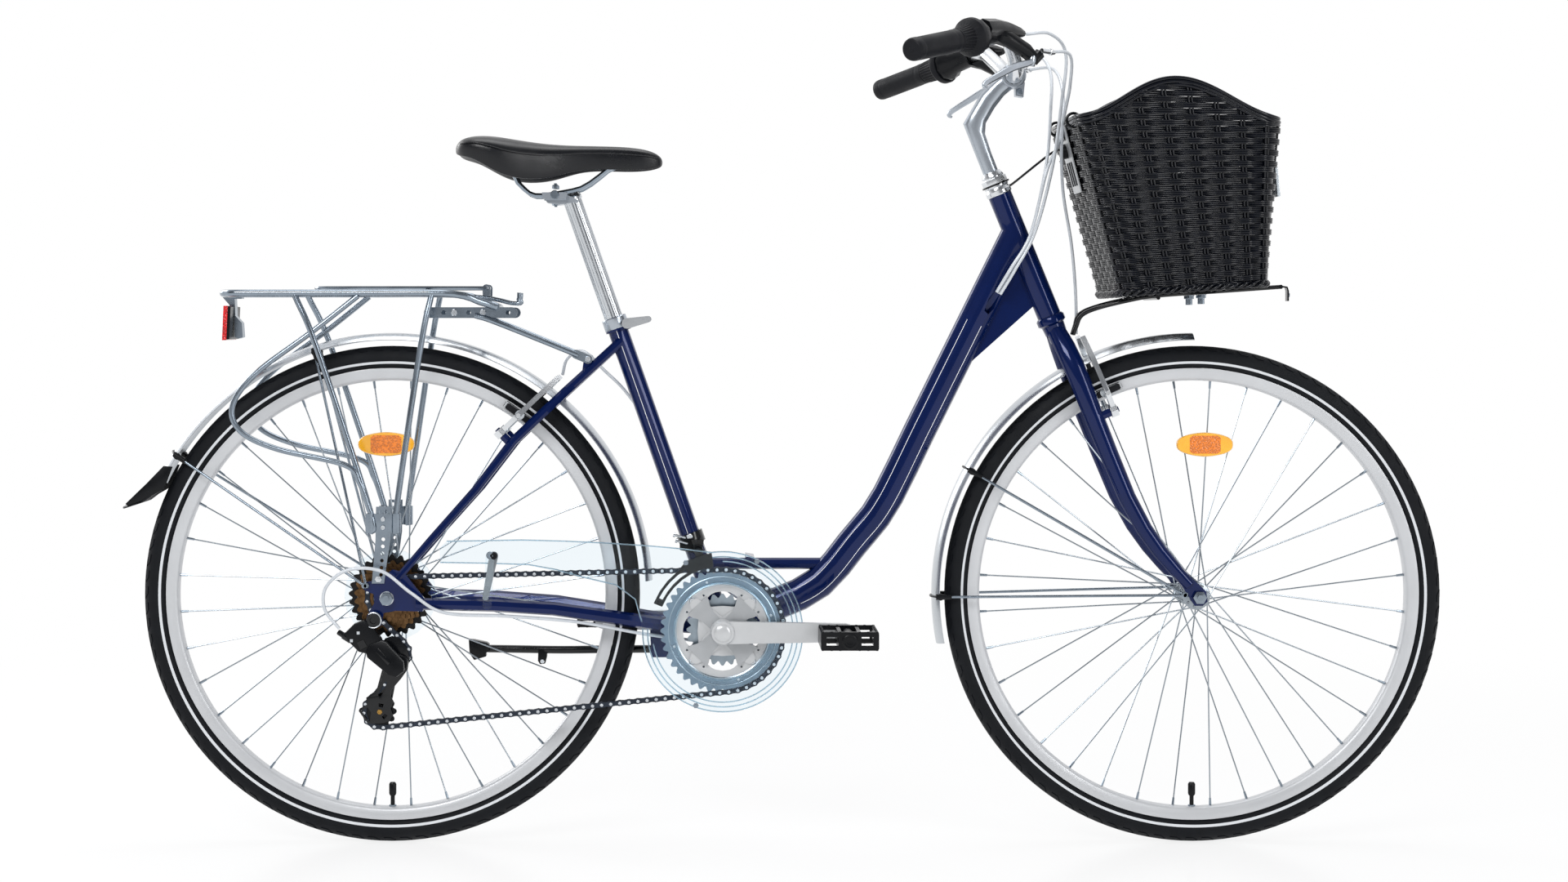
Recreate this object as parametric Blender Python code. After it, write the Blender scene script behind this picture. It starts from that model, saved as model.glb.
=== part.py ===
"""A low-step city bicycle at real size, in metres.

+X is forward, +Y is the rider's left, +Z is up. The origin lies on the ground,
midway between the rear flap's tip and the front tyre.
"""

import math

import bmesh
import bpy
from mathutils import Matrix, Vector

for old in list(bpy.data.objects):
    bpy.data.objects.remove(old, do_unlink=True)

# Gaps
CLEARANCE = 0.0003
RUNNING = 0.0004

# Wheels
TYRE_RADIUS = 0.349
TYRE_WIDTH = 0.037
TYRE_HEIGHT = 0.0315
RIM_DEPTH = 0.0175
RIM_RADIUS = TYRE_RADIUS - TYRE_HEIGHT
RIM_INNER_RADIUS = RIM_RADIUS - RIM_DEPTH
RIM_WIDTH = 0.024
WHEEL_STEPS = 36
SPOKE_COUNT = 36
SPOKE_RADIUS = 0.0010
SPOKE_CROSSING_ANGLE = math.radians(76)
SPOKE_SPREAD = 0.0012
VALVE_LENGTH = 0.034
REFLECTOR_LENGTH = 0.079
REFLECTOR_HEIGHT = 0.034
REFLECTOR_THICKNESS = 0.009
REFLECTOR_PLACE = RIM_INNER_RADIUS - 0.089

# Wheel places
WHEELBASE = 1.1265
REAR_AXLE_X = -0.5488
BB_DROP = 0.0465
CHAINSTAY_LENGTH = 0.467

# Steering line
HEAD_ANGLE = math.radians(67.8)
FORK_RAKE = 0.038
HEAD_TUBE_LENGTH = 0.184
HEAD_TUBE_BOTTOM = 0.4382
HEAD_TUBE_RADIUS = 0.017
HEAD_TUBE_BORE = 0.015
STEERER_RADIUS = 0.0127
QUILL_RADIUS = 0.0108
LOWER_STACK = 0.0135
UPPER_STACK = 0.036

# Frame tubes
SEAT_ANGLE = math.radians(70.6)
SEAT_TUBE_LENGTH = 0.460
SEAT_TUBE_RADIUS = 0.0143
SEAT_TUBE_BORE_DEPTH = 0.30
DOWN_TUBE_DEPTH = 0.046
DOWN_TUBE_WIDTH = 0.034
BB_SHELL_RADIUS = 0.020
BB_SHELL_WIDTH = 0.068
STAY_RADIUS = 0.0068
CHAINSTAY_FRONT_RADIUS = 0.0105
CHAINSTAY_REAR_RADIUS = 0.0082
GUSSET_THICKNESS = 0.005
DROPOUT_THICKNESS = 0.006
REAR_SPACING = 0.135
FRONT_SPACING = 0.100
REAR_AXLE_RADIUS = 0.005
FRONT_AXLE_RADIUS = 0.0045
NUT_RADIUS = 0.0095

# Transmission
CHAIN_PITCH = 0.0127
OUTER_RING_TEETH = 42
MIDDLE_RING_TEETH = 34
INNER_RING_TEETH = 24
COG_TEETH = (14, 16, 18, 20, 22, 24, 28)
COG_SPACING = 0.005
PULLEY_TEETH = 11
TOOTH_THICKNESS = 0.0018
TOOTH_DEPTH = 0.0040
TOOTH_TIP = 0.0015
OUTER_RING_Y = -0.057
RING_SPACING = 0.0075
FIRST_COG_Y = -0.0605
CHAIN_HALF_WIDTH = 0.0037
CHAIN_GROOVE = 0.0015
CHAIN_PIN_HEIGHT = 0.0042
CHAIN_WAIST_HEIGHT = 0.0031
CHAIN_WEB = 0.0010
CRANK_LENGTH = 0.170
CRANK_INNER_Y = 0.072
CRANK_THICKNESS = 0.012
CRANK_BOSS_RADIUS = 0.0175
BB_AXLE_RADIUS = 0.0085
PEDAL_LENGTH = 0.078
PEDAL_WIDTH = 0.088
PEDAL_THICKNESS = 0.026
PEDAL_SPINDLE_RADIUS = 0.0045
GUARD_OUTER_RADIUS = 0.112
GUARD_INNER_RADIUS = 0.066
GUARD_Y = -0.0664
GUARD_THICKNESS = 0.0016
PROTECTOR_RADIUS = 0.0645

# Mudguards
MUDGUARD_RADIUS = TYRE_RADIUS + 0.018
MUDGUARD_HALF_WIDTH = 0.0235
MUDGUARD_ARCH = 0.009
MUDGUARD_SKIN = 0.0012
MUDGUARD_STAY_RADIUS = 0.002

# Bars and seat
BAR_RADIUS = 0.0111
BAR_BULGE_RADIUS = 0.0127
BAR_HALF_WIDTH = 0.300
GRIP_RADIUS = 0.0155
GRIP_LENGTH = 0.098
TWIST_LENGTH = 0.042
TWIST_FLANGE_RADIUS = 0.0265
SEATPOST_RADIUS = 0.0132
SEATPOST_INSERTION = 0.150
SADDLE_HALF_WIDTH = 0.080
RAIL_RADIUS = 0.0035
RAIL_HALF_GAP = 0.022
BASKET_WALL = 0.004
BASKET_WIRE_RADIUS = 0.003
CABLE_RADIUS = 0.0023
RACK_WIRE_RADIUS = 0.005
RACK_HALF_WIDTH = 0.062
RACK_RAIL_HEIGHT = 0.7715
RACK_CLIP_RADIUS = 0.003


def spot(x, z, y=0.0):
    """A point given as length, height and side."""
    return Vector((x, y, z))


FRONT_AXLE_X = REAR_AXLE_X + WHEELBASE
REAR_AXLE = spot(REAR_AXLE_X, TYRE_RADIUS)
FRONT_AXLE = spot(FRONT_AXLE_X, TYRE_RADIUS)
BB = spot(
    REAR_AXLE_X + math.sqrt(CHAINSTAY_LENGTH**2 - BB_DROP**2), TYRE_RADIUS - BB_DROP
)
STEER_UP = Vector((-math.cos(HEAD_ANGLE), 0, math.sin(HEAD_ANGLE)))
STEER_FORWARD = Vector((math.sin(HEAD_ANGLE), 0, math.cos(HEAD_ANGLE)))
STEER_FOOT = FRONT_AXLE - FORK_RAKE * STEER_FORWARD
SEAT_UP = Vector((-math.cos(SEAT_ANGLE), 0, math.sin(SEAT_ANGLE)))
SIDE = Vector((0, 1, 0))
HEAD_TUBE_TOP = HEAD_TUBE_BOTTOM + HEAD_TUBE_LENGTH
SEAT_TUBE_TOP = BB + SEAT_TUBE_LENGTH * SEAT_UP
LEFT, RIGHT = 1, -1


def steer(up, forward=0.0, y=0.0):
    """A point measured along the steering line from beside the front axle."""
    return STEER_FOOT + up * STEER_UP + forward * STEER_FORWARD + y * SIDE


def ahead(x, z, y=0.0):
    """A point of the front end, counted from the front axle."""
    return FRONT_AXLE + spot(x, z, y)


def behind(x, z, y=0.0):
    """A point of the rear end, counted from the rear axle."""
    return REAR_AXLE + spot(x, z, y)


def over_seat(x, z, y=0.0):
    """A point of the saddle, counted from the seat tube's top."""
    return SEAT_TUBE_TOP + spot(x, z, y)


def on_wheel(axle, radius, degrees, y=0.0):
    """A point round an axle, counted from forward and upwards."""
    turn = math.radians(degrees)
    return axle + Vector((radius * math.cos(turn), y, radius * math.sin(turn)))


def pitch_radius(teeth):
    return CHAIN_PITCH / (2 * math.sin(math.pi / teeth))


# Materials

SHADES = {
    "frame_blue": ((0.012, 0.022, 0.12), 0.25, 0.3),
    "silver": ((0.72, 0.73, 0.75), 0.3, 0.9),
    "steel": ((0.55, 0.56, 0.58), 0.35, 0.9),
    "black_plastic": ((0.012, 0.012, 0.014), 0.5, 0.0),
    "black_rubber": ((0.018, 0.018, 0.02), 0.7, 0.0),
    "black_paint": ((0.015, 0.015, 0.017), 0.35, 0.2),
    "cable_white": ((0.62, 0.63, 0.66), 0.4, 0.0),
    "chain_steel": ((0.12, 0.12, 0.13), 0.4, 0.8),
    "cog_brown": ((0.28, 0.16, 0.07), 0.4, 0.8),
    "clear_plastic": ((0.8, 0.85, 0.88), 0.1, 0.0),
    "amber": ((0.9, 0.35, 0.02), 0.25, 0.0),
    "red": ((0.6, 0.02, 0.02), 0.25, 0.0),
}


def material(shade):
    """One Principled material for each shade."""
    name = shade
    if name in bpy.data.materials:
        return bpy.data.materials[name]
    colour, roughness, metallic = SHADES[shade]
    made = bpy.data.materials.new(name)
    made.use_nodes = True
    shader = made.node_tree.nodes["Principled BSDF"]
    shader.inputs["Base Color"].default_value = (*colour, 1)
    shader.inputs["Roughness"].default_value = roughness
    shader.inputs["Metallic"].default_value = metallic
    return made


# Solids


def object_of(work, name="piece"):
    """The bmesh as an object of its own."""
    bmesh.ops.recalc_face_normals(work, faces=work.faces)
    mesh = bpy.data.meshes.new(name)
    work.to_mesh(mesh)
    work.free()
    made = bpy.data.objects.new(name, mesh)
    bpy.context.scene.collection.objects.link(made)
    return made


def turned(profile, centre, axis, steps=12, phase=0.0):
    """A profile of (radius, along) points turned round an axis.

    A profile that starts and ends on the axis makes a solid, any other a ring.
    """
    work = bmesh.new()
    solid = profile[0][0] == 0 and profile[-1][0] == 0
    points = [work.verts.new((r, 0, along)) for r, along in profile]
    edges = [work.edges.new(pair) for pair in zip(points, points[1:])]
    if not solid:
        edges.append(work.edges.new((points[-1], points[0])))
    bmesh.ops.rotate(
        work, verts=points, cent=(0, 0, 0), matrix=Matrix.Rotation(phase, 3, "Z")
    )
    bmesh.ops.spin(
        work,
        geom=points + edges,
        cent=(0, 0, 0),
        axis=(0, 0, 1),
        angle=math.tau,
        steps=steps,
        use_merge=True,
    )
    bmesh.ops.remove_doubles(work, verts=work.verts, dist=0.000002)
    towards = axis.normalized()
    aside = Vector((1, 0, 0)) if abs(towards.x) < 0.9 else Vector((0, 0, 1))
    across = (aside - aside.dot(towards) * towards).normalized()
    third = towards.cross(across)
    place = Matrix((across, third, towards)).transposed().to_4x4()
    place.translation = centre
    bmesh.ops.transform(work, matrix=place, verts=work.verts)
    return object_of(work)


def rod(start, end, radius, steps=8, end_radius=None):
    """A straight round bar, or a cone where the radii differ."""
    work = bmesh.new()
    bmesh.ops.create_cone(
        work,
        cap_ends=True,
        segments=steps,
        radius1=radius,
        radius2=radius if end_radius is None else end_radius,
        depth=(end - start).length,
    )
    place = Vector((0, 0, 1)).rotation_difference(end - start).to_matrix().to_4x4()
    place.translation = (start + end) / 2
    bmesh.ops.transform(work, matrix=place, verts=work.verts)
    return object_of(work)


def bore_for(radius, steps):
    """The corner radius of a many-sided hole whose flats stay clear of a round bar."""
    return (radius + CLEARANCE) / math.cos(math.pi / steps)


def swept(path, radius, sides=8, radii=None, flatten=1.0):
    """A round bar along a path. Below 1, flatten narrows its section sideways."""
    curve = bpy.data.curves.new("sweep", "CURVE")
    curve.dimensions = "3D"
    curve.bevel_depth = radius
    curve.bevel_resolution = (sides - 4) // 2
    curve.use_fill_caps = True
    line = curve.splines.new("POLY")
    line.points.add(len(path) - 1)
    for i, place in enumerate(path):
        line.points[i].co = (place.x, place.y / flatten, place.z, 1)
        line.points[i].radius = radii[i] / radius if radii else 1
    holder = bpy.data.objects.new("sweep", curve)
    bpy.context.scene.collection.objects.link(holder)
    bpy.context.view_layer.update()
    graph = bpy.context.evaluated_depsgraph_get()
    mesh = bpy.data.meshes.new_from_object(holder.evaluated_get(graph))
    bpy.data.objects.remove(holder, do_unlink=True)
    work = bmesh.new()
    work.from_mesh(mesh)
    bmesh.ops.scale(work, vec=(1, flatten, 1), verts=work.verts)
    bmesh.ops.remove_doubles(work, verts=work.verts, dist=0.000005)
    return object_of(work)


def smooth(route, count):
    """Evenly counted points on a curve through the route's own points."""
    ends = [2 * route[0] - route[1]] + list(route) + [2 * route[-1] - route[-2]]
    spans = len(route) - 1
    points = []
    for i in range(count):
        along = i * spans / (count - 1)
        span = min(int(along), spans - 1)
        t = along - span
        a, b, c, d = ends[span : span + 4]
        points.append(
            0.5
            * (
                2 * b
                + (c - a) * t
                + (2 * a - 5 * b + 4 * c - d) * t**2
                + (3 * b - 3 * c + d - a) * t**3
            )
        )
    return points


def blend(values, count):
    """The values spread evenly over a count of points."""
    spans = len(values) - 1
    spread = []
    for i in range(count):
        along = i * spans / (count - 1)
        span = min(int(along), spans - 1)
        spread.append(values[span] + (values[span + 1] - values[span]) * (along - span))
    return spread


def plate(outline, start, end, axis=SIDE, holes=()):
    """An outline of points in a plane, with holes, extruded along the axis.

    Start and end are the places of its two faces on the axis.
    """
    work = bmesh.new()
    edges = []
    for loop in (outline, *holes):
        flat = [p - p.dot(axis) * axis + start * axis for p in loop]
        points = [work.verts.new(p) for p in flat]
        edges += [work.edges.new(pair) for pair in zip(points, points[1:] + points[:1])]
    bmesh.ops.triangle_fill(work, use_beauty=True, edges=edges, normal=axis)
    moved = bmesh.ops.extrude_face_region(work, geom=work.faces[:])
    raised = [v for v in moved["geom"] if isinstance(v, bmesh.types.BMVert)]
    bmesh.ops.translate(work, vec=(end - start) * axis, verts=raised)
    return object_of(work)


def circle(centre, radius, steps, across=Vector((1, 0, 0)), up=Vector((0, 0, 1))):
    """Points round a circle, by default one that faces sideways."""
    turns = [math.tau * i / steps for i in range(steps)]
    return [
        centre + radius * (math.cos(t) * across + math.sin(t) * up) for t in turns
    ]


def capsule(start, end, start_radius, end_radius, steps=5):
    """The outline round two circles that face sideways."""
    along = (end - start).normalized()
    across = along.cross(SIDE)
    points = []
    for centre, radius, first in (
        (end, end_radius, -math.pi / 2),
        (start, start_radius, math.pi / 2),
    ):
        for i in range(steps + 1):
            t = first + math.pi * i / steps
            points.append(centre + radius * (math.cos(t) * along + math.sin(t) * across))
    return points


def boolean(target, others, operation):
    """Joins the others to the target, or cuts them from it."""
    group = bpy.data.collections.new("operands")
    for other in others:
        group.objects.link(other)
    change = target.modifiers.new("change", "BOOLEAN")
    change.operation = operation
    change.operand_type = "COLLECTION"
    change.collection = group
    change.solver = "EXACT"
    bpy.context.view_layer.update()
    graph = bpy.context.evaluated_depsgraph_get()
    mesh = bpy.data.meshes.new_from_object(target.evaluated_get(graph))
    target.modifiers.clear()
    target.data = mesh
    for other in others:
        bpy.data.objects.remove(other, do_unlink=True)
    bpy.data.collections.remove(group)
    return target


def fused(parts):
    return boolean(parts[0], parts[1:], "UNION")


def cut(target, cutters):
    return boolean(target, cutters, "DIFFERENCE")


def named(name, piece, shade, pivot=None, sharp=35):
    """Gives a solid its name, material and, if it moves, its origin on the pivot."""
    piece.name = name
    piece.data.name = name
    piece.data.materials.clear()
    piece.data.materials.append(material(shade))
    if pivot is not None:
        piece.data.transform(Matrix.Translation(-pivot))
        piece.location = pivot
    piece.data.shade_smooth()
    piece.data.set_sharp_from_angle(angle=math.radians(sharp))
    return piece


# Wheels


def tyre(name, axle):
    bead = RIM_RADIUS + CLEARANCE
    half = TYRE_WIDTH / 2
    side = [
        (bead, half * 0.62),
        (bead + 0.27 * (TYRE_RADIUS - bead), half),
        (bead + 0.72 * (TYRE_RADIUS - bead), half * 0.85),
        (TYRE_RADIUS, half * 0.28),
    ]
    profile = side + [(r, -y) for r, y in reversed(side)]
    made = turned(profile, axle, SIDE, WHEEL_STEPS, math.pi / 2)
    return named(name, made, "black_rubber", axle)


def rim(name, axle):
    half = RIM_WIDTH / 2
    profile = [
        (RIM_RADIUS, half),
        (RIM_INNER_RADIUS + 0.005, half),
        (RIM_INNER_RADIUS, half * 0.5),
        (RIM_INNER_RADIUS, -half * 0.5),
        (RIM_INNER_RADIUS + 0.005, -half),
        (RIM_RADIUS, -half),
    ]
    hoop = turned(profile, axle, SIDE, WHEEL_STEPS, math.pi / 2)
    valve_top = RIM_INNER_RADIUS - VALVE_LENGTH
    valve = rod(
        on_wheel(axle, valve_top, 270), on_wheel(axle, RIM_INNER_RADIUS + 0.003, 270), 0.003, 6
    )
    return named(name, fused([hoop, valve]), "silver", axle)


def hub_and_spokes(name, axle, flange_radius, shell_radius, flanges, bore, boss_end=None):
    """The hub's shell between its two flanges, and the crossed spokes that they hold."""
    left, right = flanges
    thick = 0.003
    ends = [
        (shell_radius * 0.8, left + 0.011),
        (shell_radius * 0.8, left + thick),
        (flange_radius, left + thick),
        (flange_radius, left),
        (shell_radius, left - 0.008),
        (shell_radius, right + 0.008),
        (flange_radius, right),
        (flange_radius, right - thick),
    ]
    if boss_end is None:
        ends += [(shell_radius * 0.8, right - thick), (shell_radius * 0.8, right - 0.011)]
        last = right - 0.011
    else:
        ends += [(FREEWHEEL_BOSS, right - thick), (FREEWHEEL_BOSS, boss_end)]
        last = boss_end
    profile = ends + [(bore, last), (bore, left + 0.011)]
    pieces = [turned(profile, axle, SIDE, 12)]
    reach = RIM_INNER_RADIUS * math.cos(math.pi / WHEEL_STEPS) - CLEARANCE
    hole_radius = flange_radius - 0.004
    per_side = SPOKE_COUNT // 2
    for side, flange in ((LEFT, left + thick / 2), (RIGHT, right - thick / 2)):
        for i in range(per_side):
            lean = 1 if i % 2 else -1
            at_rim = math.tau * (i + (0.75 if side == RIGHT else 0.25)) / per_side
            at_hub = at_rim + lean * SPOKE_CROSSING_ANGLE
            flange_y = flange + lean * SPOKE_SPREAD
            rim_y = side * 0.0015 + lean * SPOKE_SPREAD
            start = on_wheel(axle, hole_radius, math.degrees(at_hub), flange_y)
            end = on_wheel(axle, reach, math.degrees(at_rim), rim_y)
            pieces.append(rod(start, end, SPOKE_RADIUS, 3))
    return named(name, fused(pieces), "steel", axle, 30)


def spoke_reflector(name, axle, flange, hole_radius, turn):
    """An oval plate clipped against the right-hand spokes above the hub."""
    centre = on_wheel(axle, REFLECTOR_PLACE, turn)
    outline = []
    for i in range(16):
        t = math.tau * i / 16
        reach = (abs(math.cos(t)) ** 1.2, abs(math.sin(t)) ** 0.75)
        x = math.copysign(reach[0], math.cos(t)) * REFLECTOR_LENGTH / 2
        z = math.copysign(reach[1], math.sin(t)) * REFLECTOR_HEIGHT / 2
        outline.append(centre + Vector((x, 0, z)))
    inmost = REFLECTOR_PLACE - 0.45 * REFLECTOR_HEIGHT
    share = (inmost - hole_radius) / (RIM_INNER_RADIUS - hole_radius)
    spoke_y = flange * (1 - share)
    near = spoke_y - SPOKE_SPREAD - SPOKE_RADIUS - CLEARANCE
    body = plate(outline, near, near - REFLECTOR_THICKNESS)
    return named(name, body, "amber", axle)


FREEWHEEL_BOSS = 0.0120


def wheels():
    tyre("rear_tyre", REAR_AXLE)
    tyre("front_tyre", FRONT_AXLE)
    rim("rear_rim", REAR_AXLE)
    rim("front_rim", FRONT_AXLE)
    hub_and_spokes(
        "rear_hub_and_spokes",
        REAR_AXLE,
        0.0235,
        0.015,
        (0.034, -0.0195),
        REAR_AXLE_RADIUS + RUNNING,
        FIRST_COG_Y + 0.0025,
    )
    hub_and_spokes(
        "front_hub_and_spokes",
        FRONT_AXLE,
        0.0195,
        0.011,
        (0.034, -0.034),
        FRONT_AXLE_RADIUS + RUNNING,
    )
    spoke_reflector("rear_spoke_reflector", REAR_AXLE, -0.0210, 0.0195, 92)
    spoke_reflector("front_spoke_reflector", FRONT_AXLE, -0.0355, 0.0155, 86)


def axle_rod(name, centre, radius, spacing, hub_end, boss_end):
    """The fixed axle with a cone and locknut inside each dropout and a nut outside."""
    inner = spacing / 2 - CLEARANCE
    outer = spacing / 2 + DROPOUT_THICKNESS + CLEARANCE
    cone = radius + 0.0042
    left = [
        (0, outer + 0.0125),
        (radius, outer + 0.0125),
        (radius, outer + 0.0095),
        (NUT_RADIUS, outer + 0.0090),
        (NUT_RADIUS, outer),
        (radius, outer),
        (radius, inner),
        (cone, inner),
        (cone, hub_end + RUNNING),
        (radius, hub_end + RUNNING),
    ]
    right = [
        (radius, -boss_end - RUNNING),
        (cone, -boss_end - RUNNING),
        (cone, -inner),
        (radius, -inner),
        (radius, -outer),
        (NUT_RADIUS, -outer),
        (NUT_RADIUS, -outer - 0.0090),
        (radius, -outer - 0.0095),
        (radius, -outer - 0.0125),
        (0, -outer - 0.0125),
    ]
    return named(name, turned(left + right, centre, SIDE, 6), "silver")


# Toothed pieces


def toothed_outline(centre, teeth, points_per_tooth=2):
    """Teeth round a pitch circle, peaked with 2 points each or flat-topped with 3."""
    pitch = pitch_radius(teeth)
    root = pitch - TOOTH_DEPTH
    tip = pitch + TOOTH_TIP
    shape = {2: ((0.0, tip), (0.5, root)), 3: ((-0.14, tip), (0.14, tip), (0.5, root))}
    points = []
    for i in range(teeth):
        for share, radius in shape[points_per_tooth]:
            turn = math.tau * (i + share) / teeth
            points.append(centre + radius * Vector((math.cos(turn), 0, math.sin(turn))))
    return points


def toothed_ring(centre, teeth, y, inner_radius, points_per_tooth=2, hole_steps=16):
    hole = circle(centre, inner_radius, hole_steps)
    half = TOOTH_THICKNESS / 2
    return plate(
        toothed_outline(centre, teeth, points_per_tooth), y - half, y + half, holes=[hole]
    )


def freewheel():
    """Seven cogs on one body that runs on the hub's boss, built as one stepped skin."""
    work = bmesh.new()
    steps = 12
    core_radius = 0.0225
    half = TOOTH_THICKNESS / 2

    def loop(points, y):
        return [work.verts.new(spot(p.x, p.z, y)) for p in points]

    def join_loops(one, two):
        edges = []
        for ring in (one, two):
            for pair in zip(ring, ring[1:] + ring[:1]):
                edges.append(work.edges.get(pair) or work.edges.new(pair))
        bmesh.ops.triangle_fill(work, use_beauty=True, edges=edges, normal=SIDE)

    def wall(one, two):
        for i in range(len(one)):
            j = (i + 1) % len(one)
            work.faces.new((one[i], one[j], two[j], two[i]))

    core = circle(REAR_AXLE, core_radius, steps)
    bore = circle(REAR_AXLE, bore_for(FREEWHEEL_BOSS, steps), steps)
    first = FIRST_COG_Y - half - 0.0009
    last = FIRST_COG_Y + COG_SPACING * (len(COG_TEETH) - 1) + half + 0.0007
    start, end = loop(core, first), loop(core, last)
    inner_start, inner_end = loop(bore, first), loop(bore, last)
    wall(start, inner_start)
    wall(end, inner_end)
    wall(inner_start, inner_end)
    here = start
    for i, teeth in enumerate(COG_TEETH):
        y = FIRST_COG_Y + COG_SPACING * i
        outline = toothed_outline(REAR_AXLE, teeth, 2)
        low, high = loop(core, y - half), loop(core, y + half)
        wall(here, low)
        low_teeth, high_teeth = loop(outline, y - half), loop(outline, y + half)
        join_loops(low, low_teeth)
        wall(low_teeth, high_teeth)
        join_loops(high, high_teeth)
        here = high
    wall(here, end)
    bmesh.ops.remove_doubles(work, verts=work.verts, dist=0.000002)
    named("freewheel", object_of(work), "cog_brown", REAR_AXLE, 30)


def spoke_protector():
    """The clear disc between the largest cog and the spokes."""
    y = FIRST_COG_Y + COG_SPACING * (len(COG_TEETH) - 1) + 0.0035
    disc = plate(
        circle(REAR_AXLE, PROTECTOR_RADIUS, 20),
        y - 0.0006,
        y + 0.0006,
        holes=[circle(REAR_AXLE, bore_for(FREEWHEEL_BOSS, 12), 12)],
    )
    named("spoke_protector", disc, "clear_plastic", REAR_AXLE)


# Derailleur places
GUIDE_PULLEY = behind(0.0080, -0.0785, FIRST_COG_Y)
TENSION_PULLEY = behind(-0.0105, -0.1577, FIRST_COG_Y)
HANGER = behind(-0.0166, -0.0285)
KNUCKLE_PIVOT = behind(0.0178, -0.0890)
LINK_LENGTH = 0.040
LINK_TRAVEL = 0.0296
LINK_TOP = behind(-0.0171, -0.0680, -0.0790)
LINK_ALONG = Vector((0.843, 0, -0.538)).normalized()
LINK_AXIS = LINK_ALONG.cross(SIDE) * -1
LINK_TILT = math.asin(LINK_TRAVEL / 2 / LINK_LENGTH)
LINK_BOTTOM = (
    LINK_TOP
    + LINK_LENGTH * math.cos(LINK_TILT) * LINK_ALONG
    - LINK_LENGTH * math.sin(LINK_TILT) * SIDE
)
GUIDE_PULLEY_RADIUS = 0.0172
CAGE_GAP = 0.0050
CAGE_PLATE = 0.0012


def chain_route():
    """The chain's centre line: a place and an inward direction at every link.

    It passes over the outer ring and the smallest cog, in front of the guide pulley
    and behind the tension pulley.
    """
    wheels_passed = [
        (BB, pitch_radius(OUTER_RING_TEETH), 1, OUTER_RING_Y),
        (REAR_AXLE, pitch_radius(COG_TEETH[0]), 1, FIRST_COG_Y),
        (GUIDE_PULLEY, pitch_radius(PULLEY_TEETH), -1, FIRST_COG_Y),
        (TENSION_PULLEY, pitch_radius(PULLEY_TEETH), 1, FIRST_COG_Y),
    ]
    count = len(wheels_passed)
    headings = []
    for i in range(count):
        here, r1, s1, _ = wheels_passed[i]
        there, r2, s2, _ = wheels_passed[(i + 1) % count]
        gap_x, gap_z = there.x - here.x, there.z - here.z
        away = math.hypot(gap_x, gap_z)
        lean = math.asin((s2 * r2 - s1 * r1) / away)
        headings.append(math.atan2(gap_z, gap_x) - lean)
    pieces = []
    for i in range(count):
        centre, radius, sense, y = wheels_passed[i]
        entry, leave = headings[i - 1], headings[i]
        sweep = (sense * (leave - entry)) % math.tau
        pieces.append(("arc", centre, radius, sense, entry, sweep, y, y, radius * sweep))
        following, next_radius, next_sense, next_y = wheels_passed[(i + 1) % count]
        aside = Vector((-math.sin(leave), 0, math.cos(leave)))
        start = spot(centre.x, centre.z) - sense * radius * aside
        end = spot(following.x, following.z) - next_sense * next_radius * aside
        length = (end - start).length
        pieces.append(("run", start, end, leave, 0, 0, y, next_y, length))
    total = sum(piece[-1] for piece in pieces)
    links = 2 * round(total / CHAIN_PITCH / 2)
    step = total / links
    samples = []
    for k in range(links):
        along = k * step
        for piece in pieces:
            if along <= piece[-1] or piece is pieces[-1]:
                break
            along -= piece[-1]
        share = along / piece[-1]
        y = piece[6] + (piece[7] - piece[6]) * share
        if piece[0] == "arc":
            _, centre, radius, sense, entry, sweep = piece[:6]
            heading = entry + sense * sweep * share
            aside = Vector((-math.sin(heading), 0, math.cos(heading)))
            place = spot(centre.x, centre.z) - sense * radius * aside
        else:
            heading = piece[3]
            aside = Vector((-math.sin(heading), 0, math.cos(heading)))
            place = piece[1].lerp(piece[2], share)
        samples.append((place + y * SIDE, aside))
    return samples, links


def chain():
    """Side plates waisted between their pins, open inwards to let the teeth in."""
    samples, links = chain_route()
    work = bmesh.new()
    rings = []
    for k, (place, inward) in enumerate(samples):
        height = CHAIN_PIN_HEIGHT if k % 2 == 0 else CHAIN_WAIST_HEIGHT
        section = [
            (-CHAIN_HALF_WIDTH, height),
            (-CHAIN_HALF_WIDTH, -height),
            (CHAIN_HALF_WIDTH, -height),
            (CHAIN_HALF_WIDTH, height),
            (CHAIN_GROOVE, height),
            (CHAIN_GROOVE, CHAIN_WEB - height),
            (-CHAIN_GROOVE, CHAIN_WEB - height),
            (-CHAIN_GROOVE, height),
        ]
        rings.append([work.verts.new(place + y * SIDE + n * inward) for y, n in section])
    for here, there in zip(rings, rings[1:] + rings[:1]):
        for i in range(8):
            j = (i + 1) % 8
            work.faces.new((here[i], here[j], there[j], there[i]))
    print("chain links:", links)
    named("chain", object_of(work), "chain_steel", None, 20)


def chainrings():
    """Three toothed rings held together by two circles of spacers."""
    pieces = []
    inner_radii = (0.0575, 0.0375, 0.0335)
    counts = (OUTER_RING_TEETH, MIDDLE_RING_TEETH, INNER_RING_TEETH)
    for i, (teeth, inner_radius) in enumerate(zip(counts, inner_radii)):
        y = OUTER_RING_Y + RING_SPACING * i
        pieces.append(toothed_ring(BB, teeth, y, inner_radius, 2, 20))
    spacers = ((0.0612, 45, 0, 1), (0.0408, 0, 1, 2))
    for radius, start, first, second in spacers:
        for i in range(4):
            centre = on_wheel(BB, radius, start + 90 * i)
            near = centre + (OUTER_RING_Y + RING_SPACING * first) * SIDE
            far = centre + (OUTER_RING_Y + RING_SPACING * second) * SIDE
            pieces.append(rod(near, far, 0.0030, 4))
    named("chainrings", fused(pieces), "steel", BB, 30)


# Cranks and pedals


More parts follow.
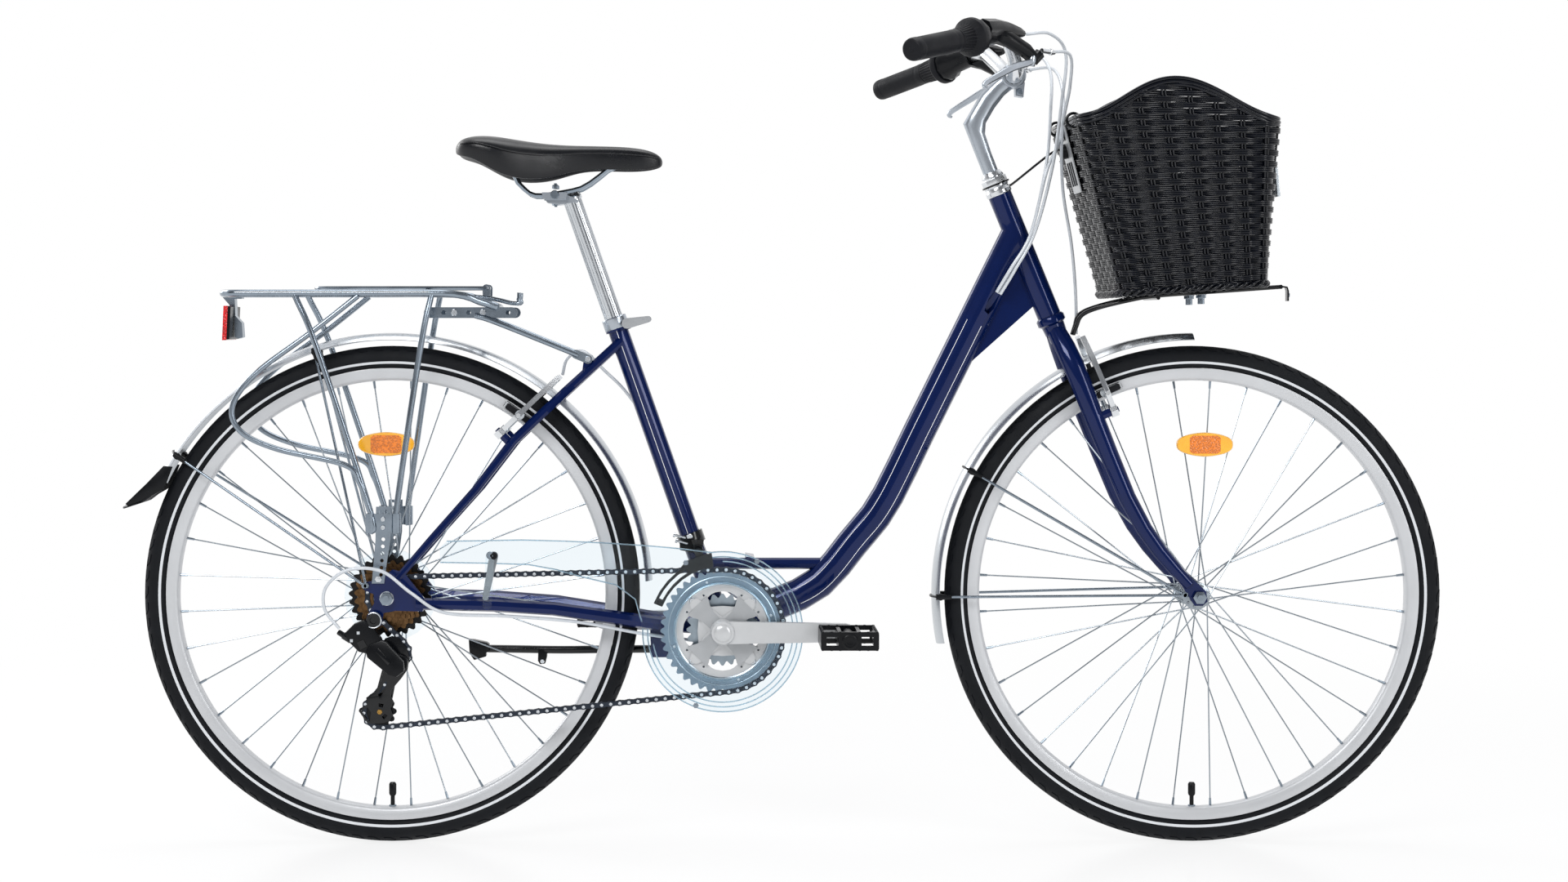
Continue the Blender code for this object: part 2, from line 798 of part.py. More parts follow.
def crank_arm(side, direction):
    """A tapered arm from the boss to the pedal's eye."""
    eye = BB + CRANK_LENGTH * direction
    inner = side * CRANK_INNER_Y
    outer = side * (CRANK_INNER_Y + CRANK_THICKNESS)
    outline = capsule(spot(BB.x, BB.z), spot(eye.x, eye.z), 0.0155, 0.0125, 6)
    return plate(outline, inner, outer), eye


def pedal_spindle(eye, side):
    start = eye + side * (CRANK_INNER_Y + CRANK_THICKNESS / 2) * SIDE
    end = eye + side * (PEDAL_INNER_Y + PEDAL_WIDTH - 0.004) * SIDE
    return rod(start, end, PEDAL_SPINDLE_RADIUS, 8)


PEDAL_INNER_Y = CRANK_INNER_Y + CRANK_THICKNESS + 0.010


def cranks():
    forward = Vector((1, 0, 0))
    outer = CRANK_INNER_Y + CRANK_THICKNESS
    arm, eye = crank_arm(RIGHT, forward)
    boss_inner = OUTER_RING_Y + 2 * RING_SPACING + 0.002
    boss = turned(
        [
            (0, -outer - 0.003),
            (CRANK_BOSS_RADIUS - 0.002, -outer - 0.003),
            (CRANK_BOSS_RADIUS, -outer),
            (CRANK_BOSS_RADIUS, boss_inner),
            (0, boss_inner),
        ],
        BB,
        SIDE,
        14,
    )
    spider_outer = OUTER_RING_Y - TOOTH_THICKNESS / 2 - CLEARANCE
    pieces = [boss, arm, pedal_spindle(eye, RIGHT)]
    for i in range(4):
        tip = on_wheel(BB, 0.0525, 45 + 90 * i)
        outline = capsule(spot(BB.x, BB.z), spot(tip.x, tip.z), 0.016, 0.0085, 4)
        pieces.append(plate(outline, spider_outer - 0.0045, spider_outer))
    bore = rod(
        BB + (boss_inner + 0.002) * SIDE,
        BB - (CRANK_INNER_Y + 0.004) * SIDE,
        BB_AXLE_RADIUS + CLEARANCE,
        16,
    )
    named("crank_right", cut(fused(pieces), [bore]), "silver", BB, 30)

    arm, eye = crank_arm(LEFT, -forward)
    axle = turned(
        [
            (0, outer + 0.003),
            (CRANK_BOSS_RADIUS - 0.002, outer + 0.003),
            (CRANK_BOSS_RADIUS, outer),
            (CRANK_BOSS_RADIUS, BB_SHELL_WIDTH / 2 + 0.006),
            (BB_AXLE_RADIUS, BB_SHELL_WIDTH / 2 + 0.006),
            (BB_AXLE_RADIUS, -CRANK_INNER_Y - 0.0035),
            (0, -CRANK_INNER_Y - 0.0035),
        ],
        BB,
        SIDE,
        16,
    )
    named("crank_left", fused([axle, arm, pedal_spindle(eye, LEFT)]), "silver", BB, 30)


def pedal(name, side, centre):
    """A resin block with two windows, its barrel bored for the spindle."""
    near = side * PEDAL_INNER_Y
    far = side * (PEDAL_INNER_Y + PEDAL_WIDTH)
    half_x, half_y = PEDAL_LENGTH / 2, PEDAL_WIDTH / 2
    middle = centre + side * (PEDAL_INNER_Y + half_y) * SIDE
    corner = 0.010
    outline = []
    for sx, sy in ((1, 1), (-1, 1), (-1, -1), (1, -1)):
        first = middle + Vector((sx * (half_x - corner), sy * half_y, 0))
        second = middle + Vector((sx * half_x, sy * (half_y - corner), 0))
        outline += [second, first] if sx * sy > 0 else [first, second]
    holes = []
    for sx in (1, -1):
        low, high = 0.012, half_x - 0.008
        holes.append(
            [
                middle + Vector((sx * x, y, 0))
                for x, y in ((low, -0.034), (high, -0.034), (high, 0.034), (low, 0.034))
            ]
        )
    up = Vector((0, 0, 1))
    half_z = PEDAL_THICKNESS / 2
    body = plate(outline, centre.z - half_z, centre.z + half_z, up, holes)
    bore = rod(
        centre + near * SIDE - side * 0.002 * SIDE,
        centre + far * SIDE - side * 0.0035 * SIDE,
        bore_for(PEDAL_SPINDLE_RADIUS, 8),
        8,
    )
    return named(name, cut(body, [bore]), "black_plastic", centre + near * SIDE)


def pedals():
    pedal("pedal_right", RIGHT, BB + Vector((CRANK_LENGTH, 0, 0)))
    pedal("pedal_left", LEFT, BB - Vector((CRANK_LENGTH, 0, 0)))


# Chain guard


def chain_guard():
    """A clear plate round the rings, running back above the chain, on a metal strap."""
    outline = []
    first, last, steps = 178, 458, 22
    for i in range(steps + 1):
        degrees = first + (last - first) * i / steps
        outline.append(on_wheel(BB, GUARD_OUTER_RADIUS, degrees))
    outline += [
        spot(BB.x - 0.064, BB.z + 0.1165),
        spot(BB.x - 0.165, BB.z + 0.1240),
        spot(BB.x - 0.277, BB.z + 0.1280),
        spot(BB.x - 0.382, BB.z + 0.1262),
        spot(BB.x - 0.392, BB.z + 0.1160),
        spot(BB.x - 0.391, BB.z + 0.0960),
        spot(BB.x - 0.269, BB.z + 0.0925),
        spot(BB.x - 0.197, BB.z + 0.0755),
        spot(BB.x - 0.148, BB.z + 0.0640),
        spot(BB.x - 0.121, BB.z + 0.0440),
    ]
    face = GUARD_Y - GUARD_THICKNESS
    hole = circle(BB, GUARD_INNER_RADIUS, 22)
    shell = plate(outline, face, GUARD_Y, holes=[hole])
    stay_x = BB.x - 0.326
    stay_face = -(chainstay_side(stay_x) + CHAINSTAY_REAR_RADIUS) - 0.0010
    upper = spot(stay_x + 0.004, BB.z + 0.106)
    lower = spot(stay_x, BB.z + 0.036)
    strap = plate(capsule(lower, upper, 0.006, 0.006, 4), stay_face - 0.0015, stay_face)
    inside = GUARD_Y - 0.4 * GUARD_THICKNESS
    rivet = rod(upper + inside * SIDE, upper + (stay_face - 0.0027) * SIDE, 0.004, 8)
    named("chain_guard", fused([shell, strap, rivet]), "clear_plastic")


STAY_POINTS = 7


def chainstay_points(side):
    """The stay's centre line, spread round the tyre, from the shell to the dropout."""
    route = [
        BB + Vector((0.004, side * 0.0160, 0.002)),
        BB + Vector((-0.046, side * 0.0260, 0.0030)),
        BB + Vector((-0.115, side * 0.0350, 0.0100)),
        BB + Vector((-0.205, side * 0.0470, 0.0260)),
        BB + Vector((-0.300, side * 0.0570, 0.0345)),
        BB + Vector((-0.425, side * 0.0690, 0.0385)),
    ]
    return smooth(route, STAY_POINTS)


def chainstay_side(x):
    points = chainstay_points(LEFT)
    for here, there in zip(points, points[1:]):
        if there.x <= x <= here.x:
            share = (x - here.x) / (there.x - here.x)
            return here.y + (there.y - here.y) * share
    return points[-1].y


# Frame


def down_tube_points():
    """The centre line from the head tube, down and swept back to the bottom bracket."""
    meet = steer(HEAD_TUBE_BOTTOM + 0.122)
    slope = Vector((-0.4447, 0, -0.8957))
    route = [
        meet,
        meet + 0.150 * slope,
        meet + 0.300 * slope,
        meet + 0.420 * slope,
        meet + 0.420 * slope + Vector((-0.0400, 0, -0.0520)),
        BB + Vector((0.133, 0, 0.0590)),
        BB + Vector((0.060, 0, 0.0250)),
        BB,
    ]
    return smooth(route, 18)


def seatstay_points(side):
    """The stay's centre line from the seat cluster, bowed out round the tyre."""
    route = [
        SEAT_TUBE_TOP + Vector((0.010, side * 0.010, -0.032)),
        behind(0.3008, 0.3357, side * 0.0210),
        behind(0.2448, 0.2845, side * 0.0370),
        behind(0.1733, 0.2167, side * 0.0470),
        behind(0.1215, 0.1488, side * 0.0550),
        behind(0.0611, 0.0810, side * 0.0640),
        behind(0.0138, 0.0260, side * 0.0726),
    ]
    return smooth(route, STAY_POINTS)


def beyond_mudguard(points, axle, gap):
    """Where a tube's centre line, coming down, is still this far outside the mudguard."""
    reach = MUDGUARD_RADIUS + gap
    for here, there in zip(points, points[1:]):
        outer = math.hypot(here.x - axle.x, here.z - axle.z)
        inner = math.hypot(there.x - axle.x, there.z - axle.z)
        if inner < reach <= outer:
            return here.lerp(there, (outer - reach) / (outer - inner))
    return points[0]


def rear_dropout(side):
    """The flat end that joins both stays and holds the axle; the right one has a hanger."""
    x, z = REAR_AXLE.x, REAR_AXLE.z
    outline = [
        spot(x + 0.052, z + 0.000),
        spot(x + 0.050, z - 0.018),
        spot(x + 0.012, z - 0.017),
        spot(x - 0.004, z - 0.020),
    ]
    if side == RIGHT:
        outline += [
            spot(HANGER.x + 0.009, HANGER.z - 0.009),
            spot(HANGER.x, HANGER.z - 0.012),
            spot(HANGER.x - 0.010, HANGER.z - 0.008),
            spot(HANGER.x - 0.011, HANGER.z + 0.004),
            spot(x - 0.017, z - 0.006),
        ]
    else:
        outline += [spot(x - 0.013, z - 0.015)]
    outline += [
        spot(x - 0.018, z + 0.006),
        spot(x - 0.032, z + 0.012),
        spot(x - 0.033, z + 0.022),
        spot(x - 0.010, z + 0.026),
        spot(x + 0.008, z + 0.040),
        spot(x + 0.024, z + 0.036),
    ]
    inner = side * REAR_SPACING / 2
    hole = circle(REAR_AXLE, bore_for(REAR_AXLE_RADIUS, 8), 8)
    return plate(outline, inner, inner + side * DROPOUT_THICKNESS, holes=[hole])


BRAKE_BOSS_RADIUS = 0.004
REAR_BOSS_Y = 0.0430
FRONT_BOSS_Y = 0.0400
REAR_BOSS_FOOT = behind(0.1703, 0.2120)
REAR_BOSS_OUT = Vector((-0.69, 0, 0.724)).normalized()
REAR_ARM_UP = Vector((0.724, 0, 0.69)).normalized()
REAR_ARM_OFFSET = 0.017
FRONT_BOSS_UP = 0.2832
FRONT_ARM_OFFSET = 0.0235
ARM_THICKNESS = 0.010
REAR_CABLE_END = REAR_BOSS_FOOT + 0.0225 * REAR_BOSS_OUT + 0.1150 * REAR_ARM_UP + 0.0265 * SIDE
FRONT_CABLE_END = steer(FRONT_BOSS_UP + 0.1150, FRONT_ARM_OFFSET + 0.005, 0.0235)
KICKSTAND_PIVOT = behind(0.3768, -0.0830, 0.030)
BRACE_HEIGHT = 0.3910


SEAT_CLAMP_BOLT = Vector((0.0190, 0, -0.0070))
CHANNEL_RADIUS = 0.0076


def cable_channel():
    """The middle of the three cables, into the down tube's right side and out of its left."""
    route = [
        ahead(-0.2557, 0.4560, -0.0290),
        ahead(-0.2792, 0.4150, -0.0170),
        ahead(-0.3017, 0.3810, -0.0040),
        ahead(-0.3397, 0.3130, 0.0000),
        ahead(-0.3802, 0.2356, 0.0000),
        ahead(-0.4336, 0.1281, 0.0000),
        ahead(-0.4736, 0.0761, 0.0000),
        spot(0.0650, 0.3830, 0.0100),
        spot(0.0350, 0.3570, 0.0290),
    ]
    return smooth(route, 11)


def frame():
    head = rod(steer(HEAD_TUBE_BOTTOM), steer(HEAD_TUBE_TOP), HEAD_TUBE_RADIUS, 12)
    seat_tube = rod(BB, SEAT_TUBE_TOP, SEAT_TUBE_RADIUS, 12)
    collar = rod(SEAT_TUBE_TOP - 0.018 * SEAT_UP, SEAT_TUBE_TOP + 0.001 * SEAT_UP, 0.0175, 12)
    ear = plate(
        [
            SEAT_TUBE_TOP + Vector((0.010, 0, -0.018)),
            SEAT_TUBE_TOP + Vector((0.024, 0, -0.014)),
            SEAT_TUBE_TOP + Vector((0.024, 0, 0.000)),
            SEAT_TUBE_TOP + Vector((0.010, 0, 0.000)),
        ],
        -0.008,
        0.008,
    )
    clamp_bolt = rod(
        SEAT_TUBE_TOP + SEAT_CLAMP_BOLT - 0.0182 * SIDE,
        SEAT_TUBE_TOP + SEAT_CLAMP_BOLT + 0.0120 * SIDE,
        0.0035,
        6,
    )
    down_path = down_tube_points()
    down_tube = swept(
        down_path, DOWN_TUBE_DEPTH / 2, 12, flatten=DOWN_TUBE_WIDTH / DOWN_TUBE_DEPTH
    )
    shell = rod(
        BB - BB_SHELL_WIDTH / 2 * SIDE, BB + BB_SHELL_WIDTH / 2 * SIDE, BB_SHELL_RADIUS, 16
    )
    cups = rod(
        BB - (BB_SHELL_WIDTH / 2 + 0.003) * SIDE,
        BB + (BB_SHELL_WIDTH / 2 + 0.003) * SIDE,
        BB_SHELL_RADIUS - 0.0020,
        16,
    )
    gusset = plate(
        [
            steer(HEAD_TUBE_BOTTOM + 0.095, -0.010),
            steer(HEAD_TUBE_BOTTOM + 0.022, -0.010),
            steer(HEAD_TUBE_BOTTOM + 0.020, -0.018),
            down_path[3] + Vector((0.018, 0, -0.012)),
            down_path[2] + Vector((0.010, 0, 0.0)),
        ],
        -GUSSET_THICKNESS / 2,
        GUSSET_THICKNESS / 2,
    )
    seat_at_brace = BB + (BRACE_HEIGHT - BB.z) / SEAT_UP.z * SEAT_UP
    brace = rod(seat_at_brace, spot(0.085, BRACE_HEIGHT), 0.008, 8)
    guard_bracket = plate(
        [
            spot(-0.040, BRACE_HEIGHT + 0.002),
            spot(-0.040, BRACE_HEIGHT + 0.0135),
            spot(-0.052, BRACE_HEIGHT + 0.0155),
            spot(-0.052, BRACE_HEIGHT + 0.002),
        ],
        0.0,
        -0.008,
    )
    guard_arm = plate(
        [
            spot(-0.040, BRACE_HEIGHT + 0.0112),
            spot(-0.040, BRACE_HEIGHT + 0.0135),
            spot(-0.052, BRACE_HEIGHT + 0.0155),
            spot(-0.052, BRACE_HEIGHT + 0.0130),
        ],
        -0.006,
        GUARD_Y + CLEARANCE,
    )
    pieces = [
        seat_tube,
        head,
        collar,
        ear,
        clamp_bolt,
        down_tube,
        shell,
        cups,
        gusset,
        brace,
        guard_bracket,
        guard_arm,
    ]
    for side in (LEFT, RIGHT):
        stay = chainstay_points(side)
        radii = blend(
            [CHAINSTAY_FRONT_RADIUS, CHAINSTAY_FRONT_RADIUS * 0.92, CHAINSTAY_REAR_RADIUS],
            STAY_POINTS,
        )
        pieces.append(swept(stay, CHAINSTAY_FRONT_RADIUS, 8, radii))
        taper = blend([STAY_RADIUS, STAY_RADIUS, STAY_RADIUS * 0.75], STAY_POINTS)
        pieces.append(swept(seatstay_points(side), STAY_RADIUS, 8, taper))
        pieces.append(rear_dropout(side))
        boss_foot = REAR_BOSS_FOOT + side * REAR_BOSS_Y * SIDE
        boss_tip = boss_foot + (REAR_ARM_OFFSET + ARM_THICKNESS + 0.002) * REAR_BOSS_OUT
        pieces.append(rod(boss_foot, boss_tip, BRAKE_BOSS_RADIUS, 8))
        shoulder = boss_foot + (REAR_ARM_OFFSET - CLEARANCE) * REAR_BOSS_OUT
        pieces.append(rod(boss_foot, shoulder, 0.0065, 6))
        lug_y = seatstay_side(RACK_LUG.x)
        lug_half = RACK_LUG_THICKNESS / 2
        lug = capsule(RACK_LUG + Vector((-0.0020, 0, -0.0160)), RACK_LUG, 0.0060, 0.0060, 3)
        pieces.append(plate(lug, side * (lug_y - lug_half), side * (lug_y + lug_half)))
    bridge = beyond_mudguard(seatstay_points(LEFT), REAR_AXLE, 0.0075)
    pieces.append(
        rod(bridge, Vector((bridge.x, -bridge.y, bridge.z)), 0.0055, 6)
    )
    low_bridge = chainstay_points(LEFT)[2]
    pieces.append(rod(low_bridge, Vector((low_bridge.x, -low_bridge.y, low_bridge.z)), 0.006, 6))
    kick_plate = plate(
        [
            spot(KICKSTAND_PIVOT.x + 0.016, low_bridge.z),
            spot(KICKSTAND_PIVOT.x + 0.012, KICKSTAND_PIVOT.z - 0.006),
            spot(KICKSTAND_PIVOT.x - 0.012, KICKSTAND_PIVOT.z - 0.006),
            spot(KICKSTAND_PIVOT.x - 0.014, low_bridge.z - 0.002),
        ],
        -0.012,
        KICKSTAND_PIVOT.y - 0.010,
    )
    pieces.append(kick_plate)
    kick_pin = rod(
        KICKSTAND_PIVOT - 0.022 * SIDE, KICKSTAND_PIVOT + 0.012 * SIDE, 0.004, 8
    )
    pieces.append(kick_pin)
    body = fused(pieces)
    head_bore = rod(
        steer(HEAD_TUBE_BOTTOM - 0.002), steer(HEAD_TUBE_TOP + 0.002), HEAD_TUBE_BORE, 12
    )
    seat_bore = rod(
        SEAT_TUBE_TOP - SEAT_TUBE_BORE_DEPTH * SEAT_UP,
        SEAT_TUBE_TOP + 0.004 * SEAT_UP,
        bore_for(SEATPOST_RADIUS, 12),
        12,
    )
    bb_bore = rod(BB - 0.05 * SIDE, BB + 0.05 * SIDE, bore_for(BB_AXLE_RADIUS, 12), 12)
    channel = swept(cable_channel(), CHANNEL_RADIUS, 6)
    cut(body, [head_bore, seat_bore, bb_bore, channel])
    named("frame", body, "frame_blue", None, 30)


# Mudguards


def mudguard(axle, first, last, segments):
    """A thin arched strip round the wheel from one angle to another."""
    half, arch, skin = MUDGUARD_HALF_WIDTH, MUDGUARD_ARCH, MUDGUARD_SKIN
    top = [(-half, -arch), (-0.45 * half, 0), (0.45 * half, 0), (half, -arch)]
    section = top + [(y, r - skin) for y, r in reversed(top)]
    work = bmesh.new()
    rings = []
    for i in range(segments + 1):
        degrees = first + (last - first) * i / segments
        rings.append(
            [work.verts.new(on_wheel(axle, MUDGUARD_RADIUS + r, degrees, y)) for y, r in section]
        )
    for here, there in zip(rings, rings[1:]):
        for i in range(8):
            j = (i + 1) % 8
            work.faces.new((here[i], here[j], there[j], there[i]))
    for ring in (rings[0], rings[-1]):
        for i in range(3):
            work.faces.new((ring[i], ring[i + 1], ring[6 - i], ring[7 - i]))
    return object_of(work)


def mudguard_stays(axle, degrees, eyelet, side_y):
    """Two wires from an eyelet on each side to the strip's edges, and the clip there."""
    pieces = []
    edge = MUDGUARD_RADIUS - MUDGUARD_ARCH - MUDGUARD_SKIN / 2
    for side in (LEFT, RIGHT):
        start = Vector((eyelet.x, side * side_y, eyelet.z))
        end = on_wheel(axle, edge, degrees, side * (MUDGUARD_HALF_WIDTH + 0.0008))
        pieces.append(rod(start, end, MUDGUARD_STAY_RADIUS, 5))
        low = on_wheel(axle, edge - 0.016, degrees, side * (MUDGUARD_HALF_WIDTH + 0.0016))
        high = on_wheel(axle, edge + 0.004, degrees, side * (MUDGUARD_HALF_WIDTH - 0.0002))
        pieces.append(rod(low, high, 0.0038, 5))
    return pieces


REAR_EYELET = spot(REAR_AXLE_X - 0.030, TYRE_RADIUS + 0.018)
FRONT_EYELET = spot(FRONT_AXLE_X - 0.0205, TYRE_RADIUS + 0.0035)


def mudguards():
    rear = mudguard(REAR_AXLE, 3, 155, 20)
    flap = bmesh.new()
    lines = []
    for rise, degrees, half, arch, thick in (
        (0.0010, 152.4, MUDGUARD_HALF_WIDTH + 0.0010, MUDGUARD_ARCH, 0.0032),
        (0.0012, 157.0, MUDGUARD_HALF_WIDTH + 0.0030, MUDGUARD_ARCH * 0.8, 0.0028),
        (0.0110, 159.5, 0.0300, 0.0050, 0.0022),
        (0.0306, 161.9, 0.0330, 0.0040, 0.0020),
    ):
        top = [(-half, -arch), (-0.45 * half, 0), (0.45 * half, 0), (half, -arch)]
        section = top + [(y, r - thick) for y, r in reversed(top)]
        lines.append(
            [
                flap.verts.new(on_wheel(REAR_AXLE, MUDGUARD_RADIUS + rise + r, degrees, y))
                for y, r in section
            ]
        )
    for here, there in zip(lines, lines[1:]):
        for i in range(8):
            j = (i + 1) % 8
            flap.faces.new((here[i], here[j], there[j], there[i]))
    for line in (lines[0], lines[-1]):
        for i in range(3):
            flap.faces.new((line[i], line[i + 1], line[6 - i], line[7 - i]))
    pieces = [rear, object_of(flap)]
    inner = REAR_SPACING / 2 + DROPOUT_THICKNESS + MUDGUARD_STAY_RADIUS + 5 * CLEARANCE
    pieces += mudguard_stays(REAR_AXLE, 147, REAR_EYELET, inner)
    pieces += mudguard_stays(REAR_AXLE, 107.4, REAR_EYELET + Vector((0.002, 0, 0)), inner)
    named("rear_mudguard", fused(pieces), "silver", None, 30)

    front = mudguard(FRONT_AXLE, 90, 191, 15)
    inner = FRONT_SPACING / 2 + DROPOUT_THICKNESS + MUDGUARD_STAY_RADIUS + CLEARANCE
    pieces = [front]
    pieces += mudguard_stays(FRONT_AXLE, 151, FRONT_EYELET, inner)
    pieces += mudguard_stays(FRONT_AXLE, 180.5, FRONT_EYELET + Vector((0.001, 0, -0.0005)), inner)
    pivot = steer(0)
    named("front_mudguard", fused(pieces), "silver", pivot, 30)


# Fork and front end


def blade_points(side):
    route = [
        steer(0.412, 0.000, side * 0.011),
        steer(0.385, 0.001, side * 0.0265),
        steer(0.350, 0.001, side * 0.0370),
        steer(0.300, 0.000, side * 0.0390),
        steer(0.230, -0.001, side * 0.0415),
        steer(0.150, 0.000, side * 0.0445),
        steer(0.095, 0.0085, side * 0.0475),
        steer(0.055, 0.0200, side * 0.0510),
        steer(0.020, 0.0325, side * 0.0530),
    ]
    return smooth(route, 11)


def fork():
    pivot = steer(0)
    steerer = rod(steer(0.400), steer(HEAD_TUBE_TOP + 0.030), STEERER_RADIUS, 12)
    race_top = HEAD_TUBE_BOTTOM - CLEARANCE
    race = turned(
        [
            (0, race_top - 0.026),
            (0.0155, race_top - 0.026),
            (0.0165, race_top - LOWER_STACK),
            (0.0205, race_top - LOWER_STACK + 0.003),
            (0.0205, race_top - 0.003),
            (0.0180, race_top),
            (0, race_top),
        ],
        steer(0),
        STEER_UP,
        12,
    )
    pieces = [steerer, race]
    for side in (LEFT, RIGHT):
        sizes = [0.0135, 0.0150, 0.0150, 0.0142, 0.0132, 0.0122, 0.0110, 0.0098, 0.0090]
        radii = blend(sizes, 11)
        pieces.append(swept(blade_points(side), 0.0135, 10, radii, flatten=0.78))
        hole = circle(FRONT_AXLE, bore_for(FRONT_AXLE_RADIUS, 8), 8)
        tip = blade_points(side)[-2]
        outline = [
            FRONT_AXLE + Vector((0.012, 0, -0.006)),
            FRONT_AXLE + Vector((0.010, 0, 0.008)),
            tip + Vector((0.004, 0, 0.006)),
            tip + Vector((-0.012, 0, 0.004)),
            FRONT_AXLE + Vector((-0.024, 0, 0.016)),
            FRONT_AXLE + Vector((-0.012, 0, -0.003)),
            FRONT_AXLE + Vector((-0.006, 0, -0.012)),
            FRONT_AXLE + Vector((0.005, 0, -0.012)),
        ]
        inner = side * FRONT_SPACING / 2
        pieces.append(plate(outline, inner, inner + side * DROPOUT_THICKNESS, holes=[hole]))
        boss_foot = steer(FRONT_BOSS_UP, 0, side * FRONT_BOSS_Y)
        boss_tip = boss_foot + (FRONT_ARM_OFFSET + ARM_THICKNESS + 0.002) * STEER_FORWARD
        pieces.append(rod(boss_foot, boss_tip, BRAKE_BOSS_RADIUS, 8))
        shoulder = boss_foot + (FRONT_ARM_OFFSET - CLEARANCE) * STEER_FORWARD
        pieces.append(rod(boss_foot, shoulder, 0.0065, 6))
    body = fused(pieces)
    bore = rod(
        steer(HEAD_TUBE_BOTTOM + 0.010), steer(HEAD_TUBE_TOP + 0.05), bore_for(QUILL_RADIUS, 12), 12
    )
    cut(body, [bore])
    named("fork", body, "frame_blue", pivot, 30)


BASKET_REAR_LOW = ahead(-0.1167, 0.4210)
BASKET_REAR_TOP = ahead(-0.1737, 0.6640)
BASKET_FLOOR_LENGTH = 0.1960
BASKET_FLOOR_RISE = 0.0090


def headset():
    """The upper bearing's cover, its nuts and the ring that holds the basket's strut."""
    base = HEAD_TUBE_TOP + CLEARANCE
    bore = bore_for(STEERER_RADIUS, 12)
    profile = [
        (bore, base),
        (0.0185, base),
        (0.0205, base + 0.004),
        (0.0205, base + 0.009),
        (0.0180, base + 0.012),
        (0.0180, base + 0.017),
        (0.0200, base + 0.018),
        (0.0200, base + 0.021),
        (0.0170, base + 0.022),
        (0.0170, base + UPPER_STACK),
        (bore, base + UPPER_STACK),
    ]
    nuts = turned(profile, steer(0), STEER_UP, 12)
    ring = base + 0.0195
    wall = spot(BASKET_REAR_TOP.x, BASKET_REAR_TOP.z - 0.0395)
    wall.x += (BASKET_REAR_LOW.x - BASKET_REAR_TOP.x) * 0.0395 / (BASKET_REAR_TOP.z - BASKET_REAR_LOW.z)
    route = [
        steer(ring, 0.0180),
        ahead(-0.2073, 0.6082),
        wall + Vector((-0.0230, 0, -0.0005)),
        wall + Vector((-0.0020, 0, 0)),
    ]
    strut = swept(route, 0.0021, 6)
    slope = (BASKET_REAR_TOP - BASKET_REAR_LOW).normalized()
    outward = Vector((-slope.z, 0, slope.x))
    foot = rod(wall + 0.0035 * outward, wall + CLEARANCE * outward, 0.0075, 8)
    named("headset_locknut", fused([nuts, strut, foot]), "silver", steer(0))


BAR_CENTRE = ahead(-0.2527, 0.7290)
GRIP_END = ahead(-0.4170, 0.7360, BAR_HALF_WIDTH)
GRIP_OUTWARD = Vector((-0.633, 0.748, -0.197)).normalized()
STRAIGHT_LENGTH = 0.207


def sided(point, side):
    """The point on the given side of the centre plane."""
    return Vector((point.x, side * point.y, point.z))


def grip_point(inward, side):
    """A point on the bar's straight end, measured inwards from its tip."""
    return sided(GRIP_END - inward * GRIP_OUTWARD, side)


def grip_direction(side):
    return sided(GRIP_OUTWARD, side)


def stem():
    corner = steer(HEAD_TUBE_TOP + 0.106)
    post = rod(steer(HEAD_TUBE_TOP - 0.070), corner - 0.004 * STEER_UP, QUILL_RADIUS, 12)
    reach = [
        corner - 0.022 * STEER_UP,
        corner + Vector((-0.002, 0, -0.004)),
        corner + 0.38 * (BAR_CENTRE - corner) + Vector((-0.004, 0, 0.002)),
        corner + 0.72 * (BAR_CENTRE - corner) + Vector((-0.002, 0, 0.001)),
        BAR_CENTRE + Vector((-0.004, 0, -0.006)),
    ]
    arm = swept(smooth(reach, 7), 0.0135, 10, blend([0.0115, 0.0150, 0.0140, 0.0130, 0.0125], 7))
    clamp = rod(BAR_CENTRE - 0.019 * SIDE, BAR_CENTRE + 0.019 * SIDE, 0.0175, 14)
    ear = plate(
        [
            BAR_CENTRE + Vector((0.004, 0, -0.012)),
            BAR_CENTRE + Vector((0.016, 0, -0.010)),
            BAR_CENTRE + Vector((0.013, 0, -0.030)),
            BAR_CENTRE + Vector((0.002, 0, -0.028)),
        ],
        -0.010,
        0.010,
    )
    body = fused([post, arm, clamp, ear])
    bore = rod(
        BAR_CENTRE - 0.03 * SIDE, BAR_CENTRE + 0.03 * SIDE, bore_for(BAR_BULGE_RADIUS, 12), 12
    )
    cut(body, [bore])
    named("stem", body, "silver", steer(0), 30)


def bar_points():
    """The bar's centre line from the right tip to the left one."""
    half = [
        ahead(-0.2527, 0.7290, 0.000),
        ahead(-0.2527, 0.7292, 0.030),
        ahead(-0.2562, 0.7410, 0.070),
        GRIP_END + Vector((0.1483, -0.1900, 0.0270)),
    ]
    half.append(grip_point(STRAIGHT_LENGTH, LEFT))
    half.append(grip_point(STRAIGHT_LENGTH * 0.6, LEFT))
    curve = smooth(half, 11)
    straight = [p for p in curve if p.y < GRIP_END.y - STRAIGHT_LENGTH * 0.748]
    straight.append(grip_point(STRAIGHT_LENGTH, LEFT))
    straight.append(grip_point(0, LEFT))
    return [sided(p, RIGHT) for p in reversed(straight[1:])] + straight


def handlebar():
    points = bar_points()
    tube = swept(points, BAR_RADIUS, 8)
    bulge = turned(
        [
            (0, -0.028),
            (BAR_RADIUS * 0.95, -0.028),
            (BAR_BULGE_RADIUS, -0.022),
            (BAR_BULGE_RADIUS, 0.022),
            (BAR_RADIUS * 0.95, 0.028),
            (0, 0.028),
        ],
        BAR_CENTRE,
        SIDE,
        12,
    )
    named("handlebar", fused([tube, bulge]), "silver", steer(0), 30)


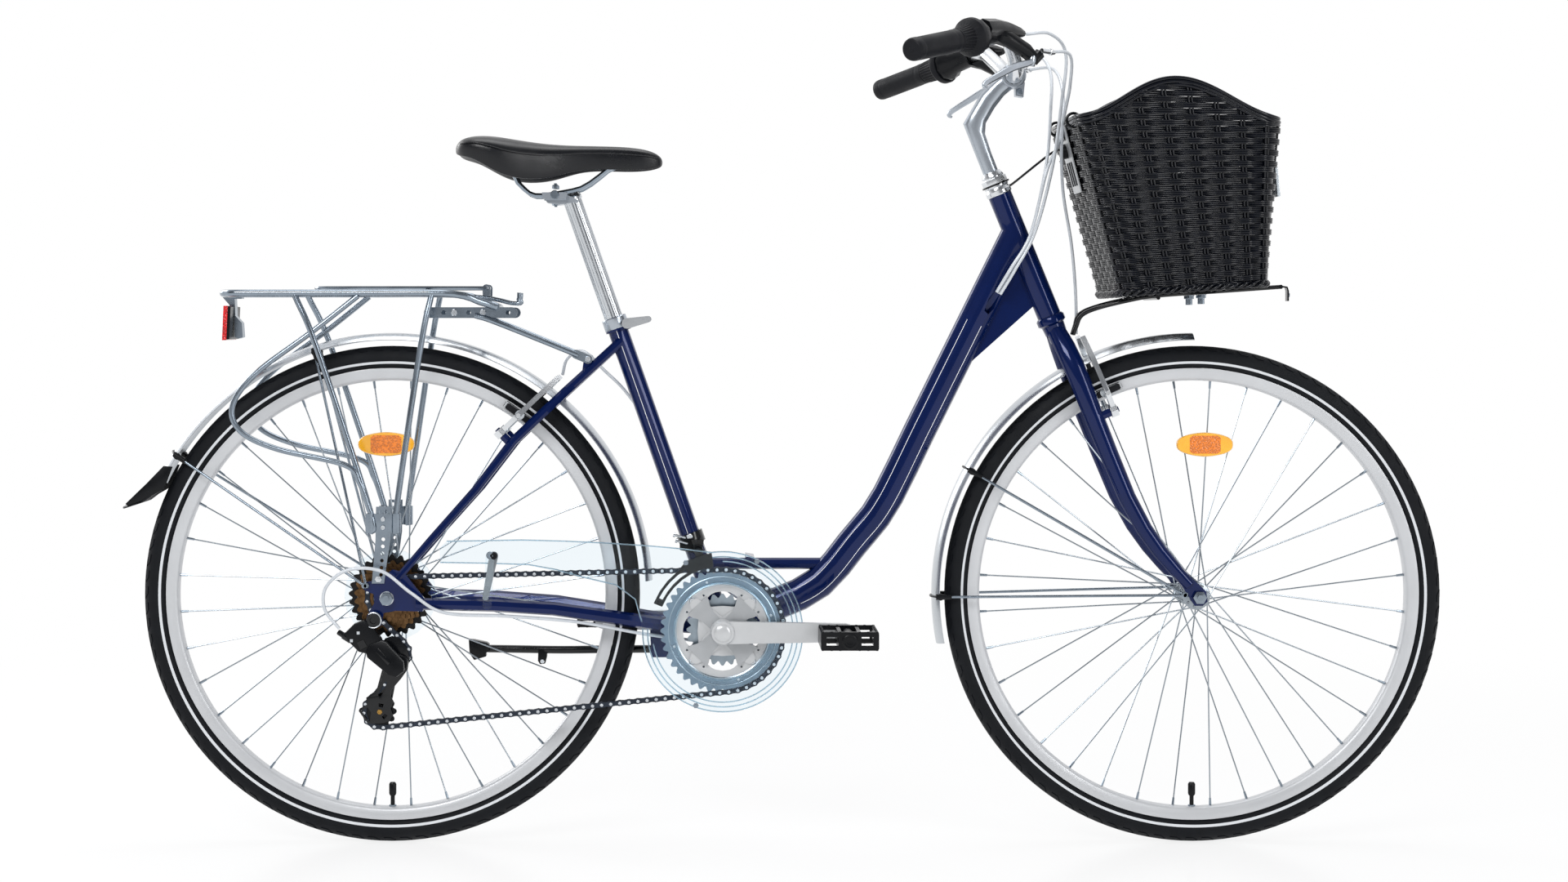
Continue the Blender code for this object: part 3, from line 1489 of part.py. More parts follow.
def grips():
    bore = bore_for(BAR_RADIUS, 14)
    for side, word in ((LEFT, "left"), (RIGHT, "right")):
        profile = [
            (0, -0.004),
            (GRIP_RADIUS - 0.002, -0.004),
            (GRIP_RADIUS, -0.002),
            (GRIP_RADIUS, GRIP_LENGTH),
            (bore, GRIP_LENGTH),
            (bore, -CLEARANCE),
            (0, -CLEARANCE),
        ]
        sleeve = turned(profile, grip_point(0, side), -grip_direction(side), 14)
        named("grip_" + word, sleeve, "black_rubber", steer(0))
        start = GRIP_LENGTH + CLEARANCE
        middle = start + TWIST_LENGTH * 0.62
        end = start + TWIST_LENGTH
        profile = [
            (bore, start),
            (GRIP_RADIUS, start),
            (GRIP_RADIUS + 0.0015, middle),
            (TWIST_FLANGE_RADIUS - 0.002, end - 0.011),
            (TWIST_FLANGE_RADIUS, end - 0.007),
            (TWIST_FLANGE_RADIUS, end),
            (bore, end),
        ]
        twist = turned(profile, grip_point(0, side), -grip_direction(side), 14)
        named("twist_shifter_" + word, twist, "black_rubber", grip_point(middle, side))


LEVER_PIVOT = GRIP_END + Vector((0.1733, -0.1600, 0.0010))
LEVER_TIP = GRIP_END + Vector((0.1013, -0.0570, -0.0410))
LEVER_GRIP_SIDE = Vector((-0.678, 0, 0.735))
LEVER_EYE_RADIUS = 0.0085
LEVER_THICKNESS = 0.0060
BRACKET_SLOT_BACK = 0.0125


def lever_axis(side):
    """The lever's hinge line, about which a positive turn pulls it to the grip."""
    along = sided(LEVER_TIP - LEVER_PIVOT, side)
    return along.cross(LEVER_GRIP_SIDE).normalized()


def controls():
    """The shifter's pod and the brake bracket share one clamp on each side."""
    start = GRIP_LENGTH + TWIST_LENGTH + 2 * CLEARANCE + 0.0002
    for side, word in ((LEFT, "left"), (RIGHT, "right")):
        pivot = sided(LEVER_PIVOT, side)
        hinge = lever_axis(side)
        clamp = turned(
            [
                (0, start),
                (0.0240, start),
                (0.0240, start + 0.008),
                (0.0175, start + 0.018),
                (0.0160, start + 0.052),
                (0, start + 0.052),
            ],
            grip_point(0, side),
            -grip_direction(side),
            10,
        )
        pod_route = [
            grip_point(start + 0.012, side) + Vector((0.006, 0, 0.008)),
            sided(GRIP_END + Vector((0.1293, -0.1480, 0.0415)), side),
            sided(GRIP_END + Vector((0.1523, -0.1700, 0.0410)), side),
            sided(GRIP_END + Vector((0.1653, -0.1820, 0.0400)), side),
        ]
        pod = swept(smooth(pod_route, 5), 0.014, 8, blend([0.0150, 0.0150, 0.0100, 0.0045], 5))
        reach = [
            grip_point(start + 0.038, side),
            grip_point(start + 0.038, side).lerp(pivot, 0.35) + Vector((0.006, 0, 0.005)),
            grip_point(start + 0.038, side).lerp(pivot, 0.75) + Vector((0.006, 0, 0.005)),
            pivot + Vector((0.004, 0, 0.002)),
            pivot + Vector((0.012, -side * 0.004, 0.010)),
        ]
        sizes = [0.0110, 0.0115, 0.0110, 0.0105, 0.0080]
        bracket = swept(smooth(reach, 5), 0.011, 8, blend(sizes, 5))
        body = fused([clamp, pod, bracket])
        hollow = swept(bar_points(), bore_for(BAR_RADIUS, 8), 8)
        half = LEVER_THICKNESS / 2 + CLEARANCE
        away = sided(LEVER_TIP - LEVER_PIVOT, side).normalized()
        across = hinge.cross(away)
        room = [
            pivot - 0.040 * away + BRACKET_SLOT_BACK * across,
            pivot - 0.040 * away - 0.050 * across,
            pivot + 0.080 * away - 0.050 * across,
            pivot + 0.080 * away + BRACKET_SLOT_BACK * across,
        ]
        level = pivot.dot(hinge)
        slot = plate(room, level - half, level + half, hinge)
        cut(body, [hollow, slot])
        pin = rod(pivot - 0.009 * hinge, pivot + 0.009 * hinge, 0.0022, 6)
        named("brake_bracket_" + word, fused([body, pin]), "black_plastic", steer(0), 30)


def brake_levers():
    for side, word in ((LEFT, "left"), (RIGHT, "right")):
        pivot = sided(LEVER_PIVOT, side)
        tip = sided(LEVER_TIP, side)
        hinge = lever_axis(side)
        away = (tip - pivot).normalized()
        across = hinge.cross(away)
        root = []
        for i in range(7):
            t = math.pi / 2 + math.pi * i / 6
            root.append(pivot + LEVER_EYE_RADIUS * (math.cos(t) * away + math.sin(t) * across))
        root += [
            pivot + 0.034 * away - 0.0055 * across,
            pivot + 0.034 * away + 0.0045 * across,
        ]
        hole = circle(pivot, 0.0025, 8, away, across)
        middle = pivot.dot(hinge)
        half = LEVER_THICKNESS / 2
        eye = plate(root, middle - half, middle + half, hinge, [hole])
        blade_route = [
            pivot + 0.026 * away,
            pivot + 0.055 * away - 0.002 * across,
            pivot + 0.095 * away - 0.003 * across,
            tip,
        ]
        blade = swept(smooth(blade_route, 6), 0.0048, 6, blend([0.0042, 0.0050, 0.0050, 0.0042], 6))
        knob = turned(
            [(0, -0.006), (0.0050, -0.003), (0.0050, 0.003), (0, 0.006)], tip, away, 8
        )
        named("brake_lever_" + word, fused([blade, eye, knob]), "silver", pivot, 30)


# Basket




def basket():
    """A tapered box open at the top, its sides rising to a hump halfway along."""
    work = bmesh.new()
    foot, edge = BASKET_REAR_LOW, BASKET_REAR_TOP
    low = (foot.x, foot.x + BASKET_FLOOR_LENGTH, 0.1300, foot.z, foot.z + BASKET_FLOOR_RISE)
    high = (edge.x, edge.x + 0.2650, 0.1500, edge.z, edge.z - 0.0040)
    hump = 0.052
    corner = 0.028

    def ring(rear, front, half, z_rear, z_front, rise):
        places = []
        for sx, sy in ((1, -1), (1, 1), (-1, 1), (-1, -1)):
            x = front if sx > 0 else rear
            for i in range(3):
                turn = math.pi / 4 * i
                a, b = (math.sin(turn), math.cos(turn))
                if sx * sy > 0:
                    a, b = b, a
                px = x - sx * corner * (1 - a)
                py = sy * (half - corner * (1 - b))
                places.append((px, py))
        full = []
        for i, (px, py) in enumerate(places):
            full.append((px, py))
            nx, ny = places[(i + 1) % len(places)]
            if abs(nx - px) > 0.06:
                for share in (0.2, 0.35, 0.5, 0.65, 0.8):
                    full.append((px + (nx - px) * share, py))
        verts = []
        for px, py in full:
            along = (px - rear) / (front - rear)
            z = z_rear + (z_front - z_rear) * along
            lift = 0.0
            if abs(py) > half - corner * 0.5:
                lift = rise * math.sin(math.pi * min(max(along, 0), 1)) ** 2
            verts.append(work.verts.new((px, py, z + lift)))
        return verts

    wall = BASKET_WALL
    outer_low = ring(*low, 0)
    outer_high = ring(*high, hump)
    inner_high = ring(
        high[0] + wall, high[1] - wall, high[2] - wall, high[3], high[4], hump
    )
    inner_low = ring(
        low[0] + wall, low[1] - wall, low[2] - wall, low[3] + wall, low[4] + wall, 0
    )
    rings = [outer_low, outer_high, inner_high, inner_low]
    for here, there in zip(rings, rings[1:]):
        count = len(here)
        for i in range(count):
            j = (i + 1) % count
            work.faces.new((here[i], here[j], there[j], there[i]))
    work.faces.new(outer_low)
    work.faces.new(inner_low)
    named("basket", object_of(work), "black_plastic", steer(0), 30)


def basket_carrier():
    """The bent wire under the basket, its cross plate and its bolts."""
    pieces = []
    r = BASKET_WIRE_RADIUS
    slope = BASKET_FLOOR_RISE / BASKET_FLOOR_LENGTH

    def under(along, y=0.0):
        drop = r + 2 * CLEARANCE
        return BASKET_REAR_LOW + Vector((along, y, along * slope - drop))

    for side in (LEFT, RIGHT):
        y = side * 0.055
        route = [
            steer(0.4010, 0.0205, side * 0.0060),
            ahead(-0.1637, 0.3760, side * 0.0090),
            ahead(-0.1577, 0.3910, side * 0.0160),
            ahead(-0.1397, 0.4030, side * 0.0300),
            under(0.0190, y * 0.85) + Vector((0, 0, -0.0040)),
            under(0.0590, y),
            under(0.1490, y),
            under(0.2350, y),
            under(0.2490, y) + Vector((0, 0, -0.0060)),
            under(0.2510, y) + Vector((0, 0, -0.0220)),
        ]
        pieces.append(swept(smooth(route, 11), r, 6))
    cross = under(0.1040)
    bar = plate(
        [
            cross + Vector((-0.020, 0, 0.000)),
            cross + Vector((0.025, 0, 0.002)),
            cross + Vector((0.025, 0, -0.001)),
            cross + Vector((-0.020, 0, -0.003)),
        ],
        -0.062,
        0.062,
    )
    pieces.append(bar)
    for along in (0.0950, 0.1110):
        bolt = under(along)
        pieces.append(rod(bolt + Vector((0, 0, -0.012)), bolt + Vector((0, 0, -0.001)), 0.004, 6))
    front_tie = under(0.2390)
    pieces.append(
        rod(under(0.2390, -0.058), Vector((front_tie.x, 0.058, front_tie.z)), r, 6)
    )
    pieces.append(rod(steer(0.4010, 0.0205, -0.0100), steer(0.4010, 0.0205, 0.0100), 0.0045, 6))
    named("basket_carrier", fused(pieces), "black_paint", steer(0), 30)


# Front brake and rear brake


def brake_arm(name, axle, foot, up, out, side, boss_y, pad_up, shade="silver"):
    """An arm on its boss, curved to the top link, with a pad that faces the rim."""
    pivot = foot + side * boss_y * SIDE
    near = pivot
    depth = foot.dot(out)
    across = side * SIDE
    eye = turned(
        [
            (bore_for(BRAKE_BOSS_RADIUS, 8), 0),
            (0.0085, 0),
            (0.0085, ARM_THICKNESS),
            (bore_for(BRAKE_BOSS_RADIUS, 8), ARM_THICKNESS),
        ],
        pivot,
        out,
        8,
    )
    outline = [
        near + 0.0050 * up + 0.0050 * across,
        near + 0.0300 * up + 0.0105 * across,
        near + 0.0800 * up + 0.0035 * across,
        near + 0.1120 * up - 0.0120 * across,
        near + 0.1080 * up - 0.0200 * across,
        near + 0.0760 * up - 0.0070 * across,
        near + 0.0300 * up - 0.0010 * across,
        near + 0.0060 * up - 0.0040 * across,
    ]
    arm = plate(outline, depth + 0.002, depth + ARM_THICKNESS - 0.001, out)
    rim_face = RIM_WIDTH / 2 + 0.0016
    pad_centre = foot + pad_up * up + 0.5 * ARM_THICKNESS * out
    radial = (pad_centre - axle).normalized()
    pad_centre = axle + (RIM_RADIUS - 0.0072) * radial
    along = radial.cross(SIDE)
    post = rod(
        pad_centre + side * (rim_face + 0.006) * SIDE,
        pad_centre + side * (boss_y + 0.013) * SIDE,
        0.0035,
        6,
    )
    half_length, half_height = 0.026, 0.0048
    pad_outline = [
        pad_centre + half_length * along - half_height * radial,
        pad_centre + half_length * along + half_height * radial,
        pad_centre - half_length * along + half_height * radial,
        pad_centre - half_length * along - half_height * radial,
    ]
    pad = plate(pad_outline, side * rim_face, side * (rim_face + 0.009))
    return named(name, fused([arm, eye, post, pad]), shade, pivot, 30)


def brakes():
    rear_foot = REAR_BOSS_FOOT + REAR_ARM_OFFSET * REAR_BOSS_OUT
    front_foot = steer(FRONT_BOSS_UP, FRONT_ARM_OFFSET)
    for side, word in ((LEFT, "left"), (RIGHT, "right")):
        brake_arm(
            "rear_brake_arm_" + word,
            REAR_AXLE,
            rear_foot,
            REAR_ARM_UP,
            REAR_BOSS_OUT,
            side,
            REAR_BOSS_Y,
            0.036,
        )
        brake_arm(
            "front_brake_arm_" + word,
            FRONT_AXLE,
            front_foot,
            STEER_UP,
            STEER_FORWARD,
            side,
            FRONT_BOSS_Y,
            0.028,
        )


# Seat


def seatpost():
    foot = SEAT_TUBE_TOP - SEATPOST_INSERTION * SEAT_UP
    top = SEAT_TUBE_TOP + 0.160 * SEAT_UP
    post = rod(foot, top, SEATPOST_RADIUS, 12)
    head = plate(
        [
            top + Vector((0.012, 0, -0.010)),
            top + Vector((0.008, 0, 0.016)),
            top + Vector((-0.044, 0, 0.0085)),
            top + Vector((-0.046, 0, 0.0045)),
            top + Vector((-0.024, 0, -0.012)),
            top + Vector((-0.010, 0, -0.014)),
        ],
        -0.016,
        0.016,
    )
    cradle = plate(
        [
            top + Vector((-0.004, 0, 0.0260)),
            top + Vector((-0.040, 0, 0.0215)),
            top + Vector((-0.034, 0, 0.0330)),
            top + Vector((-0.012, 0, 0.0355)),
        ],
        -0.026,
        0.026,
    )
    bolt = rod(top + Vector((-0.024, 0, -0.018)), top + Vector((-0.024, 0, 0.040)), 0.004, 6)
    body = fused([post, head, cradle, bolt])
    cut(body, [swept(rail_points(side), RAIL_RADIUS + 1.5 * CLEARANCE, 6) for side in (LEFT, RIGHT)])
    named("seatpost", body, "silver", SEAT_TUBE_TOP, 30)


def rail_points(side):
    route = [
        over_seat(-0.1501, 0.2336, side * 0.0260),
        over_seat(-0.1380, 0.1966, side * 0.0240),
        over_seat(-0.1242, 0.1804, side * RAIL_HALF_GAP),
        over_seat(-0.1124, 0.1731, side * RAIL_HALF_GAP),
        over_seat(-0.0966, 0.1726, side * RAIL_HALF_GAP),
        over_seat(-0.0611, 0.1784, side * RAIL_HALF_GAP),
        over_seat(-0.0414, 0.1843, side * RAIL_HALF_GAP),
        over_seat(-0.0217, 0.1981, side * RAIL_HALF_GAP * 0.85),
        over_seat(-0.0040, 0.2116, side * RAIL_HALF_GAP * 0.7),
        over_seat(0.0129, 0.2158, side * RAIL_HALF_GAP * 0.55),
    ]
    return smooth(route, 15)


def saddle_and_rails():
    """Stations from the seat tube's top, each with its height, half width, skirt and underside."""
    stations = [
        (-0.2176, 0.2436, 0.052, 0.2291, 0.2336),
        (-0.2111, 0.2526, 0.066, 0.2276, 0.2356),
        (-0.1931, 0.2561, 0.078, 0.2236, 0.2376),
        (-0.1681, 0.2551, 0.080, 0.2056, 0.2376),
        (-0.1431, 0.2516, 0.074, 0.1946, 0.2346),
        (-0.1131, 0.2471, 0.060, 0.1916, 0.2296),
        (-0.0831, 0.2441, 0.046, 0.1946, 0.2256),
        (-0.0511, 0.2431, 0.036, 0.2066, 0.2226),
        (-0.0181, 0.2426, 0.030, 0.2086, 0.2216),
        (0.0169, 0.2416, 0.027, 0.2056, 0.2196),
        (0.0449, 0.2376, 0.024, 0.2066, 0.2196),
        (0.0629, 0.2306, 0.018, 0.2116, 0.2176),
        (0.0704, 0.2216, 0.010, 0.2156, 0.2176),
    ]
    work = bmesh.new()
    rings = []
    for x, top, half, skirt, under in stations:
        half *= SADDLE_HALF_WIDTH / 0.080
        x += SEAT_TUBE_TOP.x
        top += SEAT_TUBE_TOP.z
        skirt += SEAT_TUBE_TOP.z
        under += SEAT_TUBE_TOP.z
        rise = top - skirt
        low = min(under, top - 0.016) if rise > 0.02 else skirt
        profile = [
            (0.0, low),
            (0.62 * half, low),
            (0.86 * half, skirt),
            (0.95 * half, skirt + 0.25 * rise),
            (1.00 * half, skirt + 0.60 * rise),
            (0.84 * half, skirt + 0.88 * rise),
            (0.45 * half, top - 0.02 * rise),
            (0.0, top),
        ]
        ring = [(y, z) for y, z in profile] + [(-y, z) for y, z in reversed(profile[1:-1])]
        rings.append([work.verts.new((x, y, z)) for y, z in ring])
    count = len(rings[0])
    for here, there in zip(rings, rings[1:]):
        for i in range(count):
            j = (i + 1) % count
            work.faces.new((here[i], here[j], there[j], there[i]))
    work.faces.new(rings[0])
    work.faces.new(rings[-1])
    cushion = object_of(work)
    clearers = [
        swept(rail_points(side), RAIL_RADIUS + 1.5 * CLEARANCE, 6) for side in (LEFT, RIGHT)
    ]
    cut(cushion, clearers)
    named("saddle", cushion, "black_rubber", SEAT_TUBE_TOP, 60)

    rails = [swept(rail_points(side), RAIL_RADIUS, 6) for side in (LEFT, RIGHT)]
    tie = rail_points(LEFT)[-1]
    pieces = rails + [rod(tie, sided(tie, RIGHT), RAIL_RADIUS * 0.9, 6)]
    named("saddle_rails", fused(pieces), "steel", SEAT_TUBE_TOP, 30)


def seat_lever():
    """The quick release lever on the right end of the collar's bolt."""
    pivot = SEAT_TUBE_TOP + SEAT_CLAMP_BOLT + Vector((0, -0.0182 - CLEARANCE, 0))
    eye = plate(
        capsule(pivot, pivot + Vector((0.030, 0, 0.006)), 0.0075, 0.0045, 5),
        pivot.y,
        pivot.y - 0.0065,
    )
    named("seat_clamp_lever", eye, "black_plastic", pivot)


# Rack


def seatstay_side(x):
    points = seatstay_points(LEFT)
    for here, there in zip(points, points[1:]):
        if there.x <= x <= here.x:
            share = (x - here.x) / (there.x - here.x)
            return here.y + (there.y - here.y) * share
    return points[-1].y


RACK_LUG = behind(0.2766, 0.3302)
RACK_LUG_THICKNESS = 0.003
RACK_CLIP_HINGE = spot(
    -0.4150, RACK_RAIL_HEIGHT + RACK_WIRE_RADIUS * 0.8 + RACK_CLIP_RADIUS + CLEARANCE
)


def rack():
    """Side rails joined at the back, two pierced strips in front, stays, struts and bag loops."""
    r = RACK_WIRE_RADIUS
    rail_z = RACK_RAIL_HEIGHT
    pieces = []
    rear_x, front_x = -0.7830, -0.4000
    half = RACK_HALF_WIDTH
    route = [
        spot(front_x, rail_z - 0.0195, half * 0.62),
        spot(front_x - 0.020, rail_z - 0.0125, half * 0.80),
        spot(front_x - 0.062, rail_z - 0.001, half),
        spot(rear_x + 0.200, rail_z, half),
        spot(rear_x + 0.040, rail_z, half),
        spot(rear_x + 0.010, rail_z, half * 0.82),
        spot(rear_x, rail_z, half * 0.45),
        spot(rear_x, rail_z, 0),
    ]
    left = smooth(route, 10)
    rail = left + [sided(p, RIGHT) for p in reversed(left[:-1])]
    pieces.append(swept(rail, r, 6))
    pieces.append(rod(left[0], sided(left[0], RIGHT), r, 6))
    for x in (-0.7100, -0.4950):
        pieces.append(rod(spot(x, rail_z, half), spot(x, rail_z, -half), r * 0.8, 5))
    outer = REAR_SPACING / 2 + DROPOUT_THICKNESS
    foot_y = outer + CLEARANCE
    strip_z = rail_z - 0.0270
    strip_y = half * 0.62 - 0.006
    lug_y = seatstay_side(RACK_LUG.x) + RACK_LUG_THICKNESS / 2 + CLEARANCE
    for side in (LEFT, RIGHT):
        hook = [
            spot(rear_x, rail_z, side * 0.020),
            spot(front_x - 0.060, rail_z - 0.003, side * 0.020),
            spot(front_x + 0.023, rail_z - 0.0140, side * 0.020),
            spot(front_x + 0.0300, rail_z - 0.0080, side * 0.020),
            spot(front_x + 0.0310, rail_z + 0.0010, side * 0.020),
        ]
        pieces.append(swept(hook, r * 0.6, 6))
        ear_foot = spot(RACK_CLIP_HINGE.x, rail_z - 0.0090)
        ear_hole = circle(RACK_CLIP_HINGE, bore_for(RACK_CLIP_RADIUS, 6), 6)
        ear = capsule(ear_foot, RACK_CLIP_HINGE, 0.0050, 0.0055, 3)
        pieces.append(plate(ear, side * 0.0185, side * 0.0215, holes=[ear_hole]))
        strip = capsule(spot(-0.4940, strip_z), spot(-0.3780, strip_z), 0.0075, 0.0075, 3)
        eyes = [circle(spot(x, strip_z), 0.0034, 5) for x in (-0.4590, -0.3840)]
        pieces.append(plate(strip, side * strip_y, side * (strip_y + 0.0020), holes=eyes))
        strut = [
            spot(-0.4300, strip_z - 0.0040, side * (strip_y + 0.0055)),
            spot(-0.3990, strip_z - 0.0140, side * (strip_y + 0.0050)),
            behind(0.2628, 0.3360, side * (lug_y + 0.0015)),
        ]
        pieces.append(swept(strut, 0.0040, 6))
        tab = capsule(behind(0.2598, 0.3372), RACK_LUG, 0.0062, 0.0062, 3)
        pieces.append(plate(tab, side * lug_y, side * (lug_y + 0.0025)))
        head = RACK_LUG + side * (lug_y + 0.0010) * SIDE
        pieces.append(rod(head, head + side * 0.0040 * SIDE, 0.0038, 6))
        for top_x, mid_x in ((-0.6780, -0.5640), (-0.4880, -0.5560)):
            route = [
                spot(top_x, rail_z - 0.002, side * (half + 0.001)),
                spot(top_x + (mid_x - top_x) * 0.25, rail_z - 0.075, side * (half + 0.010)),
                spot(mid_x, 0.4600, side * (foot_y + 0.004)),
            ]
            pieces.append(swept(smooth(route, 4), r * 0.85, 6))
        strip = plate(
            [
                behind(-0.0292, 0.1270),
                behind(0.0008, 0.1270),
                behind(-0.0032, 0.0510),
                spot(-0.5570, 0.3600 + 0.010),
                spot(-0.5700, 0.3600 + 0.010),
                behind(-0.0252, 0.0510),
            ],
            side * foot_y,
            side * (foot_y + 0.0022),
        )
        pieces.append(strip)
        loop = [
            spot(-0.5900, rail_z - 0.004, side * (half + 0.002)),
            behind(-0.1012, 0.3710, side * (half + 0.006)),
            behind(-0.1812, 0.3110, side * (half + 0.010)),
            behind(-0.2132, 0.2660, side * (half + 0.012)),
            behind(-0.2012, 0.2310, side * (half + 0.014)),
            behind(-0.1512, 0.2070, side * (half + 0.015)),
            behind(-0.0572, 0.1850, side * (half + 0.016)),
            behind(-0.0412, 0.1610, side * (half + 0.017)),
        ]
        pieces.append(swept(smooth(loop, 8), r * 0.8, 6))
    named("rear_rack", fused(pieces), "steel", None, 30)


def rack_clip():
    """The sprung hoop on top of the rack, hinged at its front end."""
    z = RACK_CLIP_HINGE.z
    hinge_x = RACK_CLIP_HINGE.x
    path = [
        spot(hinge_x, z, 0.030),
        spot(hinge_x - 0.060, z, 0.034),
        spot(hinge_x - 0.200, z, 0.034),
        spot(hinge_x - 0.235, z, 0.022),
        spot(hinge_x - 0.240, z, 0.0),
    ]
    left = smooth(path, 8)
    loop = left + [sided(p, RIGHT) for p in reversed(left[:-1])]
    wire = RACK_CLIP_RADIUS
    pieces = [swept(loop, wire, 6), rod(left[0], sided(left[0], RIGHT), wire - CLEARANCE, 6)]
    named("rack_spring_clip", fused(pieces), "steel", RACK_CLIP_HINGE, 30)


def rear_reflector():
    """The red reflector and its bracket below the rack's rear end."""
    z_top, z_low = RACK_RAIL_HEIGHT - 0.0175, RACK_RAIL_HEIGHT - 0.0655
    body = plate(
        [
            spot(-0.7790, z_top),
            spot(-0.7660, z_top),
            spot(-0.7680, z_low),
            spot(-0.7810, z_low),
        ],
        -0.040,
        0.040,
    )
    bracket = plate(
        [
            spot(-0.7780, z_top - 0.010),
            spot(-0.7870, RACK_RAIL_HEIGHT - RACK_WIRE_RADIUS - CLEARANCE),
            spot(-0.7790, RACK_RAIL_HEIGHT - RACK_WIRE_RADIUS - CLEARANCE),
            spot(-0.7700, z_top - 0.010),
        ],
        -0.010,
        0.010,
    )
    named("rear_reflector", fused([body, bracket]), "red")


# Derailleurs


def front_derailleur():
    """A band on the seat tube with a sleeve, and the cage that slides in it."""
    band_z = 0.4267
    centre = BB + (band_z - BB.z) / SEAT_UP.z * SEAT_UP
    bore = bore_for(SEAT_TUBE_RADIUS, 12)
    band = turned(
        [(bore, -0.008), (0.0185, -0.008), (0.0185, 0.008), (bore, 0.008)],
        centre,
        SEAT_UP,
        12,
    )
    rod_centre = spot(-0.1180, 0.4125)
    inner_end = -0.0158
    outer_end = -0.0345
    sleeve = rod(rod_centre + inner_end * SIDE, rod_centre + outer_end * SIDE, 0.0075, 8)
    neck = plate(
        [
            rod_centre + Vector((-0.010, 0, 0.014)),
            rod_centre + Vector((0.008, 0, 0.014)),
            rod_centre + Vector((0.006, 0, 0.002)),
            rod_centre + Vector((-0.006, 0, 0.002)),
        ],
        -0.0160,
        -0.0280,
    )
    body = fused([band, sleeve, neck])
    hollow = rod(
        rod_centre + (inner_end - 0.002) * SIDE,
        rod_centre + (outer_end - 0.002) * SIDE,
        bore_for(0.0030, 8),
        8,
    )
    cut(body, [hollow])
    named("front_derailleur_clamp", body, "black_paint", None, 30)

    low, high = 0.0905, 0.1040
    outline = []
    degrees = [158, 148, 138, 128, 118, 108, 98]
    outline += [on_wheel(BB, low, d) for d in degrees]
    outline += [on_wheel(BB, high + (0.006 if d < 120 else 0), d) for d in reversed(degrees)]
    thick = 0.0012
    outer = plate(outline, OUTER_RING_Y - 0.0052 - thick, OUTER_RING_Y - 0.0052)
    inner = plate(outline, OUTER_RING_Y + 0.0052, OUTER_RING_Y + 0.0052 + thick)
    tab_foot = on_wheel(BB, 0.100, 107)
    tab = plate(
        capsule(tab_foot, rod_centre, 0.006, 0.005, 4),
        OUTER_RING_Y + 0.0052,
        OUTER_RING_Y + 0.0052 + thick,
    )
    pieces = [inner, outer, tab]
    for radius, turn in ((0.0975, 156), (0.1070, 101)):
        place = on_wheel(BB, radius, turn)
        pieces.append(
            rod(
                place + (OUTER_RING_Y - 0.0056) * SIDE,
                place + (OUTER_RING_Y + 0.0056) * SIDE,
                0.0020,
                6,
            )
        )
    pieces.append(
        rod(
            rod_centre + (OUTER_RING_Y + 0.0056) * SIDE,
            rod_centre + (OUTER_RING_Y + 0.0248) * SIDE,
            0.0030,
            8,
        )
    )
    named("front_derailleur_cage", fused(pieces), "black_paint", rod_centre, 30)


EAR_INNER = 0.0103
EAR_OUTER = 0.0128


def link_outline(top, bottom, radius):
    """The side outline of a link as seen along its pivots."""
    along = (bottom - top).normalized()
    across = along.cross(LINK_AXIS).normalized()
    points = []
    for centre, first in ((bottom, -math.pi / 2), (top, math.pi / 2)):
        for i in range(6):
            t = first + math.pi * i / 5
            points.append(centre + radius * (math.cos(t) * along + math.sin(t) * across))
    return points


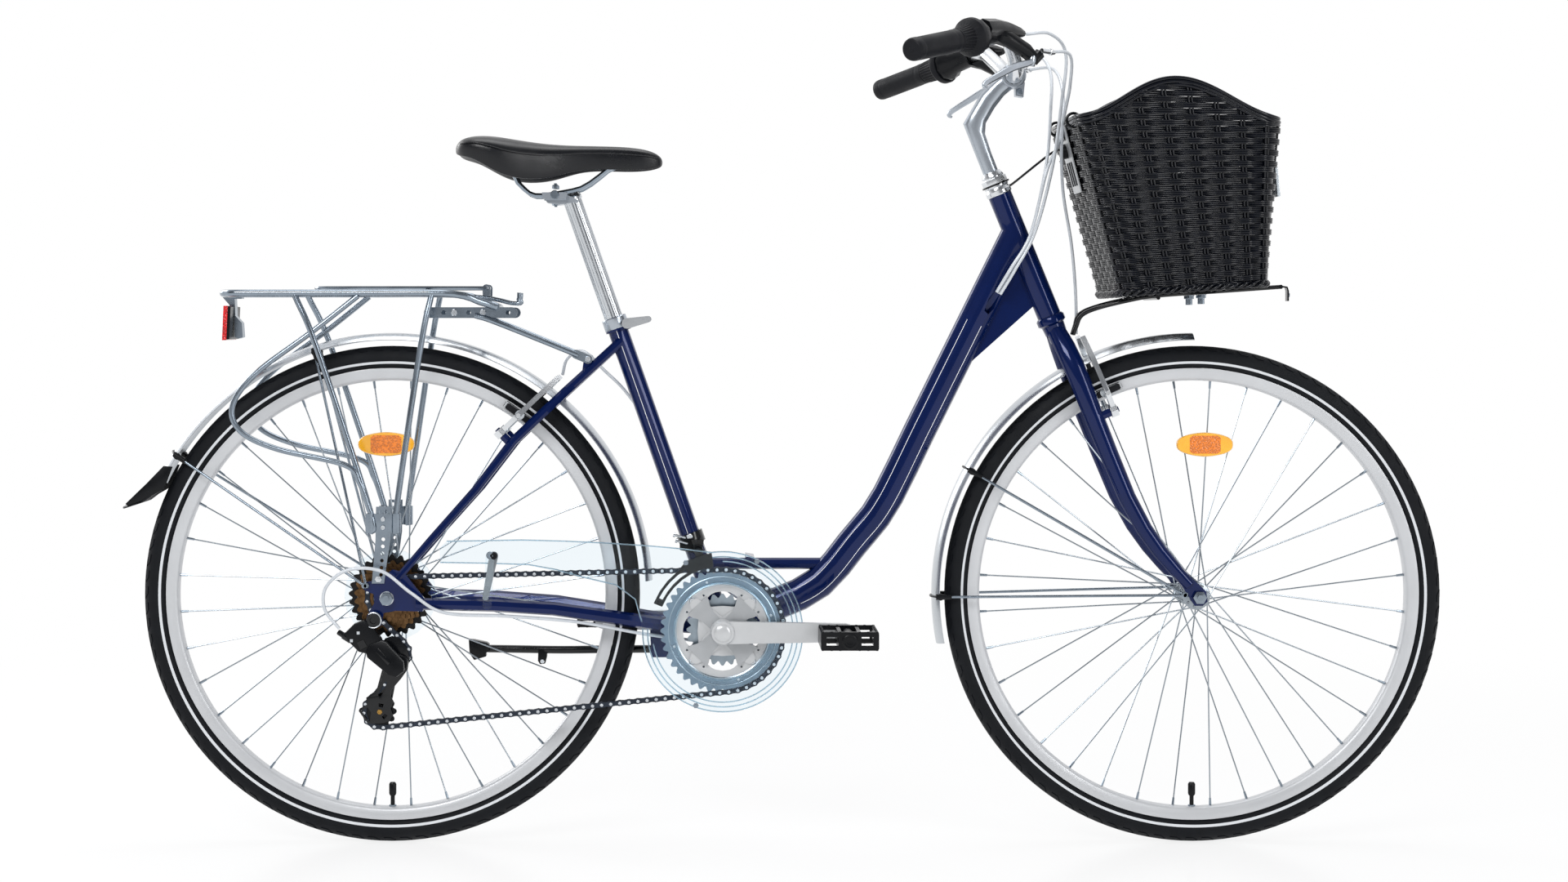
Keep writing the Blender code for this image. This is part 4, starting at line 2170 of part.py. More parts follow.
def rear_derailleur():
    """The knuckle on the hanger, the link that swings it in, and the sprung cage."""
    hanger_face = -(REAR_SPACING / 2 + DROPOUT_THICKNESS + CLEARANCE)
    level = LINK_TOP.dot(LINK_AXIS)
    bolt = turned(
        [(0, 0), (0.0095, 0), (0.0095, 0.0120), (0.0075, 0.0140), (0, 0.0140)],
        HANGER + hanger_face * SIDE,
        -SIDE,
        10,
    )
    ear_outline = [
        LINK_TOP + 0.0055 * LINK_ALONG - 0.0045 * SIDE,
        LINK_TOP + 0.0055 * LINK_ALONG + 0.0035 * SIDE,
        LINK_TOP - 0.0130 * LINK_ALONG + 0.0050 * SIDE,
        LINK_TOP - 0.0130 * LINK_ALONG - 0.0090 * SIDE,
        LINK_TOP - 0.0020 * LINK_ALONG - 0.0080 * SIDE,
    ]
    back_outline = [
        LINK_TOP - 0.0072 * LINK_ALONG + 0.0044 * SIDE,
        LINK_TOP - 0.0260 * LINK_ALONG + 0.0050 * SIDE,
        LINK_TOP - 0.0260 * LINK_ALONG - 0.0110 * SIDE,
        LINK_TOP - 0.0072 * LINK_ALONG - 0.0086 * SIDE,
    ]
    upper = plate(ear_outline, level + EAR_INNER, level + EAR_OUTER, LINK_AXIS)
    lower = plate(ear_outline, level - EAR_OUTER, level - EAR_INNER, LINK_AXIS)
    back = plate(back_outline, level - EAR_OUTER, level + EAR_OUTER, LINK_AXIS)
    knuckle = plate(
        [
            HANGER + Vector((-0.0040, 0, 0.0090)),
            HANGER + Vector((0.0080, 0, -0.0040)),
            LINK_TOP - 0.0110 * LINK_ALONG + 0.0100 * LINK_AXIS,
            LINK_TOP - 0.0220 * LINK_ALONG + 0.0090 * LINK_AXIS,
        ],
        -0.0745,
        -0.0860,
    )
    pin = rod(
        LINK_TOP - (EAR_OUTER - 0.001) * LINK_AXIS,
        LINK_TOP + (EAR_OUTER - 0.001) * LINK_AXIS,
        0.0020,
        8,
    )
    barrel_start = LINK_TOP - 0.0240 * LINK_ALONG - 0.0060 * LINK_AXIS - 0.004 * SIDE
    barrel = rod(barrel_start, barrel_start - 0.0200 * LINK_ALONG, 0.0045, 8)
    named(
        "rear_derailleur_knuckle",
        fused([bolt, knuckle, back, upper, lower, pin, barrel]),
        "black_plastic",
        None,
        30,
    )

    half = EAR_INNER - CLEARANCE
    hole_across = LINK_ALONG
    holes = [
        circle(p, 0.0023, 8, hole_across, SIDE) for p in (LINK_TOP, LINK_BOTTOM)
    ]
    link = plate(
        link_outline(LINK_TOP, LINK_BOTTOM, 0.0048), level - half, level + half, LINK_AXIS, holes
    )
    named("rear_derailleur_link", link, "black_plastic", LINK_TOP)

    cage_outer_y = FIRST_COG_Y - CAGE_GAP - CAGE_PLATE
    pivot = KNUCKLE_PIVOT + (cage_outer_y - CLEARANCE) * SIDE
    drum = rod(pivot, pivot - 0.0165 * SIDE, 0.0120, 10)
    low_outline = [
        LINK_BOTTOM - 0.0050 * LINK_ALONG - 0.0040 * SIDE,
        LINK_BOTTOM + 0.0120 * LINK_ALONG - 0.0060 * SIDE,
        LINK_BOTTOM + 0.0120 * LINK_ALONG + 0.0180 * SIDE,
        LINK_BOTTOM + 0.0000 * LINK_ALONG + 0.0180 * SIDE,
    ]
    level_low = LINK_BOTTOM.dot(LINK_AXIS)
    web_outline = [
        LINK_BOTTOM + 0.0068 * LINK_ALONG - 0.0058 * SIDE,
        LINK_BOTTOM + 0.0120 * LINK_ALONG - 0.0060 * SIDE,
        LINK_BOTTOM + 0.0120 * LINK_ALONG + 0.0180 * SIDE,
        LINK_BOTTOM + 0.0068 * LINK_ALONG + 0.0180 * SIDE,
    ]
    pieces = [
        drum,
        plate(low_outline, level_low + EAR_INNER, level_low + EAR_OUTER, LINK_AXIS),
        plate(low_outline, level_low - EAR_OUTER, level_low - EAR_INNER, LINK_AXIS),
        plate(web_outline, level_low - EAR_OUTER, level_low + EAR_OUTER, LINK_AXIS),
        rod(
            LINK_BOTTOM - (EAR_OUTER - 0.001) * LINK_AXIS,
            LINK_BOTTOM + (EAR_OUTER - 0.001) * LINK_AXIS,
            0.0020,
            8,
        ),
        rod(pivot + 0.002 * SIDE, pivot - 0.004 * SIDE, 0.0040, 8),
    ]
    named("rear_derailleur_p_knuckle", fused(pieces), "black_plastic", LINK_BOTTOM, 30)

    flat_guide = spot(GUIDE_PULLEY.x, GUIDE_PULLEY.z)
    flat_tension = spot(TENSION_PULLEY.x, TENSION_PULLEY.z)
    inner_y = FIRST_COG_Y + CAGE_GAP
    bolt_hole = circle(KNUCKLE_PIVOT, 0.0044, 8)
    outer_plate = plate(
        capsule(flat_tension, flat_guide, 0.0130, 0.0095, 6), cage_outer_y, cage_outer_y + CAGE_PLATE
    )
    boss = plate(circle(KNUCKLE_PIVOT, 0.0120, 12), cage_outer_y, cage_outer_y + CAGE_PLATE)
    inner_plate = plate(
        capsule(flat_tension, flat_guide, 0.0130, 0.0095, 6), inner_y, inner_y + CAGE_PLATE
    )
    cage = [outer_plate, boss, inner_plate]
    for centre in (flat_guide, flat_tension):
        cage.append(
            rod(
                centre + (cage_outer_y + 0.0006) * SIDE,
                centre + (inner_y + 0.0006) * SIDE,
                0.0025,
                8,
            )
        )
    body = fused(cage)
    clear = plate(bolt_hole, cage_outer_y - 0.001, cage_outer_y + CAGE_PLATE + 0.001)
    cut(body, [clear])
    named("rear_derailleur_cage", body, "black_paint", KNUCKLE_PIVOT + cage_outer_y * SIDE, 30)

    guide = turned(
        [
            (0.0028, -0.0010),
            (GUIDE_PULLEY_RADIUS, -0.0010),
            (GUIDE_PULLEY_RADIUS, 0.0010),
            (0.0028, 0.0010),
        ],
        GUIDE_PULLEY,
        SIDE,
        11,
    )
    named("guide_pulley", guide, "black_plastic", GUIDE_PULLEY)
    tension = toothed_ring(TENSION_PULLEY, PULLEY_TEETH, FIRST_COG_Y, 0.0028, 3, 8)
    named("tension_pulley", tension, "black_plastic", TENSION_PULLEY)


# Kickstand


def kickstand():
    """The leg folded back beside the tyre, hinged under the chainstays."""
    foot = behind(0.1138, -0.0905, 0.0720)
    bend = behind(0.2388, -0.0850, 0.0420)
    start = spot(KICKSTAND_PIVOT.x, KICKSTAND_PIVOT.z, KICKSTAND_PIVOT.y + 0.0060)
    eye = turned(
        [
            (0.0043, -0.0045),
            (0.0105, -0.0045),
            (0.0105, 0.0085),
            (0.0043, 0.0085),
        ],
        KICKSTAND_PIVOT,
        SIDE,
        12,
    )
    route = [start + Vector((-0.0085, 0, 0)), start.lerp(bend, 0.5), bend, bend.lerp(foot, 0.6), foot]
    leg = swept(smooth(route, 7), 0.0065, 6, blend([0.0060, 0.0070, 0.0070, 0.0065, 0.0065], 7))
    along = (foot - bend).normalized()
    pad = turned(
        [(0, -0.018), (0.0085, -0.016), (0.0100, 0.004), (0.0180, 0.012), (0.0180, 0.018), (0, 0.018)],
        foot,
        along,
        8,
    )
    named("kickstand", fused([eye, leg, pad]), "black_paint", KICKSTAND_PIVOT, 30)


# Cables


def around_seat_tube(up, degrees, radius):
    """A point beside the seat tube, the angle counted from forward to the left."""
    turn = math.radians(degrees)
    forward = Vector((SEAT_UP.z, 0, -SEAT_UP.x))
    return BB + up * SEAT_UP + radius * (math.cos(turn) * forward + math.sin(turn) * SIDE)


def cable(name, start, end, lift, aside):
    """A cable from a control, through the down tube beside two others, to its end."""
    channel = cable_channel()
    middle = []
    for i, place in enumerate(channel):
        along = channel[min(i + 1, len(channel) - 1)] - channel[max(i - 1, 0)]
        normal = along.cross(SIDE).normalized()
        middle.append(place + lift * normal + aside * SIDE)
    head = smooth([*start, middle[0]], 2 * len(start) - 1)
    tail = smooth([middle[-1], *end], len(end) + 4)
    path = head[:-1] + middle + tail[1:]
    named(name, swept(path, CABLE_RADIUS, 6), "cable_white", None, 60)


def cables():
    cable(
        "rear_gear_cable",
        [
            sided(GRIP_END + Vector((0.1693, -0.1855, 0.0400)), RIGHT),
            ahead(-0.2117, 0.7780, -0.0960),
            ahead(-0.1857, 0.7530, -0.0620),
            ahead(-0.1897, 0.6810, -0.0400),
            ahead(-0.2007, 0.5990, -0.0340),
            ahead(-0.2247, 0.5080, -0.0310),
        ],
        [
            BB + Vector((0.0700, 0.0290, 0.0180)),
            BB + Vector((0.0300, 0.0230, -0.0130)),
            BB + Vector((0.0000, 0.0100, -0.0262)),
            BB + Vector((-0.0500, -0.0180, -0.0170)),
            BB + Vector((-0.1150, -0.0350, -0.0060)),
            BB + Vector((-0.2050, -0.0470, 0.0115)),
            BB + Vector((-0.3000, -0.0580, 0.0205)),
            BB + Vector((-0.3850, -0.0740, 0.0270)),
            behind(0.0358, 0.0090, -0.0900),
            behind(-0.0042, 0.0420, -0.0980),
            behind(-0.0562, 0.0350, -0.1000),
            behind(-0.0872, -0.0050, -0.0970),
            LINK_TOP - 0.0458 * LINK_ALONG - 0.0060 * LINK_AXIS - 0.004 * SIDE,
        ],
        0.0030,
        -0.0018,
    )
    cable(
        "rear_brake_cable",
        [
            GRIP_END + Vector((0.1978, -0.1670, 0.0140)),
            ahead(-0.1827, 0.7470, 0.0900),
            ahead(-0.1767, 0.7010, 0.0300),
            ahead(-0.1877, 0.6410, -0.0160),
            ahead(-0.2082, 0.5930, -0.0300),
            ahead(-0.2309, 0.5050, -0.0305),
        ],
        [
            spot(0.0000, 0.3500, 0.0272),
            spot(-0.0600, 0.3660, 0.0268),
            around_seat_tube(0.0950, 100, 0.0225),
            around_seat_tube(0.1900, 95, 0.0225),
            around_seat_tube(0.3000, 105, 0.0215),
            around_seat_tube(0.3550, 140, 0.0240),
            around_seat_tube(0.3950, 176, 0.0370),
            behind(0.2688, 0.3410, 0.0030),
            behind(0.2458, 0.3310, 0.0180),
            REAR_CABLE_END,
        ],
        -0.0030,
        -0.0018,
    )
    cable(
        "front_gear_cable",
        [
            GRIP_END + Vector((0.1693, -0.1855, 0.0400)),
            ahead(-0.2137, 0.7740, 0.0900),
            ahead(-0.1927, 0.7410, 0.0500),
            ahead(-0.1987, 0.6710, 0.0050),
            ahead(-0.2077, 0.6010, -0.0180),
            ahead(-0.2287, 0.5090, -0.0235),
        ],
        [
            spot(0.0000, 0.3330, 0.0345),
            spot(-0.0520, 0.3350, 0.0330),
            around_seat_tube(0.0650, 58, 0.0225),
            around_seat_tube(0.0920, 62, 0.0176),
            around_seat_tube(0.1226, 62, 0.0174),
        ],
        0.0000,
        0.0034,
    )
    front = [
        sided(GRIP_END + Vector((0.1978, -0.1670, 0.0140)), RIGHT),
        ahead(-0.1857, 0.7490, -0.1000),
        ahead(-0.1797, 0.7110, -0.0600),
        ahead(-0.1857, 0.6510, -0.0250),
        ahead(-0.1817, 0.5710, 0.0000),
        ahead(-0.1677, 0.4910, 0.0120),
        ahead(-0.1607, 0.4210, 0.0200),
        FRONT_CABLE_END,
    ]
    pivot = steer(0)
    named("front_brake_cable", swept(smooth(front, 17), CABLE_RADIUS, 6), "cable_white", pivot, 60)


# Assembly

wheels()
axle_rod("rear_axle", REAR_AXLE, REAR_AXLE_RADIUS, REAR_SPACING, 0.045, -(FIRST_COG_Y + 0.0025))
axle_rod("front_axle", FRONT_AXLE, FRONT_AXLE_RADIUS, FRONT_SPACING, 0.045, 0.045)
freewheel()
spoke_protector()
chain()
chainrings()
cranks()
pedals()
frame()
chain_guard()
mudguards()
fork()
headset()
stem()
handlebar()
grips()
controls()
brake_levers()
basket()
basket_carrier()
brakes()
seatpost()
saddle_and_rails()
seat_lever()
rack()
rack_clip()
rear_reflector()
front_derailleur()
rear_derailleur()
kickstand()
cables()
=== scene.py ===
import math

import bmesh
import bpy
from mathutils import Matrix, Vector


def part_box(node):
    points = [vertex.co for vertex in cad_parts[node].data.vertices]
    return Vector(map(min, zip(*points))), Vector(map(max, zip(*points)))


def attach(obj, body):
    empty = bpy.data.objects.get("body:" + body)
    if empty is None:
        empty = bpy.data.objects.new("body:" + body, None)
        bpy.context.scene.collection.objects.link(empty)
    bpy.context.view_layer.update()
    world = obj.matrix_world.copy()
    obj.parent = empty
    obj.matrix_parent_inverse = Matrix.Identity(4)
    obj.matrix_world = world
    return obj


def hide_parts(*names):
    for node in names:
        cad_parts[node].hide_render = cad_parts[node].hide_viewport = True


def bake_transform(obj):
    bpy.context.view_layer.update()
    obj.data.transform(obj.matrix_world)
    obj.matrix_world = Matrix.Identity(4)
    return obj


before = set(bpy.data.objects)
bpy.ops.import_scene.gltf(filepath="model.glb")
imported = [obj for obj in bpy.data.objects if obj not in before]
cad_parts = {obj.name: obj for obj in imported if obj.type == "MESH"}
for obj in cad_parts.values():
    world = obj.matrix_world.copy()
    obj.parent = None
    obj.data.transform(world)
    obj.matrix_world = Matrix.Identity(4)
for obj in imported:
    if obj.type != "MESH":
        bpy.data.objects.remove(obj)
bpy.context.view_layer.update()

FORWARD = Vector((1, 0, 0))
SIDE = Vector((0, 1, 0))
UP = Vector((0, 0, 1))


def spot(x, z, y=0.0):
    return Vector((x, y, z))


# The places of the model, in metres
REAR_AXLE = spot(-0.5488, 0.349)
FRONT_AXLE = spot(0.5777, 0.349)
CRANK_AXLE = spot(-0.08412, 0.3025)
STEER_UP = Vector((-math.cos(math.radians(67.8)), 0, math.sin(math.radians(67.8))))
STEER_FORWARD = Vector((STEER_UP.z, 0, -STEER_UP.x))
STEER_FOOT = FRONT_AXLE - 0.038 * STEER_FORWARD
SEAT_UP = Vector((-math.cos(math.radians(70.6)), 0, math.sin(math.radians(70.6))))
SEAT_TUBE_TOP = CRANK_AXLE + 0.46 * SEAT_UP
GRIP_END = spot(0.1607, 1.085, 0.3)
GRIP_OUTWARD = Vector((-0.633, 0.748, -0.197)).normalized()
BASKET_FLOOR_REAR = spot(0.461, 0.7674)

# Measures that several pieces share, in metres
CRANK_LENGTH = 0.17
PITCH = 0.0127
RING_TEETH = (42, 34, 24)
RING_PLANES = (-0.057, -0.0495, -0.042)
RING_HALF = 0.0009
COG_TEETH = (14, 16, 18, 20, 22, 24, 28)
COG_PLANE = -0.0605
COG_SPACING = 0.005
PULLEY_TEETH = 11
WHEEL_STEPS = 144
RIM_INSIDE = 0.3
GUARD_RADIUS = 0.367
GUARD_HALF_WIDTH = 0.0235
GUARD_ARCH = 0.009
GUARD_ARCH_POWER = 2.3
GUARD_SHEET = 0.0011
SEATSTAY_LUG_Y = 0.029
CABLE_RADIUS = 0.0023


def on_wheel(axle, radius, degrees, y=0.0):
    turn = math.radians(degrees)
    return axle + Vector((radius * math.cos(turn), y, radius * math.sin(turn)))


def ahead(x, z, y=0.0):
    return FRONT_AXLE + Vector((x, y, z))


def behind(x, z, y=0.0):
    return REAR_AXLE + Vector((x, y, z))


GUIDE_PULLEY = behind(0.008, -0.0785)
TENSION_PULLEY = behind(-0.0105, -0.1577)


def sided(point, side):
    """A place on the left side, or the same place on the right."""
    return Vector((point.x, side * point.y, point.z))


def spots(*places):
    return [spot(x, z) for x, z in places]


def bent(value, power):
    """A sine or cosine raised to a power, with its sign kept."""
    return math.copysign(abs(value) ** power, value)


def smooth(route, count):
    """Evenly counted points on a curve through the route's own points."""
    ends = [2 * route[0] - route[1]] + list(route) + [2 * route[-1] - route[-2]]
    spans = len(route) - 1
    points = []
    for i in range(count):
        along = i * spans / (count - 1)
        span = min(int(along), spans - 1)
        t = along - span
        a, b, c, d = ends[span : span + 4]
        cubic = (2 * a - 5 * b + 4 * c - d) * t**2 + (3 * b - 3 * c + d - a) * t**3
        points.append(0.5 * (2 * b + (c - a) * t + cubic))
    return points


# Materials


def linear(code):
    """A colour written as RRGGBB, as the shader takes it."""
    channels = []
    for i in (0, 2, 4):
        c = int(code[i : i + 2], 16) / 255
        channels.append(c / 12.92 if c <= 0.04045 else ((c + 0.055) / 1.055) ** 2.4)
    return (*channels, 1.0)


def scaled(colour, factor):
    return (*(min(1.0, c * factor) for c in colour[:3]), 1.0)


def link(tree, source, target):
    tree.links.new(source, target)


def node(tree, kind, **values):
    made = tree.nodes.new(kind)
    for key, value in values.items():
        if hasattr(made, key):
            setattr(made, key, value)
        else:
            made.inputs[key.replace("_", " ")].default_value = value
    return made


def stops(ramp, low, low_colour, high, high_colour):
    """Sets the two ends of a colour ramp."""
    first, last = ramp.color_ramp.elements
    first.position, last.position = low, high
    first.color, last.color = low_colour, high_colour


def surface(
    name,
    code,
    roughness,
    metallic=0.0,
    spread=0.1,
    rough_spread=0.06,
    scale=60.0,
    bump=0.0,
    bump_scale=900.0,
    **sockets,
):
    """A material with a drifting tone, a drifting roughness and a fine relief."""
    made = bpy.data.materials.new(name)
    made.use_nodes = True
    tree = made.node_tree
    shader = tree.nodes["Principled BSDF"]
    shader.inputs["Metallic"].default_value = metallic
    for key, value in sockets.items():
        shader.inputs[key.replace("_", " ")].default_value = value
    place = node(tree, "ShaderNodeTexCoord")
    mapping = node(tree, "ShaderNodeMapping")
    link(tree, place.outputs["Object"], mapping.inputs["Vector"])
    colour = linear(code)
    tone = node(tree, "ShaderNodeTexNoise", Scale=scale, Detail=4.0)
    link(tree, mapping.outputs["Vector"], tone.inputs["Vector"])
    ramp = node(tree, "ShaderNodeValToRGB")
    stops(ramp, 0.3, scaled(colour, 1 - spread), 0.7, scaled(colour, 1 + spread))
    link(tree, tone.outputs["Fac"], ramp.inputs["Fac"])
    link(tree, ramp.outputs["Color"], shader.inputs["Base Color"])
    wear = node(tree, "ShaderNodeTexNoise", Scale=scale * 0.35, Detail=5.0)
    link(tree, mapping.outputs["Vector"], wear.inputs["Vector"])
    smoothest = max(0.02, roughness - rough_spread)
    span = node(tree, "ShaderNodeMapRange", From_Min=0.3, From_Max=0.7, To_Min=smoothest, To_Max=roughness
                + rough_spread)
    link(tree, wear.outputs["Fac"], span.inputs["Value"])
    link(tree, span.outputs["Result"], shader.inputs["Roughness"])
    if bump:
        grain = node(tree, "ShaderNodeTexNoise", Scale=bump_scale, Detail=3.0)
        link(tree, mapping.outputs["Vector"], grain.inputs["Vector"])
        relief = node(tree, "ShaderNodeBump", Strength=bump, Distance=0.0004)
        link(tree, grain.outputs["Fac"], relief.inputs["Height"])
        link(tree, relief.outputs["Normal"], shader.inputs["Normal"])
    return made


def banded(made, low, high, code):
    """Adds a ring of another colour, between two distances from the piece's own axis along Y."""
    tree = made.node_tree
    shader = tree.nodes["Principled BSDF"]
    place = node(tree, "ShaderNodeTexCoord")
    apart = node(tree, "ShaderNodeSeparateXYZ")
    link(tree, place.outputs["Object"], apart.inputs["Vector"])
    flat = node(tree, "ShaderNodeCombineXYZ")
    link(tree, apart.outputs["X"], flat.inputs["X"])
    link(tree, apart.outputs["Z"], flat.inputs["Z"])
    away = node(tree, "ShaderNodeVectorMath", operation="DISTANCE")
    link(tree, flat.outputs["Vector"], away.inputs[0])
    away.inputs[1].default_value = (0, 0, 0)
    over = node(tree, "ShaderNodeMath", operation="GREATER_THAN")
    over.inputs[1].default_value = low
    under = node(tree, "ShaderNodeMath", operation="LESS_THAN")
    under.inputs[1].default_value = high
    both = node(tree, "ShaderNodeMath", operation="MULTIPLY")
    link(tree, away.outputs["Value"], over.inputs[0])
    link(tree, away.outputs["Value"], under.inputs[0])
    link(tree, over.outputs["Value"], both.inputs[0])
    link(tree, under.outputs["Value"], both.inputs[1])
    mix = node(tree, "ShaderNodeMix", data_type="RGBA")
    old = shader.inputs["Base Color"].links[0].from_socket
    link(tree, both.outputs["Value"], mix.inputs["Factor"])
    link(tree, old, mix.inputs[6])
    mix.inputs[7].default_value = linear(code)
    link(tree, mix.outputs[2], shader.inputs["Base Color"])


def ringed_relief(made, frequency, strength, distance=0.0003):
    """Adds a relief of fine turned rings about the piece's own axis along Y."""
    tree = made.node_tree
    shader = tree.nodes["Principled BSDF"]
    place = node(tree, "ShaderNodeTexCoord")
    mapping = node(tree, "ShaderNodeMapping", Scale=(1, 0, 1))
    link(tree, place.outputs["Object"], mapping.inputs["Vector"])
    wave = node(tree, "ShaderNodeTexWave", wave_type="RINGS", rings_direction="SPHERICAL", Scale=frequency)
    link(tree, mapping.outputs["Vector"], wave.inputs["Vector"])
    relief = node(tree, "ShaderNodeBump", Strength=strength, Distance=distance)
    link(tree, wave.outputs["Fac"], relief.inputs["Height"])
    if shader.inputs["Normal"].links:
        link(tree, shader.inputs["Normal"].links[0].from_socket, relief.inputs["Normal"])
    link(tree, relief.outputs["Normal"], shader.inputs["Normal"])


def prisms(made, size, strength):
    """Adds the small raised prisms of a reflector."""
    tree = made.node_tree
    shader = tree.nodes["Principled BSDF"]
    place = node(tree, "ShaderNodeTexCoord")
    cells = node(tree, "ShaderNodeTexVoronoi", Scale=size)
    link(tree, place.outputs["Object"], cells.inputs["Vector"])
    relief = node(tree, "ShaderNodeBump", Strength=strength, Distance=0.0012)
    link(tree, cells.outputs["Distance"], relief.inputs["Height"])
    link(tree, relief.outputs["Normal"], shader.inputs["Normal"])
    ramp = shader.inputs["Base Color"].links[0].from_node
    link(tree, cells.outputs["Distance"], ramp.inputs["Fac"])
    return made


navy = surface("navy_paint", "05194C", 0.2, 0.25, 0.08, 0.04, 25, bump=0.015, bump_scale=1400,
               Coat_Weight=0.45, Coat_Roughness=0.02, Specular_IOR_Level=0.12)
white_line = surface("white_line", "F2F3F6", 0.35, 0.0, 0.03, 0.05, 40, bump=0.02)
alloy = surface("polished_alloy", "DCDFE2", 0.24, 1.0, 0.05, 0.07, 30, bump=0.03, bump_scale=700)
mirror_alloy = surface("mudguard_alloy", "C6CACE", 0.25, 1.0, 0.05, 0.07, 14, bump=0.02, bump_scale=300)
post_alloy = surface("post_alloy", "CDD1D5", 0.22, 1.0, 0.05, 0.06, 30, bump=0.03, bump_scale=700)
plated = surface("plated_wire", "8F9AA5", 0.24, 1.0, 0.08, 0.1, 50, bump=0.06, bump_scale=900)
stem_alloy = surface("stem_alloy", "B2B9C1", 0.31, 1.0, 0.05, 0.06, 30, bump=0.04, bump_scale=900)
strap_metal = surface("strap_metal", "8E9499", 0.3, 1.0, 0.1, 0.08, 60, bump=0.04)
bronze = surface("bronze_bolt", "B08A4A", 0.28, 1.0, 0.1, 0.08, 60, bump=0.03)
spoke_steel = surface("spoke_steel", "9BA3AA", 0.28, 1.0, 0.08, 0.08, 50, bump=0.02)
rim_alloy = surface("rim_alloy", "C9CBCE", 0.4, 0.35, 0.04, 0.06, 20, bump=0.03, bump_scale=1200)
silver_paint = surface("silver_paint", "C6C8CA", 0.36, 0.35, 0.05, 0.05, 30, bump=0.04, bump_scale=1500,
                       Coat_Weight=0.3, Coat_Roughness=0.2)
ring_steel = surface("ring_steel", "A9B6C0", 0.3, 1.0, 0.1, 0.1, 60, bump=0.04)
chain_steel = surface("chain_steel", "353B45", 0.32, 0.9, 0.22, 0.12, 90, bump=0.06)
pin_steel = surface("pin_steel", "D8DDE2", 0.25, 1.0, 0.1, 0.1, 200, bump=0.03)
cog_steel = surface("cog_steel", "6E5337", 0.36, 0.95, 0.35, 0.12, 160, bump=0.08)
cog_black = surface("cog_black", "1B1A1A", 0.34, 0.6, 0.25, 0.1, 160, bump=0.06)
ring_blue = surface("ring_steel_dark", "8494A2", 0.33, 1.0, 0.1, 0.08, 60, bump=0.04)
spider_grey = surface("spider_grey", "AEB1B4", 0.38, 0.45, 0.06, 0.06, 40, bump=0.05, Coat_Weight=0.2)
moulded = surface("moulded_black", "07090D", 0.3, 0.0, 0.2, 0.08, 80, bump=0.1, bump_scale=1600,
                  Specular_IOR_Level=0.24)
black_paint = surface("black_paint", "05070B", 0.22, 0.0, 0.12, 0.07, 50, bump=0.04, bump_scale=900,
                      Coat_Weight=0.3, Coat_Roughness=0.08, Specular_IOR_Level=0.3)
grip_rubber = surface("grip_rubber", "0A0C12", 0.5, 0.0, 0.15, 0.08, 100, bump=0.25, bump_scale=1800,
                      Specular_IOR_Level=0.22)
vinyl = surface("saddle_vinyl", "0A0C11", 0.3, 0.0, 0.14, 0.08, 60, bump=0.35, bump_scale=1500,
                Specular_IOR_Level=0.4)
cane = surface("black_cane", "040710", 0.2, 0.0, 0.3, 0.06, 90, bump=0.04, bump_scale=1500,
               Specular_IOR_Level=0.38)
cable_skin = surface("cable_skin", "CDD2D8", 0.3, 0.15, 0.05, 0.06, 60, bump=0.03)
tyre_rubber = surface("tyre_rubber", "0B0E13", 0.58, 0.0, 0.15, 0.1, 70, bump=0.18, bump_scale=700,
                      Specular_IOR_Level=0.2)
amber = prisms(surface("amber_lens", "DC7409", 0.16, 0.0, 0.25, 0.04, 60, Coat_Weight=1.0), 420, 0.5)
amber_rim = surface("amber_rim", "F7B01E", 0.18, 0.0, 0.08, 0.04, 60, Coat_Weight=1.0)
red_lens = prisms(surface("red_lens", "C3161A", 0.16, 0.0, 0.35, 0.04, 60, Coat_Weight=1.0), 420, 0.5)
white_lens = prisms(surface("white_lens", "E4EEF6", 0.12, 0.0, 0.06, 0.04, 60, Coat_Weight=1.0), 420, 0.5)
clear = surface("clear_plastic", "F1F8FC", 0.04, 0.0, 0.01, 0.02, 12,
                Transmission_Weight=1.0, IOR=1.22)
clear_edge = surface("clear_plastic_edge", "B4CEDD", 0.08, 0.0, 0.05, 0.02, 12,
                     Transmission_Weight=0.75, IOR=1.3)


# Helpers that make the pieces


def finish_mesh(work, name, material, body, replaces=(), angle=30, origin=None, edge=0.0):
    """Makes a piece that rides on a body, shaded smooth below the angle, its sharp edges eased."""
    bmesh.ops.recalc_face_normals(work, faces=work.faces)
    if edge:
        sharp = [e for e in work.edges if len(e.link_faces) == 2 and e.calc_face_angle(0) > 0.6]
        bmesh.ops.bevel(work, geom=sharp, offset=edge, segments=2, profile=0.6, affect="EDGES",
                        clamp_overlap=True)
    mesh = bpy.data.meshes.new(name)
    if origin is not None:
        bmesh.ops.translate(work, verts=work.verts, vec=-origin)
    work.to_mesh(mesh)
    work.free()
    mesh.shade_smooth()
    mesh.set_sharp_from_angle(angle=math.radians(angle))
    piece = bpy.data.objects.new(name, mesh)
    bpy.context.scene.collection.objects.link(piece)
    if origin is not None:
        piece.location = origin
    mesh.materials.append(material)
    if body:
        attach(piece, body)
    if replaces:
        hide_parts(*replaces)
    return piece


def skin(work, rings, ends=True):
    """Joins each ring of vertices to the next, and closes the first and the last."""
    for one, two in zip(rings, rings[1:]):
        for i in range(len(one)):
            j = (i + 1) % len(one)
            work.faces.new((one[i], one[j], two[j], two[i]))
    if ends:
        work.faces.new(rings[0])
        work.faces.new(rings[-1])


